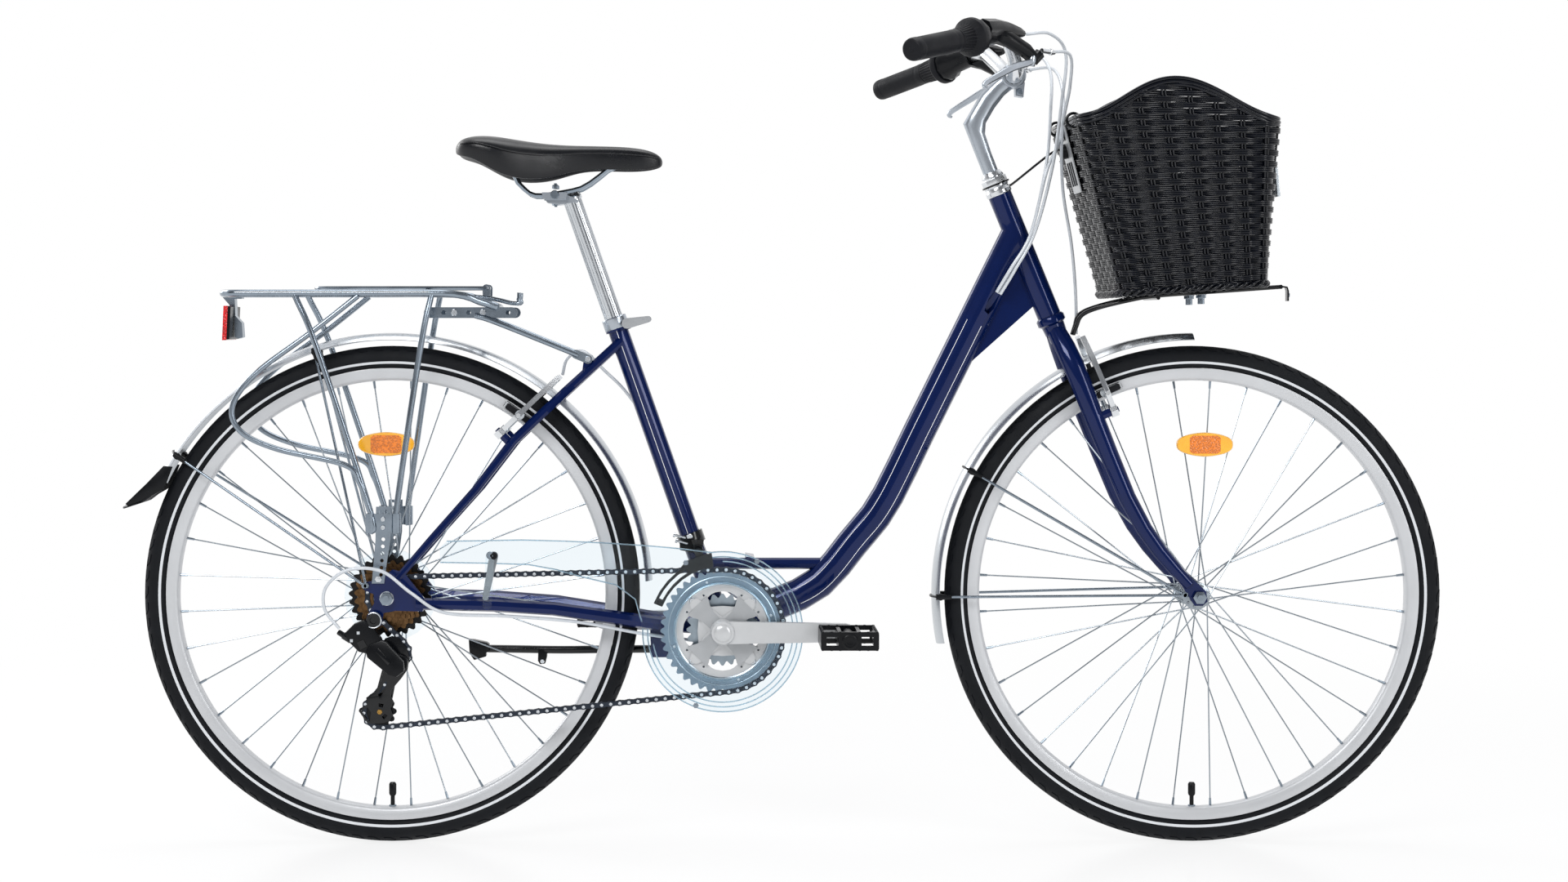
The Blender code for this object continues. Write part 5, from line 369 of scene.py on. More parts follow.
def lathe(work, profile, centre, axis, steps, closed=False):
    """Adds a profile of (radius, along) turned round an axis."""
    towards = axis.normalized()
    aside = FORWARD if abs(towards.x) < 0.9 else UP
    across = (aside - aside.dot(towards) * towards).normalized()
    third = towards.cross(across)
    rings = []
    for radius, along in profile:
        base = centre + along * towards
        if radius == 0:
            rings.append([work.verts.new(base)])
            continue
        ring = []
        for i in range(steps):
            turn = math.tau * i / steps
            ring.append(work.verts.new(base + radius * (math.cos(turn) * across + math.sin(turn) * third)))
        rings.append(ring)
    pairs = list(zip(rings, rings[1:]))
    if closed:
        pairs.append((rings[-1], rings[0]))
    for one, two in pairs:
        for i in range(steps):
            j = (i + 1) % steps
            if len(one) == 1 and len(two) == 1:
                break
            if len(one) == 1:
                corners = (one[0], two[i], two[j])
            elif len(two) == 1:
                corners = (one[i], two[0], one[j])
            else:
                corners = (one[i], two[i], two[j], one[j])
            work.faces.new(corners)


def disc(work, radius, low, high, centre, axis, steps):
    lathe(work, [(0, low), (radius, low), (radius, high), (0, high)], centre, axis, steps)


def washer(work, inner, outer, low, high, centre, axis, steps):
    lathe(work, [(inner, low), (outer, low), (outer, high), (inner, high)], centre, axis, steps, closed=True)


def bar(work, start, end, radius, sides=8, end_radius=None):
    length = (end - start).length
    last = radius if end_radius is None else end_radius
    lathe(work, [(0, 0), (radius, 0), (last, length), (0, length)], start, end - start, sides)


def pipe(name, splines, radius, material, body, sides=8, cyclic=False, replaces=()):
    """Round wires along lists of points, in one curve object."""
    curve = bpy.data.curves.new(name, "CURVE")
    curve.dimensions = "3D"
    curve.bevel_depth = radius
    curve.bevel_resolution = (sides - 4) // 2
    curve.use_fill_caps = True
    for points in splines:
        line = curve.splines.new("POLY")
        line.points.add(len(points) - 1)
        line.use_cyclic_u = cyclic
        line.use_smooth = True
        for i, place in enumerate(points):
            line.points[i].co = (*place, 1)
    piece = bpy.data.objects.new(name, curve)
    bpy.context.scene.collection.objects.link(piece)
    curve.materials.append(material)
    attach(piece, body)
    if replaces:
        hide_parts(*replaces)


def dress(name, material, angle):
    """A CAD node's material, with its seams welded for smooth shading."""
    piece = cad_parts[name]
    piece.data.materials.clear()
    piece.data.materials.append(material)
    normals = piece.data.attributes.get("custom_normal")
    if normals:
        piece.data.attributes.remove(normals)
    for polygon in piece.data.polygons:
        polygon.use_smooth = True
    weld = piece.modifiers.new("weld", "WELD")
    weld.merge_threshold = 0.00002
    split = piece.modifiers.new("split", "EDGE_SPLIT")
    split.split_angle = math.radians(angle)


def tube(work, path, radius, sides=12, radii=None, flatten=1.0):
    """A round tube along a path, closed at both ends."""
    count = len(path)
    ways = []
    for i in range(count):
        before = path[max(i - 1, 0)]
        after = path[min(i + 1, count - 1)]
        ways.append((after - before).normalized())
    aside = SIDE - SIDE.dot(ways[0]) * ways[0]
    if aside.length < 0.2:
        aside = UP - UP.dot(ways[0]) * ways[0]
    aside.normalize()
    rings = []
    for i in range(count):
        aside = (aside - aside.dot(ways[i]) * ways[i]).normalized()
        third = ways[i].cross(aside)
        r = radii[i] if radii else radius
        ring = []
        for k in range(sides):
            turn = math.tau * k / sides
            ring.append(work.verts.new(path[i] + r * (math.cos(turn) * aside * flatten + math.sin(turn)
                                                      * third)))
        rings.append(ring)
    skin(work, rings)


def slab(work, outline, start, end, holes=()):
    """A flat plate between two levels along Y, with holes right through."""
    loops = [list(outline)] + [list(h) for h in holes]
    levels = []
    for y in (start, end):
        rings = [[work.verts.new(Vector((p.x, y, p.z))) for p in loop] for loop in loops]
        edges = []
        for ring in rings:
            for pair in zip(ring, ring[1:] + ring[:1]):
                edges.append(work.edges.new(pair))
        bmesh.ops.triangle_fill(work, use_beauty=True, edges=edges, normal=SIDE)
        levels.append(rings)
    for pair in zip(*levels):
        skin(work, pair, ends=False)


def arc(centre, radius, first, sweep, steps, y=0.0):
    return [on_wheel(centre, radius, first + sweep * i / steps, y) for i in range(steps + 1)]


def round_hole(centre, radius, steps=16):
    return [on_wheel(centre, radius, 360 * i / steps) for i in range(steps)]


def pill(start, end, start_radius, end_radius, steps=8):
    """The outline round two circles."""
    way = (end - start).normalized()
    up = SIDE.cross(way)
    points = []
    for centre, radius, first in ((end, end_radius, -90), (start, start_radius, 90)):
        for i in range(steps + 1):
            turn = math.radians(first + 180 * i / steps)
            points.append(centre + radius * (math.cos(turn) * way + math.sin(turn) * up))
    return points


def bolt(work, centre, axis, radius=0.004, height=0.0025, socket=0.5, sides=24):
    """A round head with a hexagon hollow, its face towards the axis."""
    axis = axis.normalized()
    lathe(work, [(0, 0), (radius, 0), (radius, height * 0.6), (radius * 0.82, height),
                 (radius * socket, height), (radius * socket * 0.9, height * 0.35), (0, height * 0.35)],
          centre, axis, sides)


def nut(work, centre, axis, radius, height):
    lathe(work, [(0, 0), (radius, 0), (radius, height * 0.85), (radius * 0.88, height),
                 (radius * 0.45, height), (radius * 0.45, height * 1.5), (0, height * 1.5)], centre, axis, 6)


# Wheels

TYRE_PROFILE = [
    (0.3178, 0.0112),
    (0.3215, 0.0138),
    (0.3262, 0.0172),
    (0.331, 0.0185),
    (0.336, 0.018),
    (0.3408, 0.0158),
    (0.3446, 0.0122),
    (0.347, 0.0092),
    (0.3484, 0.005),
    (0.3488, 0.0),
]
RIM_PROFILE = [
    (0.3175, 0.0118),
    (0.316, 0.012),
    (0.305, 0.0118),
    (0.3015, 0.0095),
    (0.3002, 0.006),
    (0.3, 0.0),
]


def mirrored(profile):
    return profile + [(r, -y) for r, y in reversed(profile[:-1])]


def wheel(word, axle, body, hub, flange_radius, shell_radius, flanges, bore, boss_end):
    """A tyre with its tread, a rim, a valve, crossed spokes with their nipples, and a hub."""
    work = bmesh.new()
    full = mirrored(TYRE_PROFILE)
    lathe(work, full + [(0.3178, -0.0095), (0.3178, 0.0095)], axle, SIDE, WHEEL_STEPS, closed=True)
    rubber = tyre_rubber.copy()
    rubber.name = word + "_tyre_rubber"
    banded(rubber, 0.3238, 0.3272, "D9DCE0")
    ringed_relief(rubber, 260, 0.35)
    finish_mesh(work, word + "_tyre_rubber_body", rubber, body, replaces=[word + "_tyre"], angle=60,
                origin=axle)

    work = bmesh.new()
    blocks = 96
    low_radius, low_y = 0.3424, 0.0146
    high_radius, high_y = 0.3468, 0.01
    slant, length, offset = 1.2, 1.7, 1.9
    for side in (1, -1):
        for i in range(blocks):
            turn = 360 * i / blocks + (offset if side < 0 else 0)
            low = on_wheel(axle, low_radius, turn, side * low_y)
            high = on_wheel(axle, high_radius, turn + slant, side * high_y)
            along = on_wheel(axle, low_radius, turn + length, side * low_y) - low
            out = (low - axle).normalized() * 0.0004 + side * 0.0006 * SIDE
            verts = [work.verts.new(p) for p in (
                low - 0.6 * out, low + along - 0.6 * out, high + along - 0.9 * out, high - 0.9 * out,
                low + out, low + along + out, high + along + 0.4 * out, high + 0.4 * out)]
            for face in ((0, 1, 2, 3), (4, 5, 6, 7), (0, 1, 5, 4), (1, 2, 6, 5), (2, 3, 7, 6), (3, 0, 4, 7)):
                work.faces.new([verts[k] for k in face])
    finish_mesh(work, word + "_tread_blocks", tyre_rubber, body, origin=axle)

    work = bmesh.new()
    lathe(work, mirrored(RIM_PROFILE), axle, SIDE, WHEEL_STEPS, closed=True)
    track = rim_alloy.copy()
    track.name = word + "_rim_alloy"
    ringed_relief(track, 900, 0.12, 0.0001)
    finish_mesh(work, word + "_rim_body", track, body, replaces=[word + "_rim"], angle=40,
                origin=axle)

    work = bmesh.new()
    foot = on_wheel(axle, RIM_INSIDE, 270)
    up = (axle - foot).normalized()
    lathe(work, [(0, 0), (0.003, 0), (0.003, 0.014), (0.0046, 0.016), (0.0052, 0.018), (0.0052, 0.031),
                 (0.0036, 0.0336), (0, 0.0336)], foot, up, 16)
    finish_mesh(work, word + "_valve_cap", moulded, body, angle=35)
    work = bmesh.new()
    lathe(work, [(0.003, 0), (0.0052, 0), (0.0052, 0.0018), (0.0033, 0.0024)], foot, up, 16, closed=True)
    finish_mesh(work, word + "_valve_nut", plated, body, angle=35)

    work = bmesh.new()
    nipples = bmesh.new()
    thick = 0.003
    left, right = flanges
    hole_radius = flange_radius - 0.004
    per_side = 18
    twist = 76
    for side, flange in ((1, left + thick / 2), (-1, right - thick / 2)):
        for i in range(per_side):
            lean = 1 if i % 2 else -1
            at_rim = 360 * (i + (0.75 if side < 0 else 0.25)) / per_side
            at_hub = at_rim + lean * twist
            flange_y = flange + lean * 0.0012
            rim_y = side * 0.0015 + lean * 0.0012
            start = on_wheel(axle, hole_radius, at_hub, flange_y)
            end = on_wheel(axle, RIM_INSIDE - 0.0003, at_rim, rim_y)
            bar(work, start, end, 0.001, 8)
            away = (start - end).normalized()
            bar(nipples, end, end + 0.01 * away, 0.0019, 8, 0.0016)
            bar(work, start + 0.0028 * lean * SIDE, start - 0.0022 * lean * SIDE, 0.0019, 8)
    finish_mesh(nipples, word + "_nipples", plated, body, angle=35)
    neck = shell_radius * 0.8
    shell = [
        (bore, left + 0.011),
        (neck - 0.001, left + 0.011),
        (neck, left + 0.01),
        (neck, left + thick + 0.001),
        (flange_radius - 0.001, left + thick),
        (flange_radius, left + thick - 0.0006),
        (flange_radius, left + 0.0006),
        (flange_radius - 0.002, left),
        (shell_radius + 0.001, left - 0.005),
        (shell_radius, left - 0.008),
        (shell_radius * 0.93, (left + right) / 2),
        (shell_radius, right + 0.008),
        (shell_radius + 0.001, right + 0.005),
        (flange_radius - 0.002, right),
        (flange_radius, right - 0.0006),
        (flange_radius, right - thick + 0.0006),
        (flange_radius - 0.001, right - thick),
    ]
    if boss_end is None:
        shell += [(neck, right - thick - 0.001), (neck, right - 0.01), (neck - 0.001, right - 0.011),
                  (bore, right - 0.011)]
    else:
        shell += [(0.0118, right - thick), (0.0118, boss_end), (bore, boss_end)]
    lathe(work, shell, axle, SIDE, 40, closed=True)
    finish_mesh(work, word + "_hub_and_round_spokes", spoke_steel, body, replaces=[hub])


wheel("rear", REAR_AXLE, "rear_wheel", "rear_hub_and_spokes", 0.0235, 0.015, (0.034, -0.0195), 0.0056, -0.058)
wheel("front", FRONT_AXLE, "front_wheel", "front_hub_and_spokes", 0.0195, 0.011, (0.034, -0.034), 0.0051,
      None)


def spoke_reflector(word):
    """The oval body with its sloped rim, and the lens on its outer face."""
    node_name = word + "_spoke_reflector"
    low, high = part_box(node_name)
    centre = (low + high) / 2
    outer, inner = low.y, high.y
    work = bmesh.new()

    def outline(width, height, y):
        ring = []
        steps = 40
        for i in range(steps):
            t = math.tau * i / steps
            x = bent(math.cos(t), 1.2) * width / 2
            z = bent(math.sin(t), 0.75) * height / 2
            ring.append(work.verts.new(Vector((centre.x + x, y, centre.z + z))))
        return ring

    rings = [
        outline(0.077, 0.0325, inner),
        outline(0.079, 0.034, inner - 0.0012),
        outline(0.079, 0.034, outer + 0.0022),
        outline(0.0765, 0.0318, outer + 0.0004),
        outline(0.07, 0.0285, outer + 0.0004),
    ]
    skin(work, rings)
    finish_mesh(work, word + "_reflector_body", amber_rim, word + "_wheel", replaces=[node_name],
                angle=35)
    work = bmesh.new()
    half_width, half_height = 0.0215, 0.0125
    y = outer + 0.0002
    corners = [(-half_width, -half_height * 0.75), (-half_width * 0.8, -half_height),
               (half_width * 0.8, -half_height), (half_width, -half_height * 0.75),
               (half_width, half_height * 0.75), (half_width * 0.8, half_height),
               (-half_width * 0.8, half_height), (-half_width, half_height * 0.75)]
    front = [work.verts.new(Vector((centre.x + x, y, centre.z + z))) for x, z in corners]
    back = [work.verts.new(Vector((centre.x + x * 1.05, y + 0.0012, centre.z + z * 1.05)))
            for x, z in corners]
    skin(work, [front, back])
    finish_mesh(work, word + "_reflector_lens", amber, word + "_wheel", angle=35)


spoke_reflector("rear")
spoke_reflector("front")


# Chain


def pitch_radius(teeth):
    return PITCH / (2 * math.sin(math.pi / teeth))


def chain_places():
    """A place at every pin, round the outer ring, the smallest cog and both pulleys."""
    passed = [
        (CRANK_AXLE, pitch_radius(RING_TEETH[0]), 1, RING_PLANES[0]),
        (REAR_AXLE, pitch_radius(COG_TEETH[0]), 1, COG_PLANE),
        (GUIDE_PULLEY, pitch_radius(PULLEY_TEETH), -1, COG_PLANE),
        (TENSION_PULLEY, pitch_radius(PULLEY_TEETH), 1, COG_PLANE),
    ]
    count = len(passed)
    headings = []
    for i in range(count):
        here, r1, s1, _ = passed[i]
        there, r2, s2, _ = passed[(i + 1) % count]
        away = math.hypot(there.x - here.x, there.z - here.z)
        lean = math.asin((s2 * r2 - s1 * r1) / away)
        headings.append(math.atan2(there.z - here.z, there.x - here.x) - lean)
    runs = []
    for i in range(count):
        centre, radius, sense, y = passed[i]
        entry, leave = headings[i - 1], headings[i]
        sweep = (sense * (leave - entry)) % math.tau
        runs.append(("arc", centre, radius, sense, entry, sweep, y, y, radius * sweep))
        following, next_radius, next_sense, next_y = passed[(i + 1) % count]
        aside = Vector((-math.sin(leave), 0, math.cos(leave)))
        start = spot(centre.x, centre.z) - sense * radius * aside
        end = spot(following.x, following.z) - next_sense * next_radius * aside
        runs.append(("run", start, end, 0, 0, 0, y, next_y, (end - start).length))
    total = sum(run[-1] for run in runs)
    links = 2 * round(total / PITCH / 2)
    step = total / links
    places = []
    for k in range(links):
        along = k * step
        for run in runs:
            if along <= run[-1] or run is runs[-1]:
                break
            along -= run[-1]
        share = along / run[-1]
        y = run[6] + (run[7] - run[6]) * share
        if run[0] == "arc":
            _, centre, radius, sense, entry, sweep = run[:6]
            heading = entry + sense * sweep * share
            aside = Vector((-math.sin(heading), 0, math.cos(heading)))
            place = spot(centre.x, centre.z) - sense * radius * aside
        else:
            place = run[1].lerp(run[2], share)
        places.append(place + y * SIDE)
    return places


def chain():
    """Waisted link plates, wide and narrow by turns, with a pin and a roller at each joint."""
    places = chain_places()
    end_radius, half_waist = 0.0042, 0.003
    steps = 20
    plates = bmesh.new()
    pins = bmesh.new()
    for k, here in enumerate(places):
        there = places[(k + 1) % len(places)]
        along = (there - here).normalized()
        up = SIDE.cross(along).normalized()
        wide = k % 2 == 0
        near, far = (0.0026, 0.0036) if wide else (0.0016, 0.0025)
        for side in (1, -1):
            loops = []
            for y in (side * near, side * far):
                ring = []
                for i in range(steps):
                    t = math.tau * i / steps
                    c, s = math.cos(t), math.sin(t)
                    centre = there if c > 0 else here
                    point = centre + along * (end_radius * c) + up * (end_radius * s)
                    if abs(c) < 0.05:
                        point = here.lerp(there, 0.5) + up * (half_waist * math.copysign(1, s))
                    ring.append(plates.verts.new(point + y * SIDE))
                loops.append(ring)
            skin(plates, loops)
        lathe(pins, [(0, -0.0039), (0.0019, -0.0041), (0.0024, -0.0037), (0.0024, 0.0037), (0.0014, 0.0039),
                     (0, 0.0039)], here, SIDE, 8)
        washer(pins, 0.0017, 0.0037, -0.0015, 0.0015, here, SIDE, 10)
    finish_mesh(plates, "chain_plates", chain_steel, "frame", replaces=["chain"])
    finish_mesh(pins, "chain_pins", pin_steel, "frame")


chain()


# Saddle

# Each station's x, top, half width and skirt height
SADDLE = [
    (-0.458, 0.976, 0.03, 0.968),
    (-0.4545, 0.981, 0.05, 0.964),
    (-0.448, 0.988, 0.064, 0.961),
    (-0.43, 0.9925, 0.077, 0.9575),
    (-0.405, 0.9925, 0.08, 0.942),
    (-0.38, 0.9885, 0.074, 0.931),
    (-0.35, 0.984, 0.06, 0.9285),
    (-0.32, 0.9808, 0.046, 0.932),
    (-0.288, 0.9796, 0.036, 0.943),
    (-0.255, 0.9792, 0.03, 0.945),
    (-0.22, 0.9784, 0.0275, 0.943),
    (-0.192, 0.975, 0.024, 0.944),
    (-0.176, 0.969, 0.0185, 0.947),
    (-0.168, 0.961, 0.011, 0.951),
]


def saddle():
    """A padded cover over a shell, with piping along its seams."""
    work = bmesh.new()
    rings = []
    for x, top, half, skirt in SADDLE:
        rise = top - skirt
        profile = [
            (0.0, max(skirt + 0.004, top - 0.02)),
            (0.45 * half, max(skirt + 0.004, top - 0.02)),
            (0.8 * half, skirt + 0.0015),
            (0.9 * half, skirt),
            (0.955 * half, skirt + 0.003),
            (0.985 * half, skirt + 0.34 * rise),
            (1.0 * half, skirt + 0.6 * rise),
            (0.93 * half, skirt + 0.8 * rise),
            (0.74 * half, skirt + 0.94 * rise),
            (0.42 * half, top - 0.0004),
            (0.0, top - 0.0016),
        ]
        ring = [(y, z) for y, z in profile] + [(-y, z) for y, z in reversed(profile[1:-1])]
        rings.append([work.verts.new((x, y, z)) for y, z in ring])
    skin(work, rings)
    piece = finish_mesh(work, "saddle_cover", vinyl, "seat", replaces=["saddle"], angle=180)
    layer = piece.modifiers.new("round", "SUBSURF")
    layer.levels = 2
    layer.render_levels = 2
    seams = []
    for side in (1, -1):
        seams.append(smooth([Vector((x, side * half * 0.985, skirt + 0.64 * (top - skirt)))
                             for x, top, half, skirt in SADDLE[2:-1]], 60))
    pipe("saddle_piping", seams, 0.0009, vinyl, "seat", 6)


saddle()


# Basket

# The floor's and the rim's rear x, front x, half width, rear height and front height
BASKET_LOW = (BASKET_FLOOR_REAR.x, 0.663, 0.13, BASKET_FLOOR_REAR.z, 0.7815)
BASKET_HIGH = (0.395, 0.677, 0.15, 1.013, 1.009)
HUMP = 0.052
CORNER = 0.03


def basket_outline(inset, count):
    """The outline at the floor and at the rim, as matching points with the way outwards."""
    places = []
    for level in (BASKET_LOW, BASKET_HIGH):
        rear, front, half, z_rear, z_front = level
        rear, front, half = rear + inset, front - inset, half - inset
        path = []
        for cx, cy, start in ((front, half, 0), (rear, half, 1), (rear, -half, 2), (front, -half, 3)):
            sx = -1 if cx == front else 1
            sy = -1 if cy == half else 1
            middle = Vector((cx + sx * CORNER, cy + sy * CORNER, 0))
            for i in range(7):
                turn = math.pi / 2 * start + math.pi / 2 * i / 6
                path.append(middle + CORNER * Vector((math.cos(turn), math.sin(turn), 0)))
        lengths = [0.0]
        for one, two in zip(path, path[1:] + path[:1]):
            lengths.append(lengths[-1] + (two - one).length)
        ring = []
        for k in range(count):
            goal = lengths[-1] * k / count
            for i in range(len(path)):
                if goal <= lengths[i + 1]:
                    break
            share = (goal - lengths[i]) / max(lengths[i + 1] - lengths[i], 1e-9)
            place = path[i].lerp(path[(i + 1) % len(path)], share)
            along = (path[(i + 1) % len(path)] - path[i]).normalized()
            outward = Vector((along.y, -along.x, 0))
            z = z_rear + (z_front - z_rear) * (place.x - rear) / (front - rear)
            ring.append((Vector((place.x, place.y, z)), outward))
        places.append(ring)
    return places


def hump_at(place):
    """How far the rim stands up at the basket's sides."""
    rear, front, half = BASKET_HIGH[:3]
    if abs(place.y) < half - CORNER * 0.5:
        return 0.0
    share = min(max((place.x - rear) / (front - rear), 0), 1)
    return HUMP * math.sin(math.pi * share) ** 2


def basket():
    """Woven walls round paired stakes, a bound rim, a braid at the foot and a plaited floor."""
    stakes = 32
    per_stake = 6
    count = stakes * per_stake
    low, high = basket_outline(0.0026, count)
    tops = [1 + hump_at(high[k][0]) / (high[k][0].z - low[k][0].z) for k in range(count)]

    def at(k, share, out=0.0):
        k %= count
        one, two = low[k], high[k]
        place = one[0].lerp(two[0], share)
        return place + out * (one[1] * (1 - share) + two[1] * share).normalized()

    rise = 0.00272
    height = 0.243
    weave_radius = 0.0015
    weave_swing = 0.003
    rows_alike = 3
    below_the_rim = 0.022
    stake_radius, stakes_apart = 0.0017, 0.0021
    rim_radius, braid_radius, floor_radius = 0.0028, 0.0023, 0.0028
    strands = []
    rows = int((height + HUMP) / rise)
    for row in range(rows):
        share = (row + 0.7) * rise / height
        phase = (row // rows_alike) % 2
        run = []
        for k in range(count + 1):
            inside = share < tops[k % count] - below_the_rim
            if inside:
                swing = math.cos(math.pi * (k / per_stake + phase))
                run.append(at(k, share, weave_swing * swing))
            if (not inside or k == count) and len(run) > 2:
                strands.append(run)
                run = []
            elif not inside:
                run = []
    pipe("basket_weave", strands, weave_radius, cane, "steering", 6, replaces=["basket"])
    posts = []
    for s in range(stakes):
        k = s * per_stake
        for shift in (-1, 1):
            aside = (at(k + 1, 0.5) - at(k - 1, 0.5)).normalized() * stakes_apart * shift
            posts.append([at(k, t / 12 * (tops[k] - 0.01)) + aside for t in range(13)])
    pipe("basket_stakes", posts, stake_radius, cane, "steering", 6)
    rim_paths = []
    for lift, out in ((-0.0008, 0.0002), (-0.006, 0.0012), (-0.0105, 0.0008)):
        rim_paths.append([at(k, tops[k] + lift / height, out) for k in range(count)])
    pipe("basket_rim", rim_paths, rim_radius, cane, "steering", 8, cyclic=True)
    braid = []
    twists = 24
    turn = math.tau * twists / count
    for phase in (0, 1, 2):
        braid.append([
            at(k, 0.012 + 0.015 * math.sin(k * turn + phase * math.tau / 3),
               0.0012 + 0.0034 * math.cos(k * turn + phase * math.tau / 3)) for k in range(count)])
    pipe("basket_foot_braid", braid, braid_radius, cane, "steering", 6, cyclic=True)
    floor_start, floor_run = spot(0.466, 0.7735), spot(0.186, 0.009)
    floor = []
    for i in range(23):
        y = -0.12 + 0.24 * i / 22
        floor.append([
            floor_start + t / 20 * floor_run + y * SIDE + 0.0016 * math.cos(math.pi * (t / 2 + i)) * UP
            for t in range(21)])
    pipe("basket_floor_strands", floor, floor_radius, cane, "steering", 6)
    ribs = []
    for i in range(11):
        x = 0.47 + 0.018 * i
        middle = floor_start + (x - floor_start.x) / floor_run.x * floor_run
        ribs.append([middle + y * SIDE for y in (-0.122, 0.122)])
    pipe("basket_floor_ribs", ribs, 0.002, cane, "steering", 6)


basket()


# Mudguards


def arched(share):
    """How far the mudguard's section lies under its crown, from the middle (0) to an edge (1 or -1)."""
    return GUARD_ARCH * abs(share) ** GUARD_ARCH_POWER


def mudguard_skin(word, axle, first, last, body):
    """The arched strip, between two places in degrees round the axle."""
    work = bmesh.new()
    degrees_per_ring = 1.2
    spans = 12
    section = []
    for i in range(spans + 1):
        share = i / spans * 2 - 1
        section.append((GUARD_HALF_WIDTH * share, -arched(share)))
    under = [(y, z - GUARD_SHEET) for y, z in reversed(section)]
    rings = []
    steps = int(abs(last - first) / degrees_per_ring)
    for i in range(steps + 1):
        degrees = first + (last - first) * i / steps
        rings.append([work.verts.new(on_wheel(axle, GUARD_RADIUS + z, degrees, y)) for y, z in section
                      + under])
    total = len(section) * 2
    skin(work, rings, ends=False)
    for ring in (rings[0], rings[-1]):
        for i in range(spans):
            work.faces.new((ring[i], ring[i + 1], ring[total - 2 - i], ring[total - 1 - i]))
    name = word + "_mudguard"
    finish_mesh(work, name + "_skin", mirror_alloy, body, replaces=[name], angle=35)


def mudguard_stays(word, axle, degrees, eyelet, body):
    """A pair of wires from the eyelets to clips at the mudguard's edges."""
    wires = []
    clips = bmesh.new()
    edge = GUARD_RADIUS - GUARD_ARCH - 0.0006
    for side in (1, -1):
        start = sided(eyelet, side)
        end = on_wheel(axle, edge, degrees, side * 0.0248)
        wires.append([start, start.lerp(end, 0.5), end])
        low = on_wheel(axle, edge - 0.017, degrees, side * 0.0256)
        high = on_wheel(axle, edge + 0.005, degrees, side * 0.0236)
        bar(clips, low, high, 0.0036, 10, 0.0042)
        disc(clips, 0.0048, -0.001, 0.0012, on_wheel(axle, edge - 0.001, degrees, side * 0.0258), SIDE, 12)
    shares = [i / 8 - 1 for i in range(17)]
    band = [on_wheel(axle, GUARD_RADIUS + 0.0014 - arched(t), degrees, 0.0242 * t) for t in shares]
    pipe(word + "_strap", [band], 0.0016, moulded, body, 6)
    finish_mesh(clips, word + "_clips", moulded, body, angle=40)
    pipe(word + "_stay_wires", wires, 0.0019, plated, body, 8)
    eyes = bmesh.new()
    for side in (1, -1):
        lathe(eyes, [(0, -0.0032), (0.003, -0.0032), (0.0042, -0.002), (0.0042, 0.002), (0.003, 0.0032),
                     (0, 0.0032)], sided(eyelet, side), SIDE, 14)
    finish_mesh(eyes, word + "_eyelet_screws", plated, body, angle=35)


mudguard_skin("rear", REAR_AXLE, 3, 154.5, "frame")
rear_eyelet = behind(-0.03, 0.018, 0.077)
mudguard_stays("rear_upper", REAR_AXLE, 107.4, rear_eyelet + spot(0.002, 0), "frame")
mudguard_stays("rear_lower", REAR_AXLE, 147, rear_eyelet, "frame")
mudguard_skin("front", FRONT_AXLE, 90, 191, "steering")
front_eyelet = ahead(-0.0205, 0.0035, 0.0583)
mudguard_stays("front_upper", FRONT_AXLE, 151, front_eyelet, "steering")
mudguard_stays("front_lower", FRONT_AXLE, 180.5, front_eyelet + spot(0.001, -0.0005), "steering")


def flap():
    """The rubber flap, widening as it curls away from the strip's end."""
    # Each station's rise, degrees, half width, arch and thickness
    stations = [
        (0.0016, 151.9, 0.025, 0.009, 0.003),
        (0.0018, 154.0, 0.0256, 0.0085, 0.003),
        (0.002, 156.6, 0.0265, 0.0072, 0.0028),
        (0.0105, 159.5, 0.03, 0.005, 0.0022),
        (0.03, 161.9, 0.033, 0.004, 0.002),
    ]
    work = bmesh.new()
    lines = []
    for rise, degrees, half, arch, thick in stations:
        section = []
        for i in range(9):
            share = i / 4 - 1
            section.append((half * share, -arch * abs(share) ** 2.2))
        full = section + [(y, z - thick) for y, z in reversed(section)]
        lines.append([work.verts.new(on_wheel(REAR_AXLE, GUARD_RADIUS + rise + z, degrees, y))
                      for y, z in full])
    skin(work, lines, ends=False)
    for line in (lines[0], lines[-1]):
        for i in range(8):
            work.faces.new((line[i], line[i + 1], line[16 - i], line[17 - i]))
    finish_mesh(work, "mudguard_flap", grip_rubber, "frame", angle=35)


flap()


# Crankset


def teeth_outline(centre, teeth, depth, rise, phase):
    pitch = pitch_radius(teeth)
    shape = ((-0.1, pitch + rise), (0.1, pitch + rise), (0.27, pitch - 0.3 * depth), (0.42, pitch - depth),
             (0.58, pitch - depth), (0.73, pitch - 0.3 * depth))
    points = []
    for i in range(teeth):
        for share, radius in shape:
            points.append(on_wheel(centre, radius, 360 * (i + share + phase) / teeth))
    return points


def oval(centre, turn, radius, width, height, steps=20):
    """A curved slot at a place round an axle."""
    middle = on_wheel(centre, radius, turn)
    out = (middle - centre).normalized()
    along = SIDE.cross(out)
    points = []
    for i in range(steps):
        t = math.tau * i / steps
        a = width / 2 * bent(math.cos(t), 0.7)
        b = height / 2 * bent(math.sin(t), 0.8)
        bend = -(a * a) / (2 * radius)
        points.append(middle + a * along + (b + bend) * out)
    return points


def toothed(work, centre, teeth, plane, holes, depth=0.004, rise=0.0015, phase=0.0):
    slab(work, teeth_outline(centre, teeth, depth, rise, phase), plane - RING_HALF, plane + RING_HALF, holes)


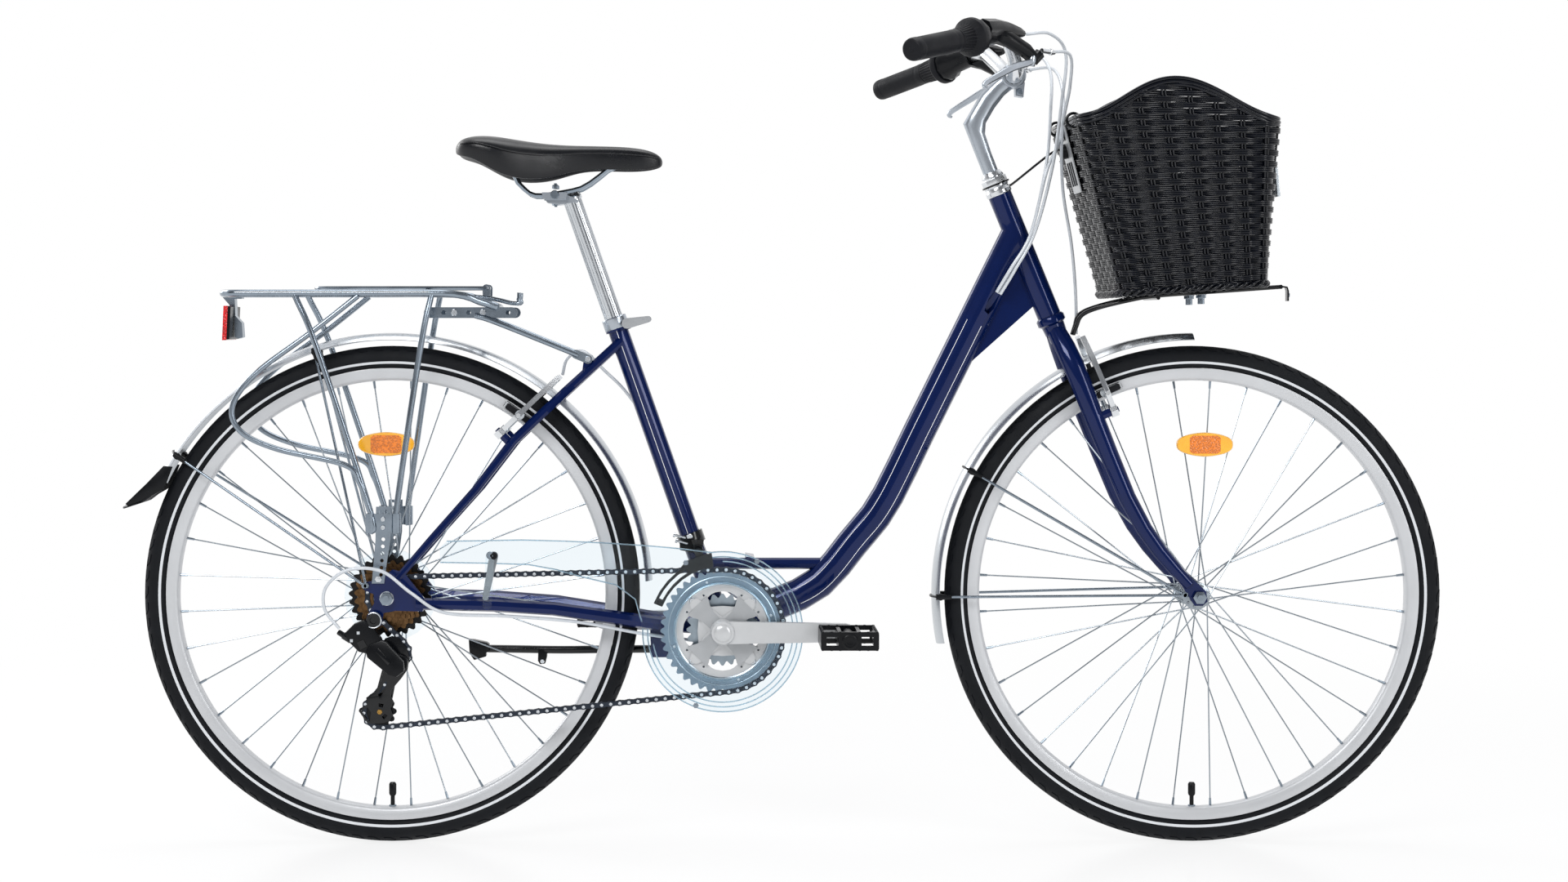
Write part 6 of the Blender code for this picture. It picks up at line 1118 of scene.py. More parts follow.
def crankset():
    """The three rings, the face plate with its windows, the spider and the caps of both cranks."""
    work = bmesh.new()
    toothed(work, CRANK_AXLE, RING_TEETH[0], RING_PLANES[0], [round_hole(CRANK_AXLE, 0.06, 48)])
    finish_mesh(work, "outer_chainring", ring_blue, "crank", replaces=["chainrings"], angle=25)
    work = bmesh.new()
    slots = [oval(CRANK_AXLE, 90 * i, 0.045, 0.046, 0.0205) for i in range(4)]
    small = [round_hole(on_wheel(CRANK_AXLE, 0.056, 45 + 90 * i + d), 0.0016, 8) for i in range(4)
             for d in (-17, 17)]
    slab(work, round_hole(CRANK_AXLE, 0.064, 64), -0.0598, -0.0581,
         slots + small + [round_hole(CRANK_AXLE, 0.012, 24)])
    finish_mesh(work, "chainring_face_plate", silver_paint, "crank", angle=25)
    work = bmesh.new()
    for inside, crown, outside, level, peak in ((0.064, 0.0655, 0.0672, -0.06, -0.0608),
                                                (0.0745, 0.0752, 0.076, -0.0594, -0.0598)):
        lathe(work, [(inside, level), (crown, peak), (outside, level), (outside, -0.0579),
                     (inside, -0.0579)], CRANK_AXLE, SIDE, 72, closed=True)
    finish_mesh(work, "chainring_beads", ring_steel, "crank", angle=25)
    work = bmesh.new()
    windows = [oval(CRANK_AXLE, 90 * i, 0.0462, 0.05, 0.024) for i in range(4)]
    toothed(work, CRANK_AXLE, RING_TEETH[1], RING_PLANES[1], windows + [round_hole(CRANK_AXLE, 0.03, 30)])
    toothed(work, CRANK_AXLE, RING_TEETH[2], RING_PLANES[2], [round_hole(CRANK_AXLE, 0.0335, 30)])
    for radius, near, far in ((0.0632, -0.0561, -0.0504), (0.04, -0.0486, -0.0429)):
        for i in range(4):
            bar(work, on_wheel(CRANK_AXLE, radius, 45 + 90 * i, near),
                on_wheel(CRANK_AXLE, radius, 45 + 90 * i, far), 0.0042, 12)
    finish_mesh(work, "inner_chainrings", ring_steel, "crank", angle=25)
    work = bmesh.new()
    for i in range(4):
        turn = 45 + 90 * i
        edge = ((0.015, 40), (0.03, 20), (0.04, 19), (0.048, 21), (0.0535, 20))
        points = [on_wheel(CRANK_AXLE, radius, turn - spread) for radius, spread in edge]
        points += [on_wheel(CRANK_AXLE, radius, turn + spread) for radius, spread in reversed(edge)]
        slab(work, points, -0.064, -0.0598)
    finish_mesh(work, "spider_arms", spider_grey, "crank", angle=25)
    work = bmesh.new()
    for i in range(4):
        bolt(work, on_wheel(CRANK_AXLE, 0.0592, 45 + 90 * i) - 0.0598 * SIDE, -SIDE, 0.0042, 0.0026)
        bolt(work, on_wheel(CRANK_AXLE, 0.0705, 18 + 90 * i) - 0.0579 * SIDE, -SIDE, 0.0022, 0.0014)
    finish_mesh(work, "chainring_bolts", pin_steel, "crank")
    for side, word in ((-1, "right"), (1, "left")):
        work = bmesh.new()
        lathe(work, [(0, 0), (0.0118, 0), (0.0118, 0.001), (0.01, 0.0024), (0.006, 0.0034), (0, 0.0037)],
              CRANK_AXLE + side * 0.0869 * SIDE, side * SIDE, 32)
        eye = CRANK_AXLE + Vector((-side * CRANK_LENGTH, 0, 0))
        lathe(work, [(0.0048, 0), (0.0098, 0), (0.0104, 0.0006), (0.0098, 0.0014), (0.0048, 0.0014)],
              eye + side * 0.0839 * SIDE, side * SIDE, 28, closed=True)
        finish_mesh(work, "crank_cap_" + word, silver_paint, "crank", angle=35)


crankset()


def cogs():
    work = bmesh.new()
    dark = bmesh.new()
    for i, teeth in enumerate(COG_TEETH):
        inner = pitch_radius(teeth) - 0.0105
        holes = [round_hole(REAR_AXLE, max(inner, 0.0205), 40)]
        largest = teeth == COG_TEETH[-1]
        if largest:
            holes = [round_hole(REAR_AXLE, 0.033, 40)]
            holes += [oval(REAR_AXLE, 30 * k, 0.043, 0.0125, 0.006, 10) for k in range(12)]
        toothed(dark if largest else work, REAR_AXLE, teeth, COG_PLANE + COG_SPACING * i, holes, 0.0038,
                0.0012, 0.13 * i)
    finish_mesh(work, "cogs", cog_steel, "freewheel", replaces=["freewheel"], angle=25)
    lathe(dark, [(0.0172, -0.0622), (0.0205, -0.0622), (0.0212, -0.056), (0.0232, -0.051), (0.0262, -0.046),
                 (0.029, -0.04), (0.033, -0.031), (0.0172, -0.031)], REAR_AXLE, SIDE, 48, closed=True)
    finish_mesh(dark, "largest_cog_and_core", cog_black, "freewheel")
    work = bmesh.new()
    lathe(work, [(0.014, -0.0628), (0.0165, -0.0632), (0.019, -0.0628), (0.019, -0.0615), (0.014, -0.0615)],
          REAR_AXLE, SIDE, 40, closed=True)
    finish_mesh(work, "freewheel_lock_ring", pin_steel, "freewheel")


cogs()


def guard_beads():
    """The raised rims of the clear guard, and its screws."""
    y = -0.0686
    ring = arc(CRANK_AXLE, 0.1108, 178, 280, 64, y)
    upper = [spot(CRANK_AXLE.x + a, CRANK_AXLE.z + b, y) for a, b in ((-0.064, 0.1155), (-0.11, 0.1195),
                                                                      (-0.165, 0.123), (-0.22, 0.1255),
                                                                      (-0.277, 0.127), (-0.382, 0.1252))]
    lower = [spot(CRANK_AXLE.x + a, CRANK_AXLE.z + b, y) for a, b in ((-0.391, 0.096), (-0.33, 0.095),
                                                                      (-0.269, 0.093), (-0.23, 0.086),
                                                                      (-0.197, 0.0765), (-0.148, 0.065),
                                                                      (-0.121, 0.045), (-0.112, 0.014))]
    pipe("guard_rims", [ring + upper, lower, arc(CRANK_AXLE, 0.104, 178, 280, 64, y - 0.0006),
                        arc(CRANK_AXLE, 0.0675, 0, 360, 64, y), arc(CRANK_AXLE, 0.0975, 190, 260, 64, y)],
         0.0009, clear_edge, "frame", 8)
    work = bmesh.new()
    upper_end = spot(CRANK_AXLE.x - 0.322, CRANK_AXLE.z + 0.106)
    bolt(work, upper_end - 0.0706 * SIDE, -SIDE, 0.0052, 0.0024, 0.35)
    for turn in (64, 118, 250):
        place = on_wheel(CRANK_AXLE, 0.1085, turn)
        nut(work, place - 0.069 * SIDE, -SIDE, 0.004, 0.003)
    finish_mesh(work, "guard_screws", plated, "frame")


guard_beads()


# Stem, post and grips


def stem_piece():
    """The forged stem: a quill, a sharp elbow and an arm that widens to the bar clamp."""
    stations = [
        ((0.2998, 0.901), (0.3198, 0.909), 0.0108),
        ((0.2845, 0.938), (0.3048, 0.945), 0.011),
        ((0.27, 0.9745), (0.2955, 0.969), 0.0116),
        ((0.2556, 1.011), (0.2865, 0.996), 0.0122),
        ((0.265, 1.027), (0.2872, 1.011), 0.012),
        ((0.28, 1.053), (0.3, 1.033), 0.0122),
        ((0.296, 1.07), (0.313, 1.05), 0.0128),
        ((0.311, 1.082), (0.326, 1.061), 0.0136),
    ]
    work = bmesh.new()
    rings = []
    for (bx, bz), (fx, fz), half in stations:
        back, front = spot(bx, bz), spot(fx, fz)
        middle = (back + front) / 2
        reach = (front - back) / 2
        ring = []
        for i in range(28):
            t = math.tau * i / 28
            c = bent(math.cos(t), 0.72)
            s = bent(math.sin(t), 0.72)
            ring.append(work.verts.new(middle + c * reach + s * half * SIDE))
        rings.append(ring)
    skin(work, rings)
    quill = STEER_FOOT + 0.553 * STEER_UP
    lathe(work, [(0, 0), (0.0106, 0), (0.0108, 0.001), (0.0108, 0.072), (0, 0.072)], quill, STEER_UP, 32)
    finish_mesh(work, "stem_body", stem_alloy, "steering", replaces=["stem"], angle=38)
    centre = spot(0.325, 1.078)
    work = bmesh.new()
    lathe(work, [(0.0129, -0.019), (0.016, -0.019), (0.0175, -0.0175), (0.0175, 0.0175), (0.016, 0.019),
                 (0.0129, 0.019)], centre, SIDE, 40, closed=True)
    slab(work, [centre + Vector(v) for v in ((0.003, 0, -0.012), (0.0165, 0, -0.009), (0.0145, 0, -0.0305),
                                             (0.0035, 0, -0.0285))], -0.01, 0.01)
    finish_mesh(work, "stem_clamp", stem_alloy, "steering", angle=38)
    work = bmesh.new()
    bolt(work, centre + Vector((0.009, -0.01, -0.0225)), -SIDE, 0.0046, 0.0036)
    nut(work, centre + Vector((0.009, 0.01, -0.0225)), SIDE, 0.005, 0.0034)
    bolt(work, spot(0.261, 1.0135), Vector((-0.45, 0, 0.9)), 0.004, 0.0016)
    finish_mesh(work, "stem_bolts", plated, "steering")


stem_piece()


def seatpost_piece():
    """A fluted post, the saddle's cradle with its bolts, and the collar of the seat tube."""
    work = bmesh.new()
    foot = SEAT_TUBE_TOP - 0.15 * SEAT_UP
    top = SEAT_TUBE_TOP + 0.178 * SEAT_UP
    steps = 96
    across = SEAT_UP.cross(SIDE).normalized()
    rings = []
    for place in (foot, SEAT_TUBE_TOP + 0.001 * SEAT_UP, top - 0.006 * SEAT_UP, top):
        smooth_end = place is foot or place is top
        ring = []
        for i in range(steps):
            t = math.tau * i / steps
            groove = 0 if smooth_end else 0.0009 * max(0, math.cos(12 * t)) ** 2
            ring.append(work.verts.new(place + (0.0132 - groove)
                                       * (math.cos(t) * SIDE + math.sin(t) * across)))
        rings.append(ring)
    skin(work, rings)
    lathe(work, [(0, 0), (0.0142, 0), (0.0146, 0.001), (0.0146, 0.005), (0.0132, 0.0065), (0.0125, 0.01),
                 (0, 0.01)], top - 0.002 * SEAT_UP, SEAT_UP, 40)
    finish_mesh(work, "seatpost_tube", post_alloy, "seat", replaces=["seatpost"], angle=60)
    work = bmesh.new()
    slab(work, spots((-0.3055, 0.9115), (-0.284, 0.901), (-0.2975, 0.8985), (-0.314, 0.896), (-0.33, 0.899),
                     (-0.3355, 0.908), (-0.335, 0.9115)), -0.018, 0.018)
    for side in (1, -1):
        slab(work, spots((-0.337, 0.913), (-0.301, 0.913), (-0.303, 0.9035), (-0.336, 0.9035)), side * 0.017,
             side * 0.0262)
    finish_mesh(work, "saddle_cradle", stem_alloy, "seat", angle=35)
    work = bmesh.new()
    lathe(work, [(0, -0.029), (0.0052, -0.029), (0.006, -0.028), (0.006, 0.028), (0.0052, 0.029), (0, 0.029)],
          spot(-0.319, 0.91), SIDE, 20)
    nut(work, spot(-0.319, 0.8995), -UP, 0.0052, 0.004)
    for side in (1, -1):
        nut(work, spot(-0.319, 0.919, side * 0.01), UP, 0.0046, 0.005)
    finish_mesh(work, "cradle_bolts", plated, "seat")
    work = bmesh.new()
    collar = SEAT_TUBE_TOP - 0.015 * SEAT_UP
    lathe(work, [(0.0144, 0), (0.0172, 0), (0.0176, 0.0006), (0.0176, 0.015), (0.0166, 0.0164),
                 (0.0136, 0.0164)], collar, SEAT_UP, 48, closed=True)
    finish_mesh(work, "seat_collar", stem_alloy, "frame", angle=35)


seatpost_piece()


def grips():
    """A ribbed sleeve and a fluted twist sleeve at each end of the bar."""
    for side, word in ((1, "left"), (-1, "right")):
        tip = sided(GRIP_END, side)
        inward = -sided(GRIP_OUTWARD, side)
        aside = SIDE.cross(inward).normalized()
        third = inward.cross(aside)
        work = bmesh.new()
        steps = 72
        rings = []
        rows = [(-0.004, 0.01, 0), (-0.004, 0.0128, 0), (-0.003, 0.0145, 0), (0.0, 0.0153, 0)]
        for k in range(46):
            along = 0.002 + 0.094 * k / 45
            band = 0.0003 if along < 0.01 or along > 0.088 else 0.0
            ribs = 0.00055 * (k % 2) if 0.012 < along < 0.086 else 0.0
            rows.append((along, 0.0152 + band, ribs))
        rows += [(0.0972, 0.0155, 0), (0.098, 0.0148, 0)]
        for along, radius, ribs in rows:
            ring = []
            for i in range(steps):
                t = math.tau * i / steps
                panel = max(0.0, math.cos(3 * t)) ** 0.5
                r = radius + ribs * panel - 0.0003 * (1 - panel) * (1 if ribs else 0)
                ring.append(work.verts.new(tip + along * inward + r
                                           * (math.cos(t) * aside + math.sin(t) * third)))
            rings.append(ring)
        skin(work, rings)
        lathe(work, [(0, 0), (0.003, 0), (0.0036, 0.0006), (0, 0.0006)], tip - 0.0046 * inward, inward, 16)
        finish_mesh(work, "grip_sleeve_" + word, grip_rubber, "steering",
                    replaces=["grip_" + word])
        work = bmesh.new()
        rings = []
        flutes = 26
        steps = flutes * 4
        start = 0.0983
        for along, radius, ribs in ((start, 0.015, 0), (start + 0.0008, 0.0157, 0),
                                    (start + 0.003, 0.0157, 0), (start + 0.0036, 0.0153, 1),
                                    (start + 0.012, 0.0158, 1), (start + 0.025, 0.0172, 1),
                                    (start + 0.0262, 0.0185, 0), (start + 0.03, 0.0235, 0),
                                    (start + 0.0335, 0.0262, 0), (start + 0.04, 0.0265, 0),
                                    (start + 0.042, 0.0255, 0)):
            ring = []
            for i in range(steps):
                t = math.tau * i / steps
                lift = 0.0008 * ribs * (1 if i % 4 in (0, 1) else -0.3)
                ring.append(work.verts.new(tip + along * inward + (radius + lift)
                                           * (math.cos(t) * aside + math.sin(t) * third)))
            rings.append(ring)
        skin(work, rings)
        finish_mesh(work, "twist_sleeve_" + word, grip_rubber, "twist_" + word,
                    replaces=["twist_shifter_" + word])


grips()


# Pedals


def pedal(word, side):
    """A caged pedal with its studs, cap and spindle flats."""
    eye = CRANK_AXLE + Vector((-side * CRANK_LENGTH, 0, 0))
    near, far = side * 0.094, side * 0.182
    work = bmesh.new()
    name = "pedal_" + word
    lathe(work, [(0.0052, 0), (0.0088, 0), (0.0092, 0.002), (0.009, 0.082), (0.011, 0.083), (0.0115, 0.0868),
                 (0.01, 0.088), (0.0052, 0.088)], eye + near * SIDE, side * SIDE, 28, closed=True)
    lathe(work, [(0, 0.0866), (0.01, 0.0866), (0.01, 0.0876), (0.0085, 0.0884), (0.006, 0.0878), (0, 0.0878)],
          eye + near * SIDE, side * SIDE, 28)
    for end in (near + side * 0.003, far - side * 0.0035):
        outline = [eye + Vector(v) for v in (
            (-0.039, 0, -0.0095), (-0.0375, 0, -0.0125), (0.0375, 0, -0.0125), (0.039, 0, -0.0095),
            (0.039, 0, 0.0095), (0.0375, 0, 0.0125), (-0.0375, 0, 0.0125), (-0.039, 0, 0.0095))]
        windows = []
        for s in (1, -1):
            windows.append([eye + Vector((s * a, 0, b)) for a, b in ((0.0155, -0.006), (0.0315, -0.006),
                                                                     (0.0315, 0.006), (0.0155, 0.006))])
        slab(work, outline, end - 0.0025, end + 0.0025, windows + [round_hole(eye, 0.006, 16)])
    for s in (1, -1):
        for x in (0.0365, 0.013):
            low, high = sorted((near + side * 0.004, far - side * 0.004))
            corners = [eye + Vector((s * a, 0, b)) for a, b in (
                (x - 0.0025, -0.011), (x + 0.0025, -0.011), (x + 0.0025, 0.011), (x - 0.0025, 0.011))]
            slab(work, corners, low, high)
        for k in range(9):
            y = near + side * (0.01 + 0.0085 * k)
            for z in (0.011, -0.011):
                bar(work, eye + Vector((s * 0.0365, y, z)), eye + Vector((s * 0.0365, y, z * 1.18)), 0.0022,
                    6, 0.0014)
        for x in (0.013, 0.0245, 0.0365):
            for z in (0.0115, -0.0115):
                for end in (near + side * 0.003, far - side * 0.0035):
                    bar(work, eye + Vector((s * x, end, z)), eye + Vector((s * x, end, z * 1.125)), 0.0021,
                        6, 0.0015)
    finish_mesh(work, name + "_cage", moulded, name, replaces=[name])
    work = bmesh.new()
    disc(work, 0.0046, 0, 0.011, eye + side * 0.0835 * SIDE, side * SIDE, 20)
    nut(work, eye + side * 0.086 * SIDE, side * SIDE, 0.0078, 0.0045)
    finish_mesh(work, name + "_spindle_flats", plated, "crank")


pedal("right", -1)
pedal("left", 1)


# Rack and rear reflector


def rack():
    """The wire platform and stays, with the plates and bolts that hold them."""
    r, z, half = 0.005, 0.7715, 0.062
    rear_x, front_x = -0.783, -0.4
    work = bmesh.new()
    left = smooth([
        spot(front_x, z - 0.0195, half * 0.62), spot(front_x - 0.02, z - 0.0125, half * 0.8),
        spot(front_x - 0.062, z - 0.001, half), spot(rear_x + 0.2, z, half), spot(rear_x + 0.04, z, half),
        spot(rear_x + 0.01, z, half * 0.82), spot(rear_x, z, half * 0.45), spot(rear_x, z, 0)], 34)
    tube(work, left + [sided(p, -1) for p in reversed(left[:-1])], r, 14)
    tube(work, [left[0], sided(left[0], -1)], r * 0.96, 14)
    for x in (-0.71, -0.495):
        tube(work, [spot(x, z, half), spot(x, z, -half)], r * 0.8, 12)
    strip_z, strip_y = z - 0.027, half * 0.62 - 0.006
    plates = bmesh.new()
    bolts = bmesh.new()
    for side in (1, -1):
        hook = [spot(rear_x, z, side * 0.02), spot(front_x - 0.06, z - 0.003, side * 0.02),
                spot(front_x + 0.023, z - 0.014, side * 0.02), spot(front_x + 0.03, z - 0.008, side * 0.02),
                spot(front_x + 0.031, z + 0.001, side * 0.02)]
        tube(work, smooth(hook, 24), r * 0.6, 12)
        ear_foot = spot(-0.415, z - 0.009)
        hinge = spot(-0.415, 0.7788)
        slab(plates, pill(ear_foot, hinge, 0.005, 0.0055), side * 0.0185, side * 0.0215,
             [round_hole(hinge, 0.0033, 12)])
        slab(plates, pill(spot(-0.494, strip_z), spot(-0.378, strip_z), 0.0075, 0.0075), side * strip_y,
             side * (strip_y + 0.002), [round_hole(spot(x, strip_z), 0.0034, 12)
                                        for x in (-0.49, -0.474, -0.459, -0.439, -0.419, -0.384)])
        for x in (-0.459, -0.419):
            bolt(bolts, spot(x, strip_z, side * (strip_y + 0.002)), side * SIDE, 0.0048, 0.003)
        strut = [spot(-0.43, strip_z - 0.004, side * (strip_y + 0.0055)),
                 spot(-0.399, strip_z - 0.014, side * (strip_y + 0.005)),
                 spot(-0.286, 0.685, side * (SEATSTAY_LUG_Y + 0.0015))]
        tube(work, smooth(strut, 10), 0.004, 12)
        slab(plates, pill(spot(-0.289, 0.6862), spot(-0.2722, 0.6792), 0.0062, 0.0062), side * SEATSTAY_LUG_Y,
             side * (SEATSTAY_LUG_Y + 0.0025))
        bolt(bolts, spot(-0.2722, 0.6792, side * (SEATSTAY_LUG_Y + 0.002)), side * SIDE, 0.0046, 0.0036)
        foot_y = side * 0.0738
        for top_x, mid_x in ((-0.678, -0.5715), (-0.488, -0.535)):
            route = [spot(top_x, z - 0.002, side * (half + 0.001)),
                     spot(top_x + (mid_x - top_x) * 0.3, z - 0.075, side * (half + 0.01)),
                     spot(mid_x, 0.472, side * 0.0775), spot(mid_x, 0.439, side * 0.0775)]
            tube(work, smooth(route, 22), r * 0.85, 12)
        holes = [round_hole(spot(-0.5533 - 0.0006 * k, 0.431 - 0.0098 * k), 0.0026, 12) for k in range(6)]
        slots = [pill(spot(-0.557, 0.464), spot(-0.557, 0.47), 0.0022, 0.0022, 5),
                 pill(spot(-0.55, 0.464), spot(-0.55, 0.47), 0.0022, 0.0022, 5)]
        slab(plates, spots((-0.5632, 0.476), (-0.5432, 0.476), (-0.544, 0.43), (-0.552, 0.37),
                           (-0.569, 0.37), (-0.564, 0.43)), foot_y, foot_y + side * 0.0022, holes + slots)
        clamp = spots((-0.5765, 0.4665), (-0.53, 0.4665), (-0.53, 0.44), (-0.5765, 0.44))
        slab(plates, clamp, side * 0.0762, side * 0.0788)
        for x in (-0.5745, -0.532):
            washer(plates, 0.0044, 0.0062, 0, 0.027, spot(x + (0.003 if x < -0.55 else -0.003), 0.4398,
                                                          side * 0.0775), UP, 20)
        for level in (0.459, 0.4475):
            bolt(bolts, spot(-0.5533, level, side * 0.0788), side * SIDE, 0.0036, 0.0022)
        nut(bolts, spot(-0.56, 0.376, foot_y + side * 0.0022), side * SIDE, 0.005, 0.003)
        loop = [spot(-0.59, z - 0.004, side * (half + 0.002)), spot(-0.65, 0.72, side * (half + 0.006)),
                spot(-0.73, 0.66, side * (half + 0.01)), spot(-0.762, 0.615, side * (half + 0.012)),
                spot(-0.75, 0.58, side * (half + 0.014)), spot(-0.7, 0.556, side * (half + 0.015)),
                spot(-0.606, 0.534, side * (half + 0.016)), spot(-0.585, 0.508, side * (half + 0.0165)),
                spot(-0.5715, 0.47, side * (half + 0.0165))]
        tube(work, smooth(loop, 60), r * 0.8, 12)
    finish_mesh(work, "rack_wires", plated, "frame", replaces=["rear_rack"], angle=40)
    finish_mesh(plates, "rack_plates", plated, "frame")
    finish_mesh(bolts, "rack_bolts", pin_steel, "frame")


rack()


def rear_reflector():
    work = bmesh.new()
    slab(work, spots((-0.7805, 0.754), (-0.7745, 0.754), (-0.7765, 0.706), (-0.7825, 0.706)), -0.04, 0.04)
    finish_mesh(work, "rear_reflector_lens", red_lens, "frame", replaces=["rear_reflector"])
    work = bmesh.new()
    slab(work, spots((-0.7745, 0.7532), (-0.7705, 0.7525), (-0.7725, 0.7075), (-0.7765, 0.7068)), -0.039,
         0.039)
    finish_mesh(work, "rear_reflector_back", moulded, "frame")
    work = bmesh.new()
    slab(work, spots((-0.778, 0.756), (-0.787, 0.7662), (-0.76, 0.7662), (-0.76, 0.764), (-0.77, 0.764),
                     (-0.769, 0.74), (-0.76, 0.73), (-0.7585, 0.71), (-0.764, 0.708), (-0.77, 0.71),
                     (-0.7705, 0.744)), -0.01, 0.01)
    nut(work, spot(-0.769, 0.73), Vector((1, 0, 0.05)), 0.005, 0.004)
    finish_mesh(work, "rear_reflector_bracket", plated, "frame")


rear_reflector()


# Pinstripes


def on_tube(path, share, offset, half_depth, half_width, side):
    """Points on an oval tube's flank, beside its centre line."""
    points = []
    count = len(path)
    for i in range(count):
        way = (path[min(i + 1, count - 1)] - path[max(i - 1, 0)]).normalized()
        up = Vector((-way.z, 0, way.x))
        level = half_width * math.sqrt(max(0.0, 1 - (offset / half_depth) ** 2))
        points.append(path[i] + offset * up + Vector((0, side * (level + 0.00015), 0)))
    first, last = (int(count * s) for s in share)
    return points[first:last]


def pinstripes():
    """Two thin lines on the down tube and one on the seat tube, on both flanks."""
    meet = STEER_FOOT + 0.5602 * STEER_UP
    slope = Vector((-0.4447, 0, -0.8957))
    down = smooth([meet, meet + 0.15 * slope, meet + 0.3 * slope, meet + 0.42 * slope, meet + 0.42 * slope
                   + Vector((-0.04, 0, -0.052)), CRANK_AXLE + Vector((0.133, 0, 0.059)),
                   CRANK_AXLE + Vector((0.06, 0, 0.025))], 60)
    lines = []
    for side in (1, -1):
        lines.append(on_tube(down, (0.16, 0.9), 0.011, 0.023, 0.017, side))
        lines.append(on_tube(down, (0.16, 0.9), -0.011, 0.023, 0.017, side))
        seat = [CRANK_AXLE + (0.115 + 0.335 * i / 20) * SEAT_UP for i in range(21)]
        lines.append(on_tube(seat, (0.0, 1.0), 0.002, 0.0143, 0.0141, side))
    pipe("pinstripes", lines, 0.00045, white_line, "frame", 6)


pinstripes()


# Cables

PORT = spot(0.322, 0.805, -0.029)
PORT_INNER = spot(0.3031, 0.7718, -0.0195)
PORT_ACROSS = Vector((0.869, 0, -0.495))
OUTLET = spot(0.035, 0.357, 0.029)
OUTLET_INNER = spot(0.0584, 0.3768, 0.0132)
OUTLET_ACROSS = Vector((0.646, 0, -0.763))


def housing(name, head, tail, lift, aside):
    """The two visible ends of a cable that runs inside the down tube."""
    entry = [place + lift * PORT_ACROSS + aside * SIDE for place in (PORT, PORT_INNER)]
    upper = bmesh.new()
    tube(upper, smooth([*head, *entry], 90), CABLE_RADIUS, 10)
    piece = finish_mesh(upper, name + "_upper", cable_skin, None, replaces=[name], angle=60)
    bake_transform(piece)
    leaving = [place + lift * OUTLET_ACROSS + aside * SIDE for place in (OUTLET_INNER, OUTLET)]
    lower = bmesh.new()
    tube(lower, smooth([*leaving, *tail], 110), CABLE_RADIUS, 10)
    finish_mesh(lower, name + "_lower", cable_skin, "frame", angle=60)


def cables():
    """Four housings, from the shifters and levers to the brakes and derailleurs."""
    left_pod = GRIP_END + Vector((0.1693, -0.1855, 0.04))
    right_pod = sided(left_pod, -1)
    left_lever = GRIP_END + Vector((0.1978, -0.167, 0.014))
    right_lever = sided(left_lever, -1)
    along_the_stay = [CRANK_AXLE + Vector(v) for v in ((0.07, 0.029, 0.018), (0.03, 0.023, -0.013),
                                                       (0.0, 0.01, -0.0262), (-0.05, -0.018, -0.017),
                                                       (-0.115, -0.035, -0.006), (-0.205, -0.047, 0.0115),
                                                       (-0.3, -0.058, 0.0205), (-0.385, -0.074, 0.027))]
    round_to_the_derailleur = [behind(0.0358, 0.009, -0.09), behind(-0.0042, 0.04, -0.098),
                               behind(-0.05, 0.042, -0.1), behind(-0.08, 0.019, -0.0985),
                               behind(-0.083, -0.012, -0.094), behind(-0.064, -0.04, -0.086)]
    housing("rear_gear_cable", [right_pod, ahead(-0.2117, 0.778, -0.096), ahead(-0.1857, 0.753, -0.062),
                                ahead(-0.1897, 0.681, -0.04), ahead(-0.2007, 0.599, -0.034),
                                ahead(-0.2247, 0.508, -0.031)], along_the_stay + round_to_the_derailleur,
            0.003, -0.0018)
    housing(
        "rear_brake_cable",
        [left_lever, ahead(-0.1827, 0.747, 0.09), ahead(-0.1767, 0.701, 0.03), ahead(-0.1877, 0.641, -0.016),
         ahead(-0.2082, 0.593, -0.03), ahead(-0.2309, 0.505, -0.0305)],
        [spot(0.0, 0.35, 0.0272), spot(-0.06, 0.366, 0.0268), spot(-0.1194, 0.3908, 0.0222),
         spot(-0.1491, 0.4811, 0.0224), spot(-0.189, 0.5836, 0.0208), spot(-0.2194, 0.6312, 0.0154),
         spot(-0.2501, 0.6628, 0.0026), spot(-0.28, 0.69, 0.003), spot(-0.303, 0.68, 0.018),
         spot(-0.3108, 0.6566, 0.0265)],
        -0.003, -0.0018)
    housing(
        "front_gear_cable",
        [left_pod, ahead(-0.2137, 0.774, 0.09), ahead(-0.1927, 0.741, 0.05), ahead(-0.1987, 0.671, 0.005),
         ahead(-0.2077, 0.601, -0.018), ahead(-0.2287, 0.509, -0.0235)],
        [spot(0.0, 0.333, 0.0345), spot(-0.052, 0.335, 0.033), spot(-0.0945, 0.3678, 0.0191),
         spot(-0.1069, 0.392, 0.0155), spot(-0.1171, 0.4209, 0.0154)],
        0.0, 0.0034)
    work = bmesh.new()
    front = [right_lever, ahead(-0.1857, 0.749, -0.1), ahead(-0.1797, 0.711, -0.06),
             ahead(-0.1857, 0.651, -0.025), ahead(-0.1817, 0.571, 0.0), ahead(-0.1677, 0.491, 0.012),
             ahead(-0.1607, 0.421, 0.02), spot(0.4184, 0.7141, 0.0235)]
    tube(work, smooth(front, 110), CABLE_RADIUS, 10)
    finish_mesh(work, "front_brake_housing", cable_skin, "steering",
                replaces=["front_brake_cable"], angle=60)
    work = bmesh.new()
    for lever, after in ((left_lever, ahead(-0.1827, 0.747, 0.09)),
                         (right_lever, ahead(-0.1857, 0.749, -0.1))):
        way = (after - lever).normalized()
        lathe(work, [(0, -0.015), (0.0034, -0.015), (0.0034, 0.0025), (0.0044, 0.003), (0.0044, 0.0065),
                     (0.0032, 0.0075), (0.0032, 0.012), (0, 0.012)], lever, way, 14)
    finish_mesh(work, "barrel_adjusters", alloy, "steering")


cables()


# Brake levers


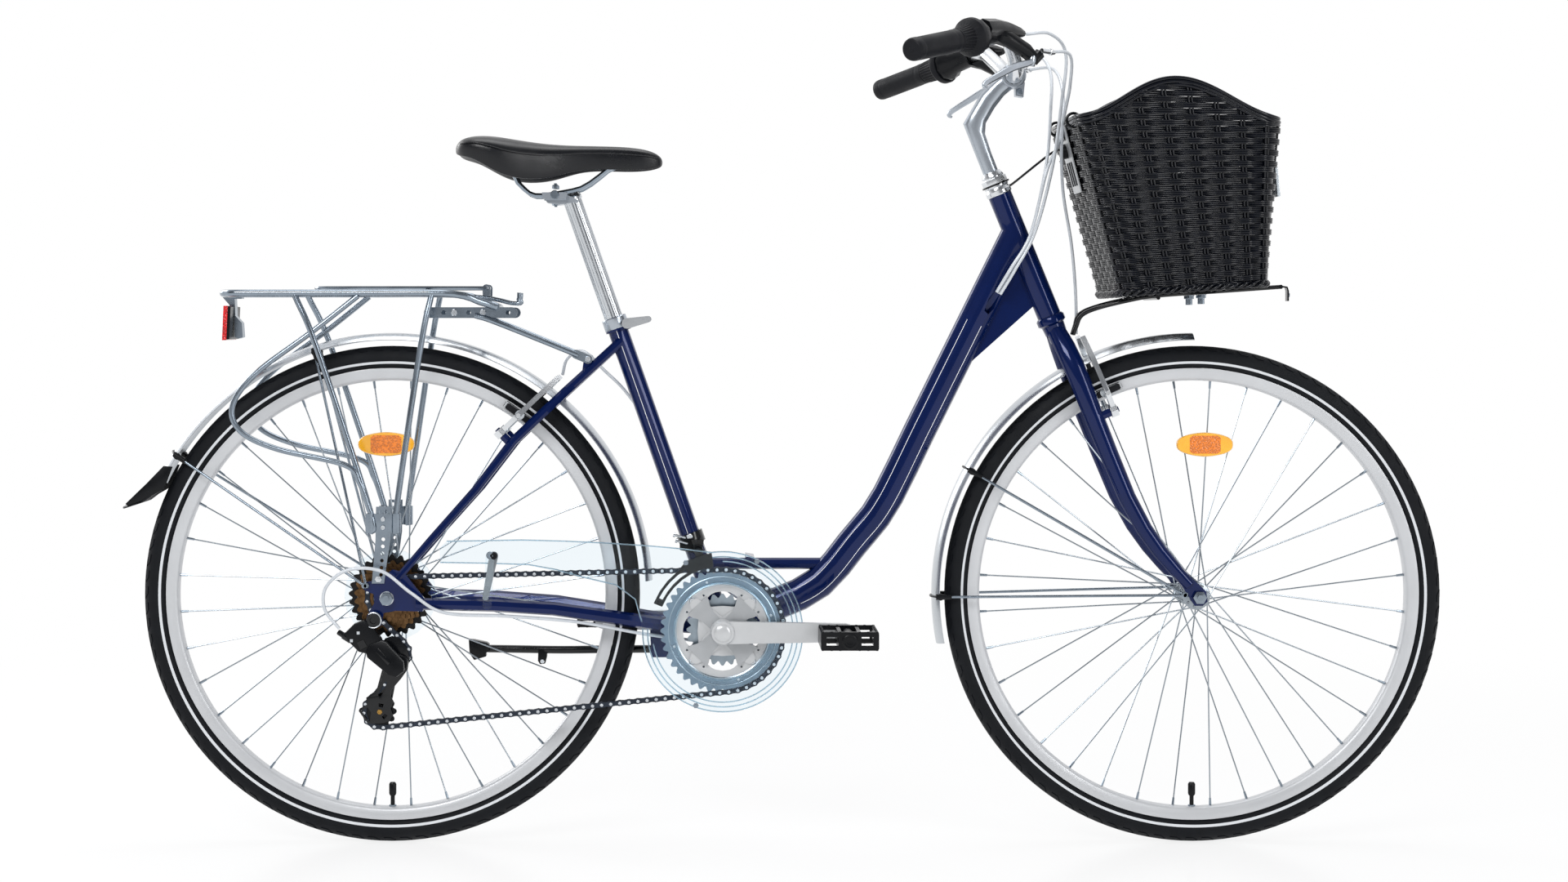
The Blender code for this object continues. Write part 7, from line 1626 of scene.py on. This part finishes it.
def brake_levers():
    """A flattened blade on each side, from its hinge out towards the grip."""
    places = ((0.336, 0.148, 1.085), (0.324, 0.16, 1.08), (0.3122, 0.1742, 1.076), (0.2999, 0.1928, 1.0703),
              (0.2862, 0.2101, 1.062), (0.2715, 0.2268, 1.0532), (0.2612, 0.2402, 1.0464),
              (0.259, 0.2462, 1.0415), (0.2632, 0.2475, 1.0392))
    widths = (0.004, 0.005, 0.0052, 0.005, 0.0046, 0.0042, 0.004, 0.0042, 0.003)
    for side, word in ((1, "left"), (-1, "right")):
        path = smooth([Vector((x, side * y, z)) for x, y, z in places], 40)
        radii = []
        for i in range(len(path)):
            at = i / (len(path) - 1) * (len(widths) - 1)
            low = min(int(at), len(widths) - 2)
            radii.append(widths[low] + (widths[low + 1] - widths[low]) * (at - low))
        work = bmesh.new()
        tube(work, path, 0, 20, radii, flatten=0.62)
        hinge = Vector((0.334, side * 0.147, 1.0855))
        lathe(work, [(0, -0.0075), (0.005, -0.0075), (0.0056, -0.0065), (0.0056, 0.0065), (0.005, 0.0075),
                     (0, 0.0075)], hinge, Vector((0.2, 0, 1)), 24)
        finish_mesh(work, "lever_blade_" + word, stem_alloy, "brake_lever_" + word,
                    replaces=["brake_lever_" + word], angle=60)


brake_levers()


# Headset


def headset():
    """The stacked nuts at the head tube's top, and the strut that steadies the basket."""
    work = bmesh.new()
    base = STEER_FOOT + 0.6222 * STEER_UP
    lathe(work, [(0.0132, 0.0), (0.0176, 0.0), (0.0186, 0.0016), (0.0186, 0.0062), (0.0172, 0.0086),
                 (0.0164, 0.011), (0.0176, 0.0122), (0.0176, 0.014), (0.0132, 0.014)], base, STEER_UP, 48,
          closed=True)
    lathe(work, [(0.0124, 0.0168), (0.0182, 0.0168), (0.0182, 0.0242), (0.0174, 0.0256), (0.0124, 0.0256)],
          base, STEER_UP, 8, closed=True)
    lathe(work, [(0.012, 0.0256), (0.016, 0.0256), (0.016, 0.0276), (0.014, 0.0316), (0.0132, 0.034),
                 (0.012, 0.0344)], base, STEER_UP, 48, closed=True)
    finish_mesh(work, "headset_nut_stack", alloy, "steering", replaces=["headset_locknut"])
    work = bmesh.new()
    washer(work, 0.0132, 0.02, 0.0142, 0.0166, base, STEER_UP, 40)
    for y in (-0.0012, 0.0012):
        start = base + 0.0154 * STEER_UP + Vector((0.018, y, 0.0))
        tube(work, smooth([start, start + Vector((0.006, 0, 0.0016)), spot(0.38, 0.9695, y),
                           spot(0.396, 0.973, y * 4), spot(0.403, 0.974, y * 10)], 24), 0.0016, 8)
    finish_mesh(work, "basket_strut", black_paint, "steering", angle=35)


headset()


# Basket fittings


def rear_wall(z, y=0.0, out=0.0):
    """A place on the basket's rear wall, so far outside it."""
    share = (z - BASKET_LOW[3]) / (BASKET_HIGH[3] - BASKET_LOW[3])
    return Vector((BASKET_LOW[0] + (BASKET_HIGH[0] - BASKET_LOW[0]) * share - out, y, z))


def basket_fittings():
    """The carrier under the basket, the plate and straps behind it, and the front reflector."""
    slope = (BASKET_LOW[4] - BASKET_LOW[3]) / 0.198

    def under(along, y=0.0, drop=0.0036):
        """A place under the basket's sloping floor."""
        return BASKET_FLOOR_REAR + Vector((along, y, along * slope - drop))

    work = bmesh.new()
    for side in (1, -1):
        y = side * 0.055
        route = [STEER_FOOT + 0.401 * STEER_UP + Vector((0.019, side * 0.006, 0.0077)),
                 ahead(-0.1637, 0.376, side * 0.009), ahead(-0.1577, 0.391, side * 0.016),
                 ahead(-0.1397, 0.401, side * 0.03), under(0.019, y * 0.85, 0.0076), under(0.059, y),
                 under(0.149, y), under(0.232, y)]
        tube(work, smooth(route, 40), 0.003, 12)
    tube(work, [under(0.23, -0.058), under(0.23, 0.058)], 0.003, 12)
    tube(work, [under(0.06, -0.058, 0.007), under(0.06, 0.058, 0.007)], 0.0026, 12)
    path = [under(0.02), under(0.09), under(0.16), under(0.244), under(0.25, 0, 0.005),
            under(0.2515, 0, 0.01), under(0.2515, 0, 0.0245)]
    rings = []
    for i, place in enumerate(path):
        way = (path[min(i + 1, len(path) - 1)] - path[max(i - 1, 0)]).normalized()
        up = Vector((-way.z, 0, way.x))
        rings.append([work.verts.new(place + a * SIDE + b * up) for a, b in
                      ((-0.0065, -0.0012), (0.0065, -0.0012), (0.0065, 0.0012), (-0.0065, 0.0012))])
    skin(work, rings)
    for x in (0.113, 0.13):
        slab(work, [under(x - 0.0085, 0, 0.004), under(x + 0.0085, 0, 0.004), under(x + 0.0085, 0, 0.006),
                    under(x - 0.0085, 0, 0.006)], -0.062, 0.062)
    finish_mesh(work, "carrier_wires", black_paint, "steering", replaces=["basket_carrier"],
                angle=35)
    work = bmesh.new()
    for side in (1, -1):
        for along in (0.113, 0.13):
            base = under(along, side * 0.01, 0.006)
            down = -UP
            lathe(work, [(0, 0), (0.006, 0), (0.006, 0.0012), (0.003, 0.0012), (0.003, 0.014), (0, 0.014)],
                  base, down, 16)
            nut(work, base + 0.0014 * down, down, 0.0052, 0.0044)
    bolt(work, under(0.2528, 0, 0.016), FORWARD, 0.0034, 0.002)
    finish_mesh(work, "carrier_bolts", plated, "steering")

    work = bmesh.new()
    out = 0.0048
    corners = [rear_wall(z, y, out) for y, z in ((-0.04, 1.006), (0.04, 1.006), (0.034, 0.913),
                                                 (-0.034, 0.913))]
    inner = [c + Vector((0.0015, 0, 0)) for c in corners]
    front = [work.verts.new(c) for c in corners]
    back = [work.verts.new(c) for c in inner]
    skin(work, [front, back])
    finish_mesh(work, "basket_rear_plate", spider_grey, "steering")
    work = bmesh.new()
    for y in (-0.018, 0.0, 0.018):
        for low, high in ((0.923, 0.956), (0.986, 1.001)):
            bar(work, rear_wall(low, y, out + 0.0002), rear_wall(high, y, out + 0.0002), 0.0013, 8)
    lathe(work, [(0, 0), (0.0105, 0), (0.0105, 0.007), (0.008, 0.0095), (0, 0.0095)],
          rear_wall(0.972, 0, out), Vector((-1, 0, -0.2)), 20)
    for side in (1, -1):
        tube(work, arc(rear_wall(1.0095, side * 0.087, -0.003), 0.0095, 0, 360, 20), 0.002, 8)
    finish_mesh(work, "basket_fasteners", moulded, "steering")

    work = bmesh.new()
    slab(work, spots((0.6865, 0.955), (0.6905, 0.9555), (0.695, 0.907), (0.6905, 0.906)), -0.039, 0.039)
    finish_mesh(work, "front_reflector_lens", white_lens, "steering", edge=0.0012)
    work = bmesh.new()
    slab(work, spots((0.6865, 0.95), (0.6905, 0.91), (0.687, 0.911), (0.67, 0.924), (0.67, 0.932),
                     (0.6845, 0.94)), -0.01, 0.01)
    finish_mesh(work, "front_reflector_bracket", moulded, "steering", edge=0.0008)


basket_fittings()


# Rear derailleur


def tilted(points, top, bottom, slant):
    """Moves points outwards in step with how far they are from one pivot to another."""
    way = bottom - top
    way.y = 0
    reach = way.length
    way.normalize()
    for p in points:
        share = min(max((p.co - top).dot(way) / reach, -0.3), 1.4)
        p.co.y -= slant * share


def derailleur():
    """The rear derailleur: hanger bolt, upper body, link, lower body, cage and pulleys."""
    hanger = behind(-0.0166, -0.0285)
    pivot = spot(-0.531, 0.26)
    link_top = spot(-0.5659, 0.281)
    link_bottom = spot(-0.5346, 0.261)
    work = bmesh.new()
    slab(work, spots((-0.592, 0.3157), (-0.578, 0.321), (-0.5672, 0.313), (-0.554, 0.2935), (-0.556, 0.2845),
                     (-0.568, 0.2725), (-0.586, 0.277), (-0.6015, 0.2925), (-0.6045, 0.3035)), -0.0735,
         -0.0885)
    finish_mesh(work, "derailleur_upper_body", moulded, "frame",
                replaces=["rear_derailleur_knuckle"], edge=0.0022)
    work = bmesh.new()
    lathe(work, [(0, 0.0738), (0.01, 0.0738), (0.01, 0.088), (0.0088, 0.0893), (0.005, 0.0893),
                 (0.0046, 0.0862), (0, 0.0862)], hanger, -SIDE, 32)
    barrel = spot(-0.6, 0.2945, -0.082)
    away = Vector((-0.843, 0, 0.538)).normalized()
    lathe(work, [(0, -0.004), (0.0052, -0.004), (0.0052, 0.0085), (0.004, 0.01), (0.004, 0.0165),
                 (0.003, 0.018), (0, 0.018)], barrel, away, 12)
    slab(work, spots((-0.588, 0.29), (-0.579, 0.294), (-0.574, 0.285), (-0.583, 0.28)), -0.0885, -0.09)
    finish_mesh(work, "derailleur_hanger_bolt", black_paint, "frame")
    work = bmesh.new()
    tube(work, arc(hanger, 0.0104, 130, -255, 28, -0.088), 0.0011, 10)
    for x, z in ((-0.5861, 0.3032), (-0.5955, 0.2925)):
        slab(work, spots((x - 0.002, z - 0.002), (x + 0.002, z - 0.002), (x + 0.002, z + 0.002),
                         (x - 0.002, z + 0.002)), -0.0884, -0.0896)
    finish_mesh(work, "derailleur_bright_parts", pin_steel, "frame")

    work = bmesh.new()
    slab(work, spots((-0.576, 0.278), (-0.572, 0.287), (-0.5545, 0.2935), (-0.547, 0.2915), (-0.5225, 0.265),
                     (-0.5215, 0.252), (-0.532, 0.244), (-0.544, 0.247), (-0.574, 0.2695)), -0.08, -0.0915)
    tilted(work.verts, link_top, link_bottom, 0.009)
    finish_mesh(work, "derailleur_link_body", moulded, "derailleur_link",
                replaces=["rear_derailleur_link"], edge=0.0022)
    work = bmesh.new()
    slab(work, spots((-0.562, 0.278), (-0.5585, 0.283), (-0.54, 0.264), (-0.544, 0.26)), -0.0914, -0.0924)
    tilted(work.verts, link_top, link_bottom, 0.009)
    finish_mesh(work, "derailleur_link_inlay", black_paint, "derailleur_link", edge=0.0004)

    work = bmesh.new()
    lathe(work, [(0, 0.067), (0.0122, 0.067), (0.0122, 0.08), (0.0108, 0.0816), (0.004, 0.0816),
                 (0.0036, 0.08), (0, 0.08)], pivot, -SIDE, 32)
    finish_mesh(work, "derailleur_lower_body", moulded, "derailleur_knuckle",
                replaces=["rear_derailleur_p_knuckle"])

    guide, tension = GUIDE_PULLEY, TENSION_PULLEY
    outline = spots((-0.558, 0.282), (-0.552, 0.293), (-0.542, 0.2965), (-0.532, 0.293), (-0.521, 0.279),
                    (-0.518, 0.264), (-0.5205, 0.25), (-0.529, 0.238), (-0.543, 0.2215), (-0.544, 0.213),
                    (-0.54, 0.206), (-0.544, 0.196), (-0.541, 0.187), (-0.545, 0.179), (-0.553, 0.176),
                    (-0.57, 0.1745), (-0.576, 0.1755), (-0.5885, 0.1925), (-0.587, 0.196), (-0.577, 0.201),
                    (-0.578, 0.211), (-0.566, 0.219), (-0.558, 0.233), (-0.553, 0.25))
    gaps = [spots((-0.585, 0.1925), (-0.576, 0.1975), (-0.5715, 0.1905), (-0.573, 0.1785), (-0.575, 0.1785)),
            pill(spot(-0.559, 0.215), spot(-0.551, 0.231), 0.0024, 0.0022, 5),
            [on_wheel(tension, r, t) for r, t in ((0.0075, -20), (0.012, -24), (0.012, -60), (0.0075, -66))],
            [on_wheel(tension, r, t) for r, t in ((0.0075, 100), (0.012, 96), (0.012, 62), (0.0075, 56))]]
    work = bmesh.new()
    slab(work, outline, -0.0667, -0.0652, gaps)
    inner = pill(tension, guide, 0.013, 0.01, 12)
    slab(work, inner, -0.0555, -0.0543, [round_hole(tension, 0.007, 16)])
    for place in (guide, tension):
        bar(work, place - 0.0655 * SIDE, place - 0.055 * SIDE, 0.0028, 12)
    finish_mesh(work, "derailleur_cage_plates", black_paint, "derailleur_cage",
                replaces=["rear_derailleur_cage"], edge=0.0003)
    work = bmesh.new()
    for place in (guide, tension):
        bolt(work, place - 0.0667 * SIDE, -SIDE, 0.0036, 0.0018)
    finish_mesh(work, "pulley_bolts", bronze, "derailleur_cage")
    for word, place in (("guide", guide), ("tension", tension)):
        work = bmesh.new()
        holes = [round_hole(on_wheel(place, 0.0105, 72 * i), 0.003, 10) for i in range(5)]
        slab(work, teeth_outline(place, PULLEY_TEETH, 0.0036, 0.0004, 0), -0.0617, -0.0593,
             holes + [round_hole(place, 0.003, 14)])
        lathe(work, [(0.0029, -0.0635), (0.0068, -0.0635), (0.0072, -0.0618), (0.0072, -0.0592),
                     (0.0068, -0.0575), (0.0029, -0.0575)], place, SIDE, 24, closed=True)
        finish_mesh(work, word + "_wheel", moulded, word + "_pulley",
                    replaces=[word + "_pulley"])


derailleur()


# Axle nut, guard strap and kickstand


def small_metal():
    """The right axle nut and washer, the guard's strap, and the folded kickstand."""
    work = bmesh.new()
    lathe(work, [(0.0058, 0.0722), (0.01, 0.0722), (0.0102, 0.0728), (0.0098, 0.0736), (0.0058, 0.0736)],
          REAR_AXLE, -SIDE, 36, closed=True)
    lathe(work, [(0.0052, 0.0735), (0.0086, 0.0735), (0.0086, 0.079), (0.0078, 0.08), (0.0052, 0.08)],
          REAR_AXLE, -SIDE, 6, closed=True)
    finish_mesh(work, "axle_washer_right", pin_steel, "frame")
    work = bmesh.new()
    top, low = spot(-0.401, 0.4076), spot(-0.4125, 0.35)
    slab(work, pill(top, low, 0.0062, 0.0042, 8), -0.069, -0.0702, [round_hole(top, 0.0024, 12)])
    finish_mesh(work, "guard_strap", strap_metal, "frame", edge=0.0004)
    work = bmesh.new()
    bolt(work, top - 0.0702 * SIDE, -SIDE, 0.005, 0.003, 0.35)
    finish_mesh(work, "guard_strap_screw", moulded, "frame")

    pivot = spot(-0.172, 0.266, 0.03)
    bend, foot = behind(0.2388, -0.085, 0.042), behind(0.129, -0.087, 0.0715)
    work = bmesh.new()
    route = [pivot + Vector((-0.0085, 0.006, 0)), pivot.lerp(bend, 0.5) + Vector((0, 0.004, 0)), bend,
             bend.lerp(foot, 0.6), foot]
    tube(work, smooth(route, 30), 0.0056, 16)
    washer(work, 0.0043, 0.0105, -0.0045, 0.0085, pivot, SIDE, 28)
    finish_mesh(work, "kickstand_leg", black_paint, "kickstand", replaces=["kickstand"],
                angle=40)
    work = bmesh.new()
    slab(work, spots((-0.4473, 0.2756), (-0.446, 0.256), (-0.4395, 0.2463), (-0.422, 0.2516),
                     (-0.4225, 0.257), (-0.418, 0.2585), (-0.418, 0.269), (-0.422, 0.2715), (-0.44, 0.2752)),
         0.063, 0.08)
    clamp_x = -0.3398
    slab(work, spots((clamp_x - 0.0065, 0.2645), (clamp_x + 0.006, 0.264), (clamp_x + 0.006, 0.254),
                     (clamp_x + 0.0035, 0.244), (clamp_x - 0.004, 0.243), (clamp_x - 0.007, 0.248)), 0.0425,
         0.0565)
    finish_mesh(work, "kickstand_foot", moulded, "kickstand", edge=0.0012)
    work = bmesh.new()
    bolt(work, spot(clamp_x - 0.0005, 0.2475, 0.0425), -SIDE, 0.003, 0.0016)
    finish_mesh(work, "kickstand_screw", pin_steel, "kickstand")


small_metal()


# Front derailleur cage


def front_cage():
    """The front derailleur's cage plates, with the screws and body behind them."""
    degrees = [158, 148, 138, 128, 118, 108, 98]
    work = bmesh.new()
    for near, far in ((-0.0634, -0.0622), (-0.0518, -0.0506)):
        outline = [on_wheel(CRANK_AXLE, 0.0905, d) for d in degrees]
        outline += [on_wheel(CRANK_AXLE, 0.103 + (0.006 if d < 120 else 0), d) for d in reversed(degrees)]
        window_degrees = (153, 145, 137, 129, 121)
        window = [on_wheel(CRANK_AXLE, 0.0938, d) for d in window_degrees]
        window += [on_wheel(CRANK_AXLE, 0.0995, d) for d in reversed(window_degrees)]
        slab(work, outline, near, far, [window])
    rod_centre = spot(-0.118, 0.4125)
    slab(work, pill(on_wheel(CRANK_AXLE, 0.1, 107), rod_centre, 0.006, 0.005), -0.0518, -0.0506)
    for radius, turn in ((0.0975, 156), (0.107, 101)):
        place = on_wheel(CRANK_AXLE, radius, turn)
        bar(work, place - 0.063 * SIDE, place - 0.051 * SIDE, 0.002, 10)
    bar(work, rod_centre - 0.0514 * SIDE, rod_centre - 0.0322 * SIDE, 0.0029, 16)
    finish_mesh(work, "front_cage_plates", black_paint, "front_shift_cage",
                replaces=["front_derailleur_cage"])
    work = bmesh.new()
    for x, z in ((-0.15, 0.433), (-0.147, 0.425)):
        bar(work, spot(x + 0.014, z - 0.004, -0.027), spot(x, z, -0.029), 0.0018, 10)
        disc(work, 0.0032, 0, 0.003, spot(x, z, -0.029), Vector((-1, 0, 0.3)), 12)
    bolt(work, spot(-0.13, 0.43, -0.0205), -SIDE, 0.0042, 0.003)
    finish_mesh(work, "front_derailleur_screws", pin_steel, "frame")
    work = bmesh.new()
    slab(work, spots((-0.144, 0.426), (-0.124, 0.429), (-0.12, 0.418), (-0.126, 0.408), (-0.144, 0.412)),
         -0.0165, -0.0265)
    finish_mesh(work, "front_derailleur_body", moulded, "frame", edge=0.0015)


front_cage()


# The flap's cheeks


def flap_cheeks():
    work = bmesh.new()
    outline = spots((-0.867, 0.5298), (-0.89, 0.506), (-0.9205, 0.4765), (-0.9147, 0.4726), (-0.888, 0.485),
                    (-0.866, 0.4975), (-0.854, 0.529))
    for side in (1, -1):
        slab(work, outline, side * 0.0245, side * 0.0275)
    finish_mesh(work, "flap_cheeks", moulded, "frame", edge=0.001)


flap_cheeks()


# Brake shoes


def brake_shoes():
    """Black blocks over the arms' pads, with the washers and nut that hold each."""
    for end, axle in (("front", FRONT_AXLE), ("rear", REAR_AXLE)):
        for word, side in (("left", 1), ("right", -1)):
            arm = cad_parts[f"{end}_brake_arm_{word}"]
            points = [arm.matrix_world @ v.co for v in arm.data.vertices]
            face_y = min(abs(p.y) for p in points)
            face = [p for p in points if abs(p.y) < face_y + 0.0002]
            centre = sum(face, Vector()) / len(face)
            centre.y = 0
            radial = (centre - axle).normalized()
            along = radial.cross(SIDE)
            work = bmesh.new()
            for start, finish, half_length, half_height in ((-0.0003, 0.0062, 0.0268, 0.0054),
                                                            (0.0062, 0.0096, 0.0235, 0.0046)):
                outline = []
                for sx, sz in ((1, 1), (-1, 1), (-1, -1), (1, -1)):
                    outline.append(centre + sx * half_length * along + sz * (half_height - 0.0016) * radial)
                    outline.append(centre + sx * (half_length - 0.002) * along + sz * half_height * radial)
                    if sx * sz < 0:
                        outline[-2:] = outline[:-3:-1]
                slab(work, outline, side * (face_y + start), side * (face_y + finish))
            body = f"{end}_brake_{word}"
            finish_mesh(work, f"{end}_brake_shoe_{word}", grip_rubber, body, edge=0.0006)
            work = bmesh.new()
            for start, radius, thick in ((0.0096, 0.0066, 0.0016), (0.0112, 0.005, 0.002)):
                disc(work, radius, 0, thick, centre + side * (face_y + start) * SIDE, side * SIDE, 20)
            finish_mesh(work, f"{end}_brake_washers_{word}", pin_steel, body)


brake_shoes()


# The CAD nodes that stay

for name, material, angle in (
    ("frame", navy, 40),
    ("fork", navy, 40),
    ("rack_spring_clip", plated, 45),
    ("chain_guard", clear, 40),
    ("rear_axle", plated, 35),
    ("front_axle", plated, 35),
    ("front_derailleur_clamp", black_paint, 35),
    ("handlebar", alloy, 50),
    ("brake_bracket_left", moulded, 45),
    ("brake_bracket_right", moulded, 45),
    ("spoke_protector", clear, 35),
    ("crank_right", silver_paint, 40),
    ("crank_left", silver_paint, 40),
    ("saddle_rails", plated, 50),
    ("seat_clamp_lever", alloy, 35),
    ("rear_brake_arm_left", alloy, 40),
    ("rear_brake_arm_right", alloy, 40),
    ("front_brake_arm_left", alloy, 40),
    ("front_brake_arm_right", alloy, 40),
):
    dress(name, material, angle)


# Floor, light and camera

FLOOR_REACH = 30
FLOOR_DROP = 0.0005
floor_mesh = bpy.data.meshes.new("floor")
floor_corners = [(x * FLOOR_REACH, y * FLOOR_REACH,
                  -FLOOR_DROP) for x, y in ((-1, -1), (1, -1), (1, 1), (-1, 1))]
floor_mesh.from_pydata(floor_corners, [], [(0, 1, 2, 3)])
floor = bpy.data.objects.new("floor", floor_mesh)
bpy.context.scene.collection.objects.link(floor)
pale = bpy.data.materials.new("pale_floor")
pale.use_nodes = True
tree = pale.node_tree
shader = tree.nodes["Principled BSDF"]
shader.inputs["Base Color"].default_value = (0.93, 0.935, 0.95, 1)
shader.inputs["Roughness"].default_value = 0.22
shader.inputs["Specular IOR Level"].default_value = 0.35
out = tree.nodes["Material Output"]
glow = node(tree, "ShaderNodeEmission", Strength=1.0, Color=(1, 1, 1, 1))
mix = node(tree, "ShaderNodeMixShader")
ground = node(tree, "ShaderNodeTexCoord")
reach = node(tree, "ShaderNodeVectorMath", operation="LENGTH")
link(tree, ground.outputs["Object"], reach.inputs[0])
fade = node(tree, "ShaderNodeMapRange", From_Min=0.9, From_Max=2.6, To_Min=0.8, To_Max=1.0)
link(tree, reach.outputs["Value"], fade.inputs["Value"])
link(tree, fade.outputs["Result"], mix.inputs["Fac"])
link(tree, shader.outputs["BSDF"], mix.inputs[1])
link(tree, glow.outputs["Emission"], mix.inputs[2])
link(tree, mix.outputs["Shader"], out.inputs["Surface"])
floor_mesh.materials.append(pale)

world = bpy.data.worlds.new("studio")
bpy.context.scene.world = world
world.use_nodes = True
tree = world.node_tree
tree.nodes.clear()
out = node(tree, "ShaderNodeOutputWorld")
seen = node(tree, "ShaderNodeBackground", Strength=1.0, Color=(1, 1, 1, 1))
lit = node(tree, "ShaderNodeBackground", Strength=0.5)
place = node(tree, "ShaderNodeTexCoord")
apart = node(tree, "ShaderNodeSeparateXYZ")
link(tree, place.outputs["Generated"], apart.inputs["Vector"])
ramp = node(tree, "ShaderNodeValToRGB")
stops(ramp, 0.25, (0.1, 0.12, 0.15, 1), 0.85, (1, 1, 1, 1))
fold = node(tree, "ShaderNodeMapRange", From_Min=-1, From_Max=1)
link(tree, apart.outputs["Z"], fold.inputs["Value"])
link(tree, fold.outputs["Result"], ramp.inputs["Fac"])
link(tree, ramp.outputs["Color"], lit.inputs["Color"])
path = node(tree, "ShaderNodeLightPath")
either = node(tree, "ShaderNodeMath", operation="MAXIMUM")
link(tree, path.outputs["Is Camera Ray"], either.inputs[0])
link(tree, path.outputs["Is Transmission Ray"], either.inputs[1])
mirror = node(tree, "ShaderNodeBackground", Strength=1.0)
depth = node(tree, "ShaderNodeMapRange", From_Min=-1, From_Max=1)
link(tree, apart.outputs["Y"], depth.inputs["Value"])
room = node(tree, "ShaderNodeValToRGB")
stops(room, 0.0, (0.16, 0.165, 0.18, 1), 1.0, (1, 1, 1, 1))
for level, grey in ((0.34, 0.22), (0.52, 0.7), (0.7, 1.0)):
    stop = room.color_ramp.elements.new(level)
    stop.color = (grey, grey, grey * 1.02, 1)
link(tree, depth.outputs["Result"], room.inputs["Fac"])
link(tree, room.outputs["Color"], mirror.inputs["Color"])
gloss = node(tree, "ShaderNodeMixShader")
link(tree, path.outputs["Is Glossy Ray"], gloss.inputs["Fac"])
link(tree, lit.outputs["Background"], gloss.inputs[1])
link(tree, mirror.outputs["Background"], gloss.inputs[2])
choose = node(tree, "ShaderNodeMixShader")
link(tree, either.outputs["Value"], choose.inputs["Fac"])
link(tree, gloss.outputs["Shader"], choose.inputs[1])
link(tree, seen.outputs["Background"], choose.inputs[2])
link(tree, choose.outputs["Shader"], out.inputs["Surface"])


def lamp(name, place, aim, size, power):
    light = bpy.data.lights.new(name, "AREA")
    light.shape = "RECTANGLE"
    light.size, light.size_y = size
    light.energy = power
    held = bpy.data.objects.new(name, light)
    bpy.context.scene.collection.objects.link(held)
    held.location = place
    held.rotation_euler = (Vector(aim) - Vector(place)).to_track_quat("-Z", "Y").to_euler()


lamp("key_light", (-1.8, -3.4, 3.0), (0, 0, 0.5), (2.4, 1.2), 95)
lamp("fill_light", (2.8, -3.0, 1.8), (0, 0, 0.5), (1.0, 2.2), 45)
lamp("top_light", (0, 0.6, 4.0), (0, 0, 0.4), (3.0, 1.6), 50)
lamp("rim_light", (-3.0, 2.6, 2.0), (0, 0, 0.6), (1.4, 1.8), 40)

camera_data = bpy.data.cameras.new("camera")
camera = bpy.data.objects.new("camera", camera_data)
bpy.context.scene.collection.objects.link(camera)
camera.location = (-0.118, -3.75, 0.7305)
camera.rotation_euler = (math.radians(90), 0, 0)
camera_data.sensor_width = 36
camera_data.lens = 61.05
camera_data.shift_x = 0.0547
camera_data.shift_y = -0.0755
camera_data.clip_end = 200
bpy.context.scene.camera = camera
bpy.context.scene.view_settings.view_transform = "Standard"
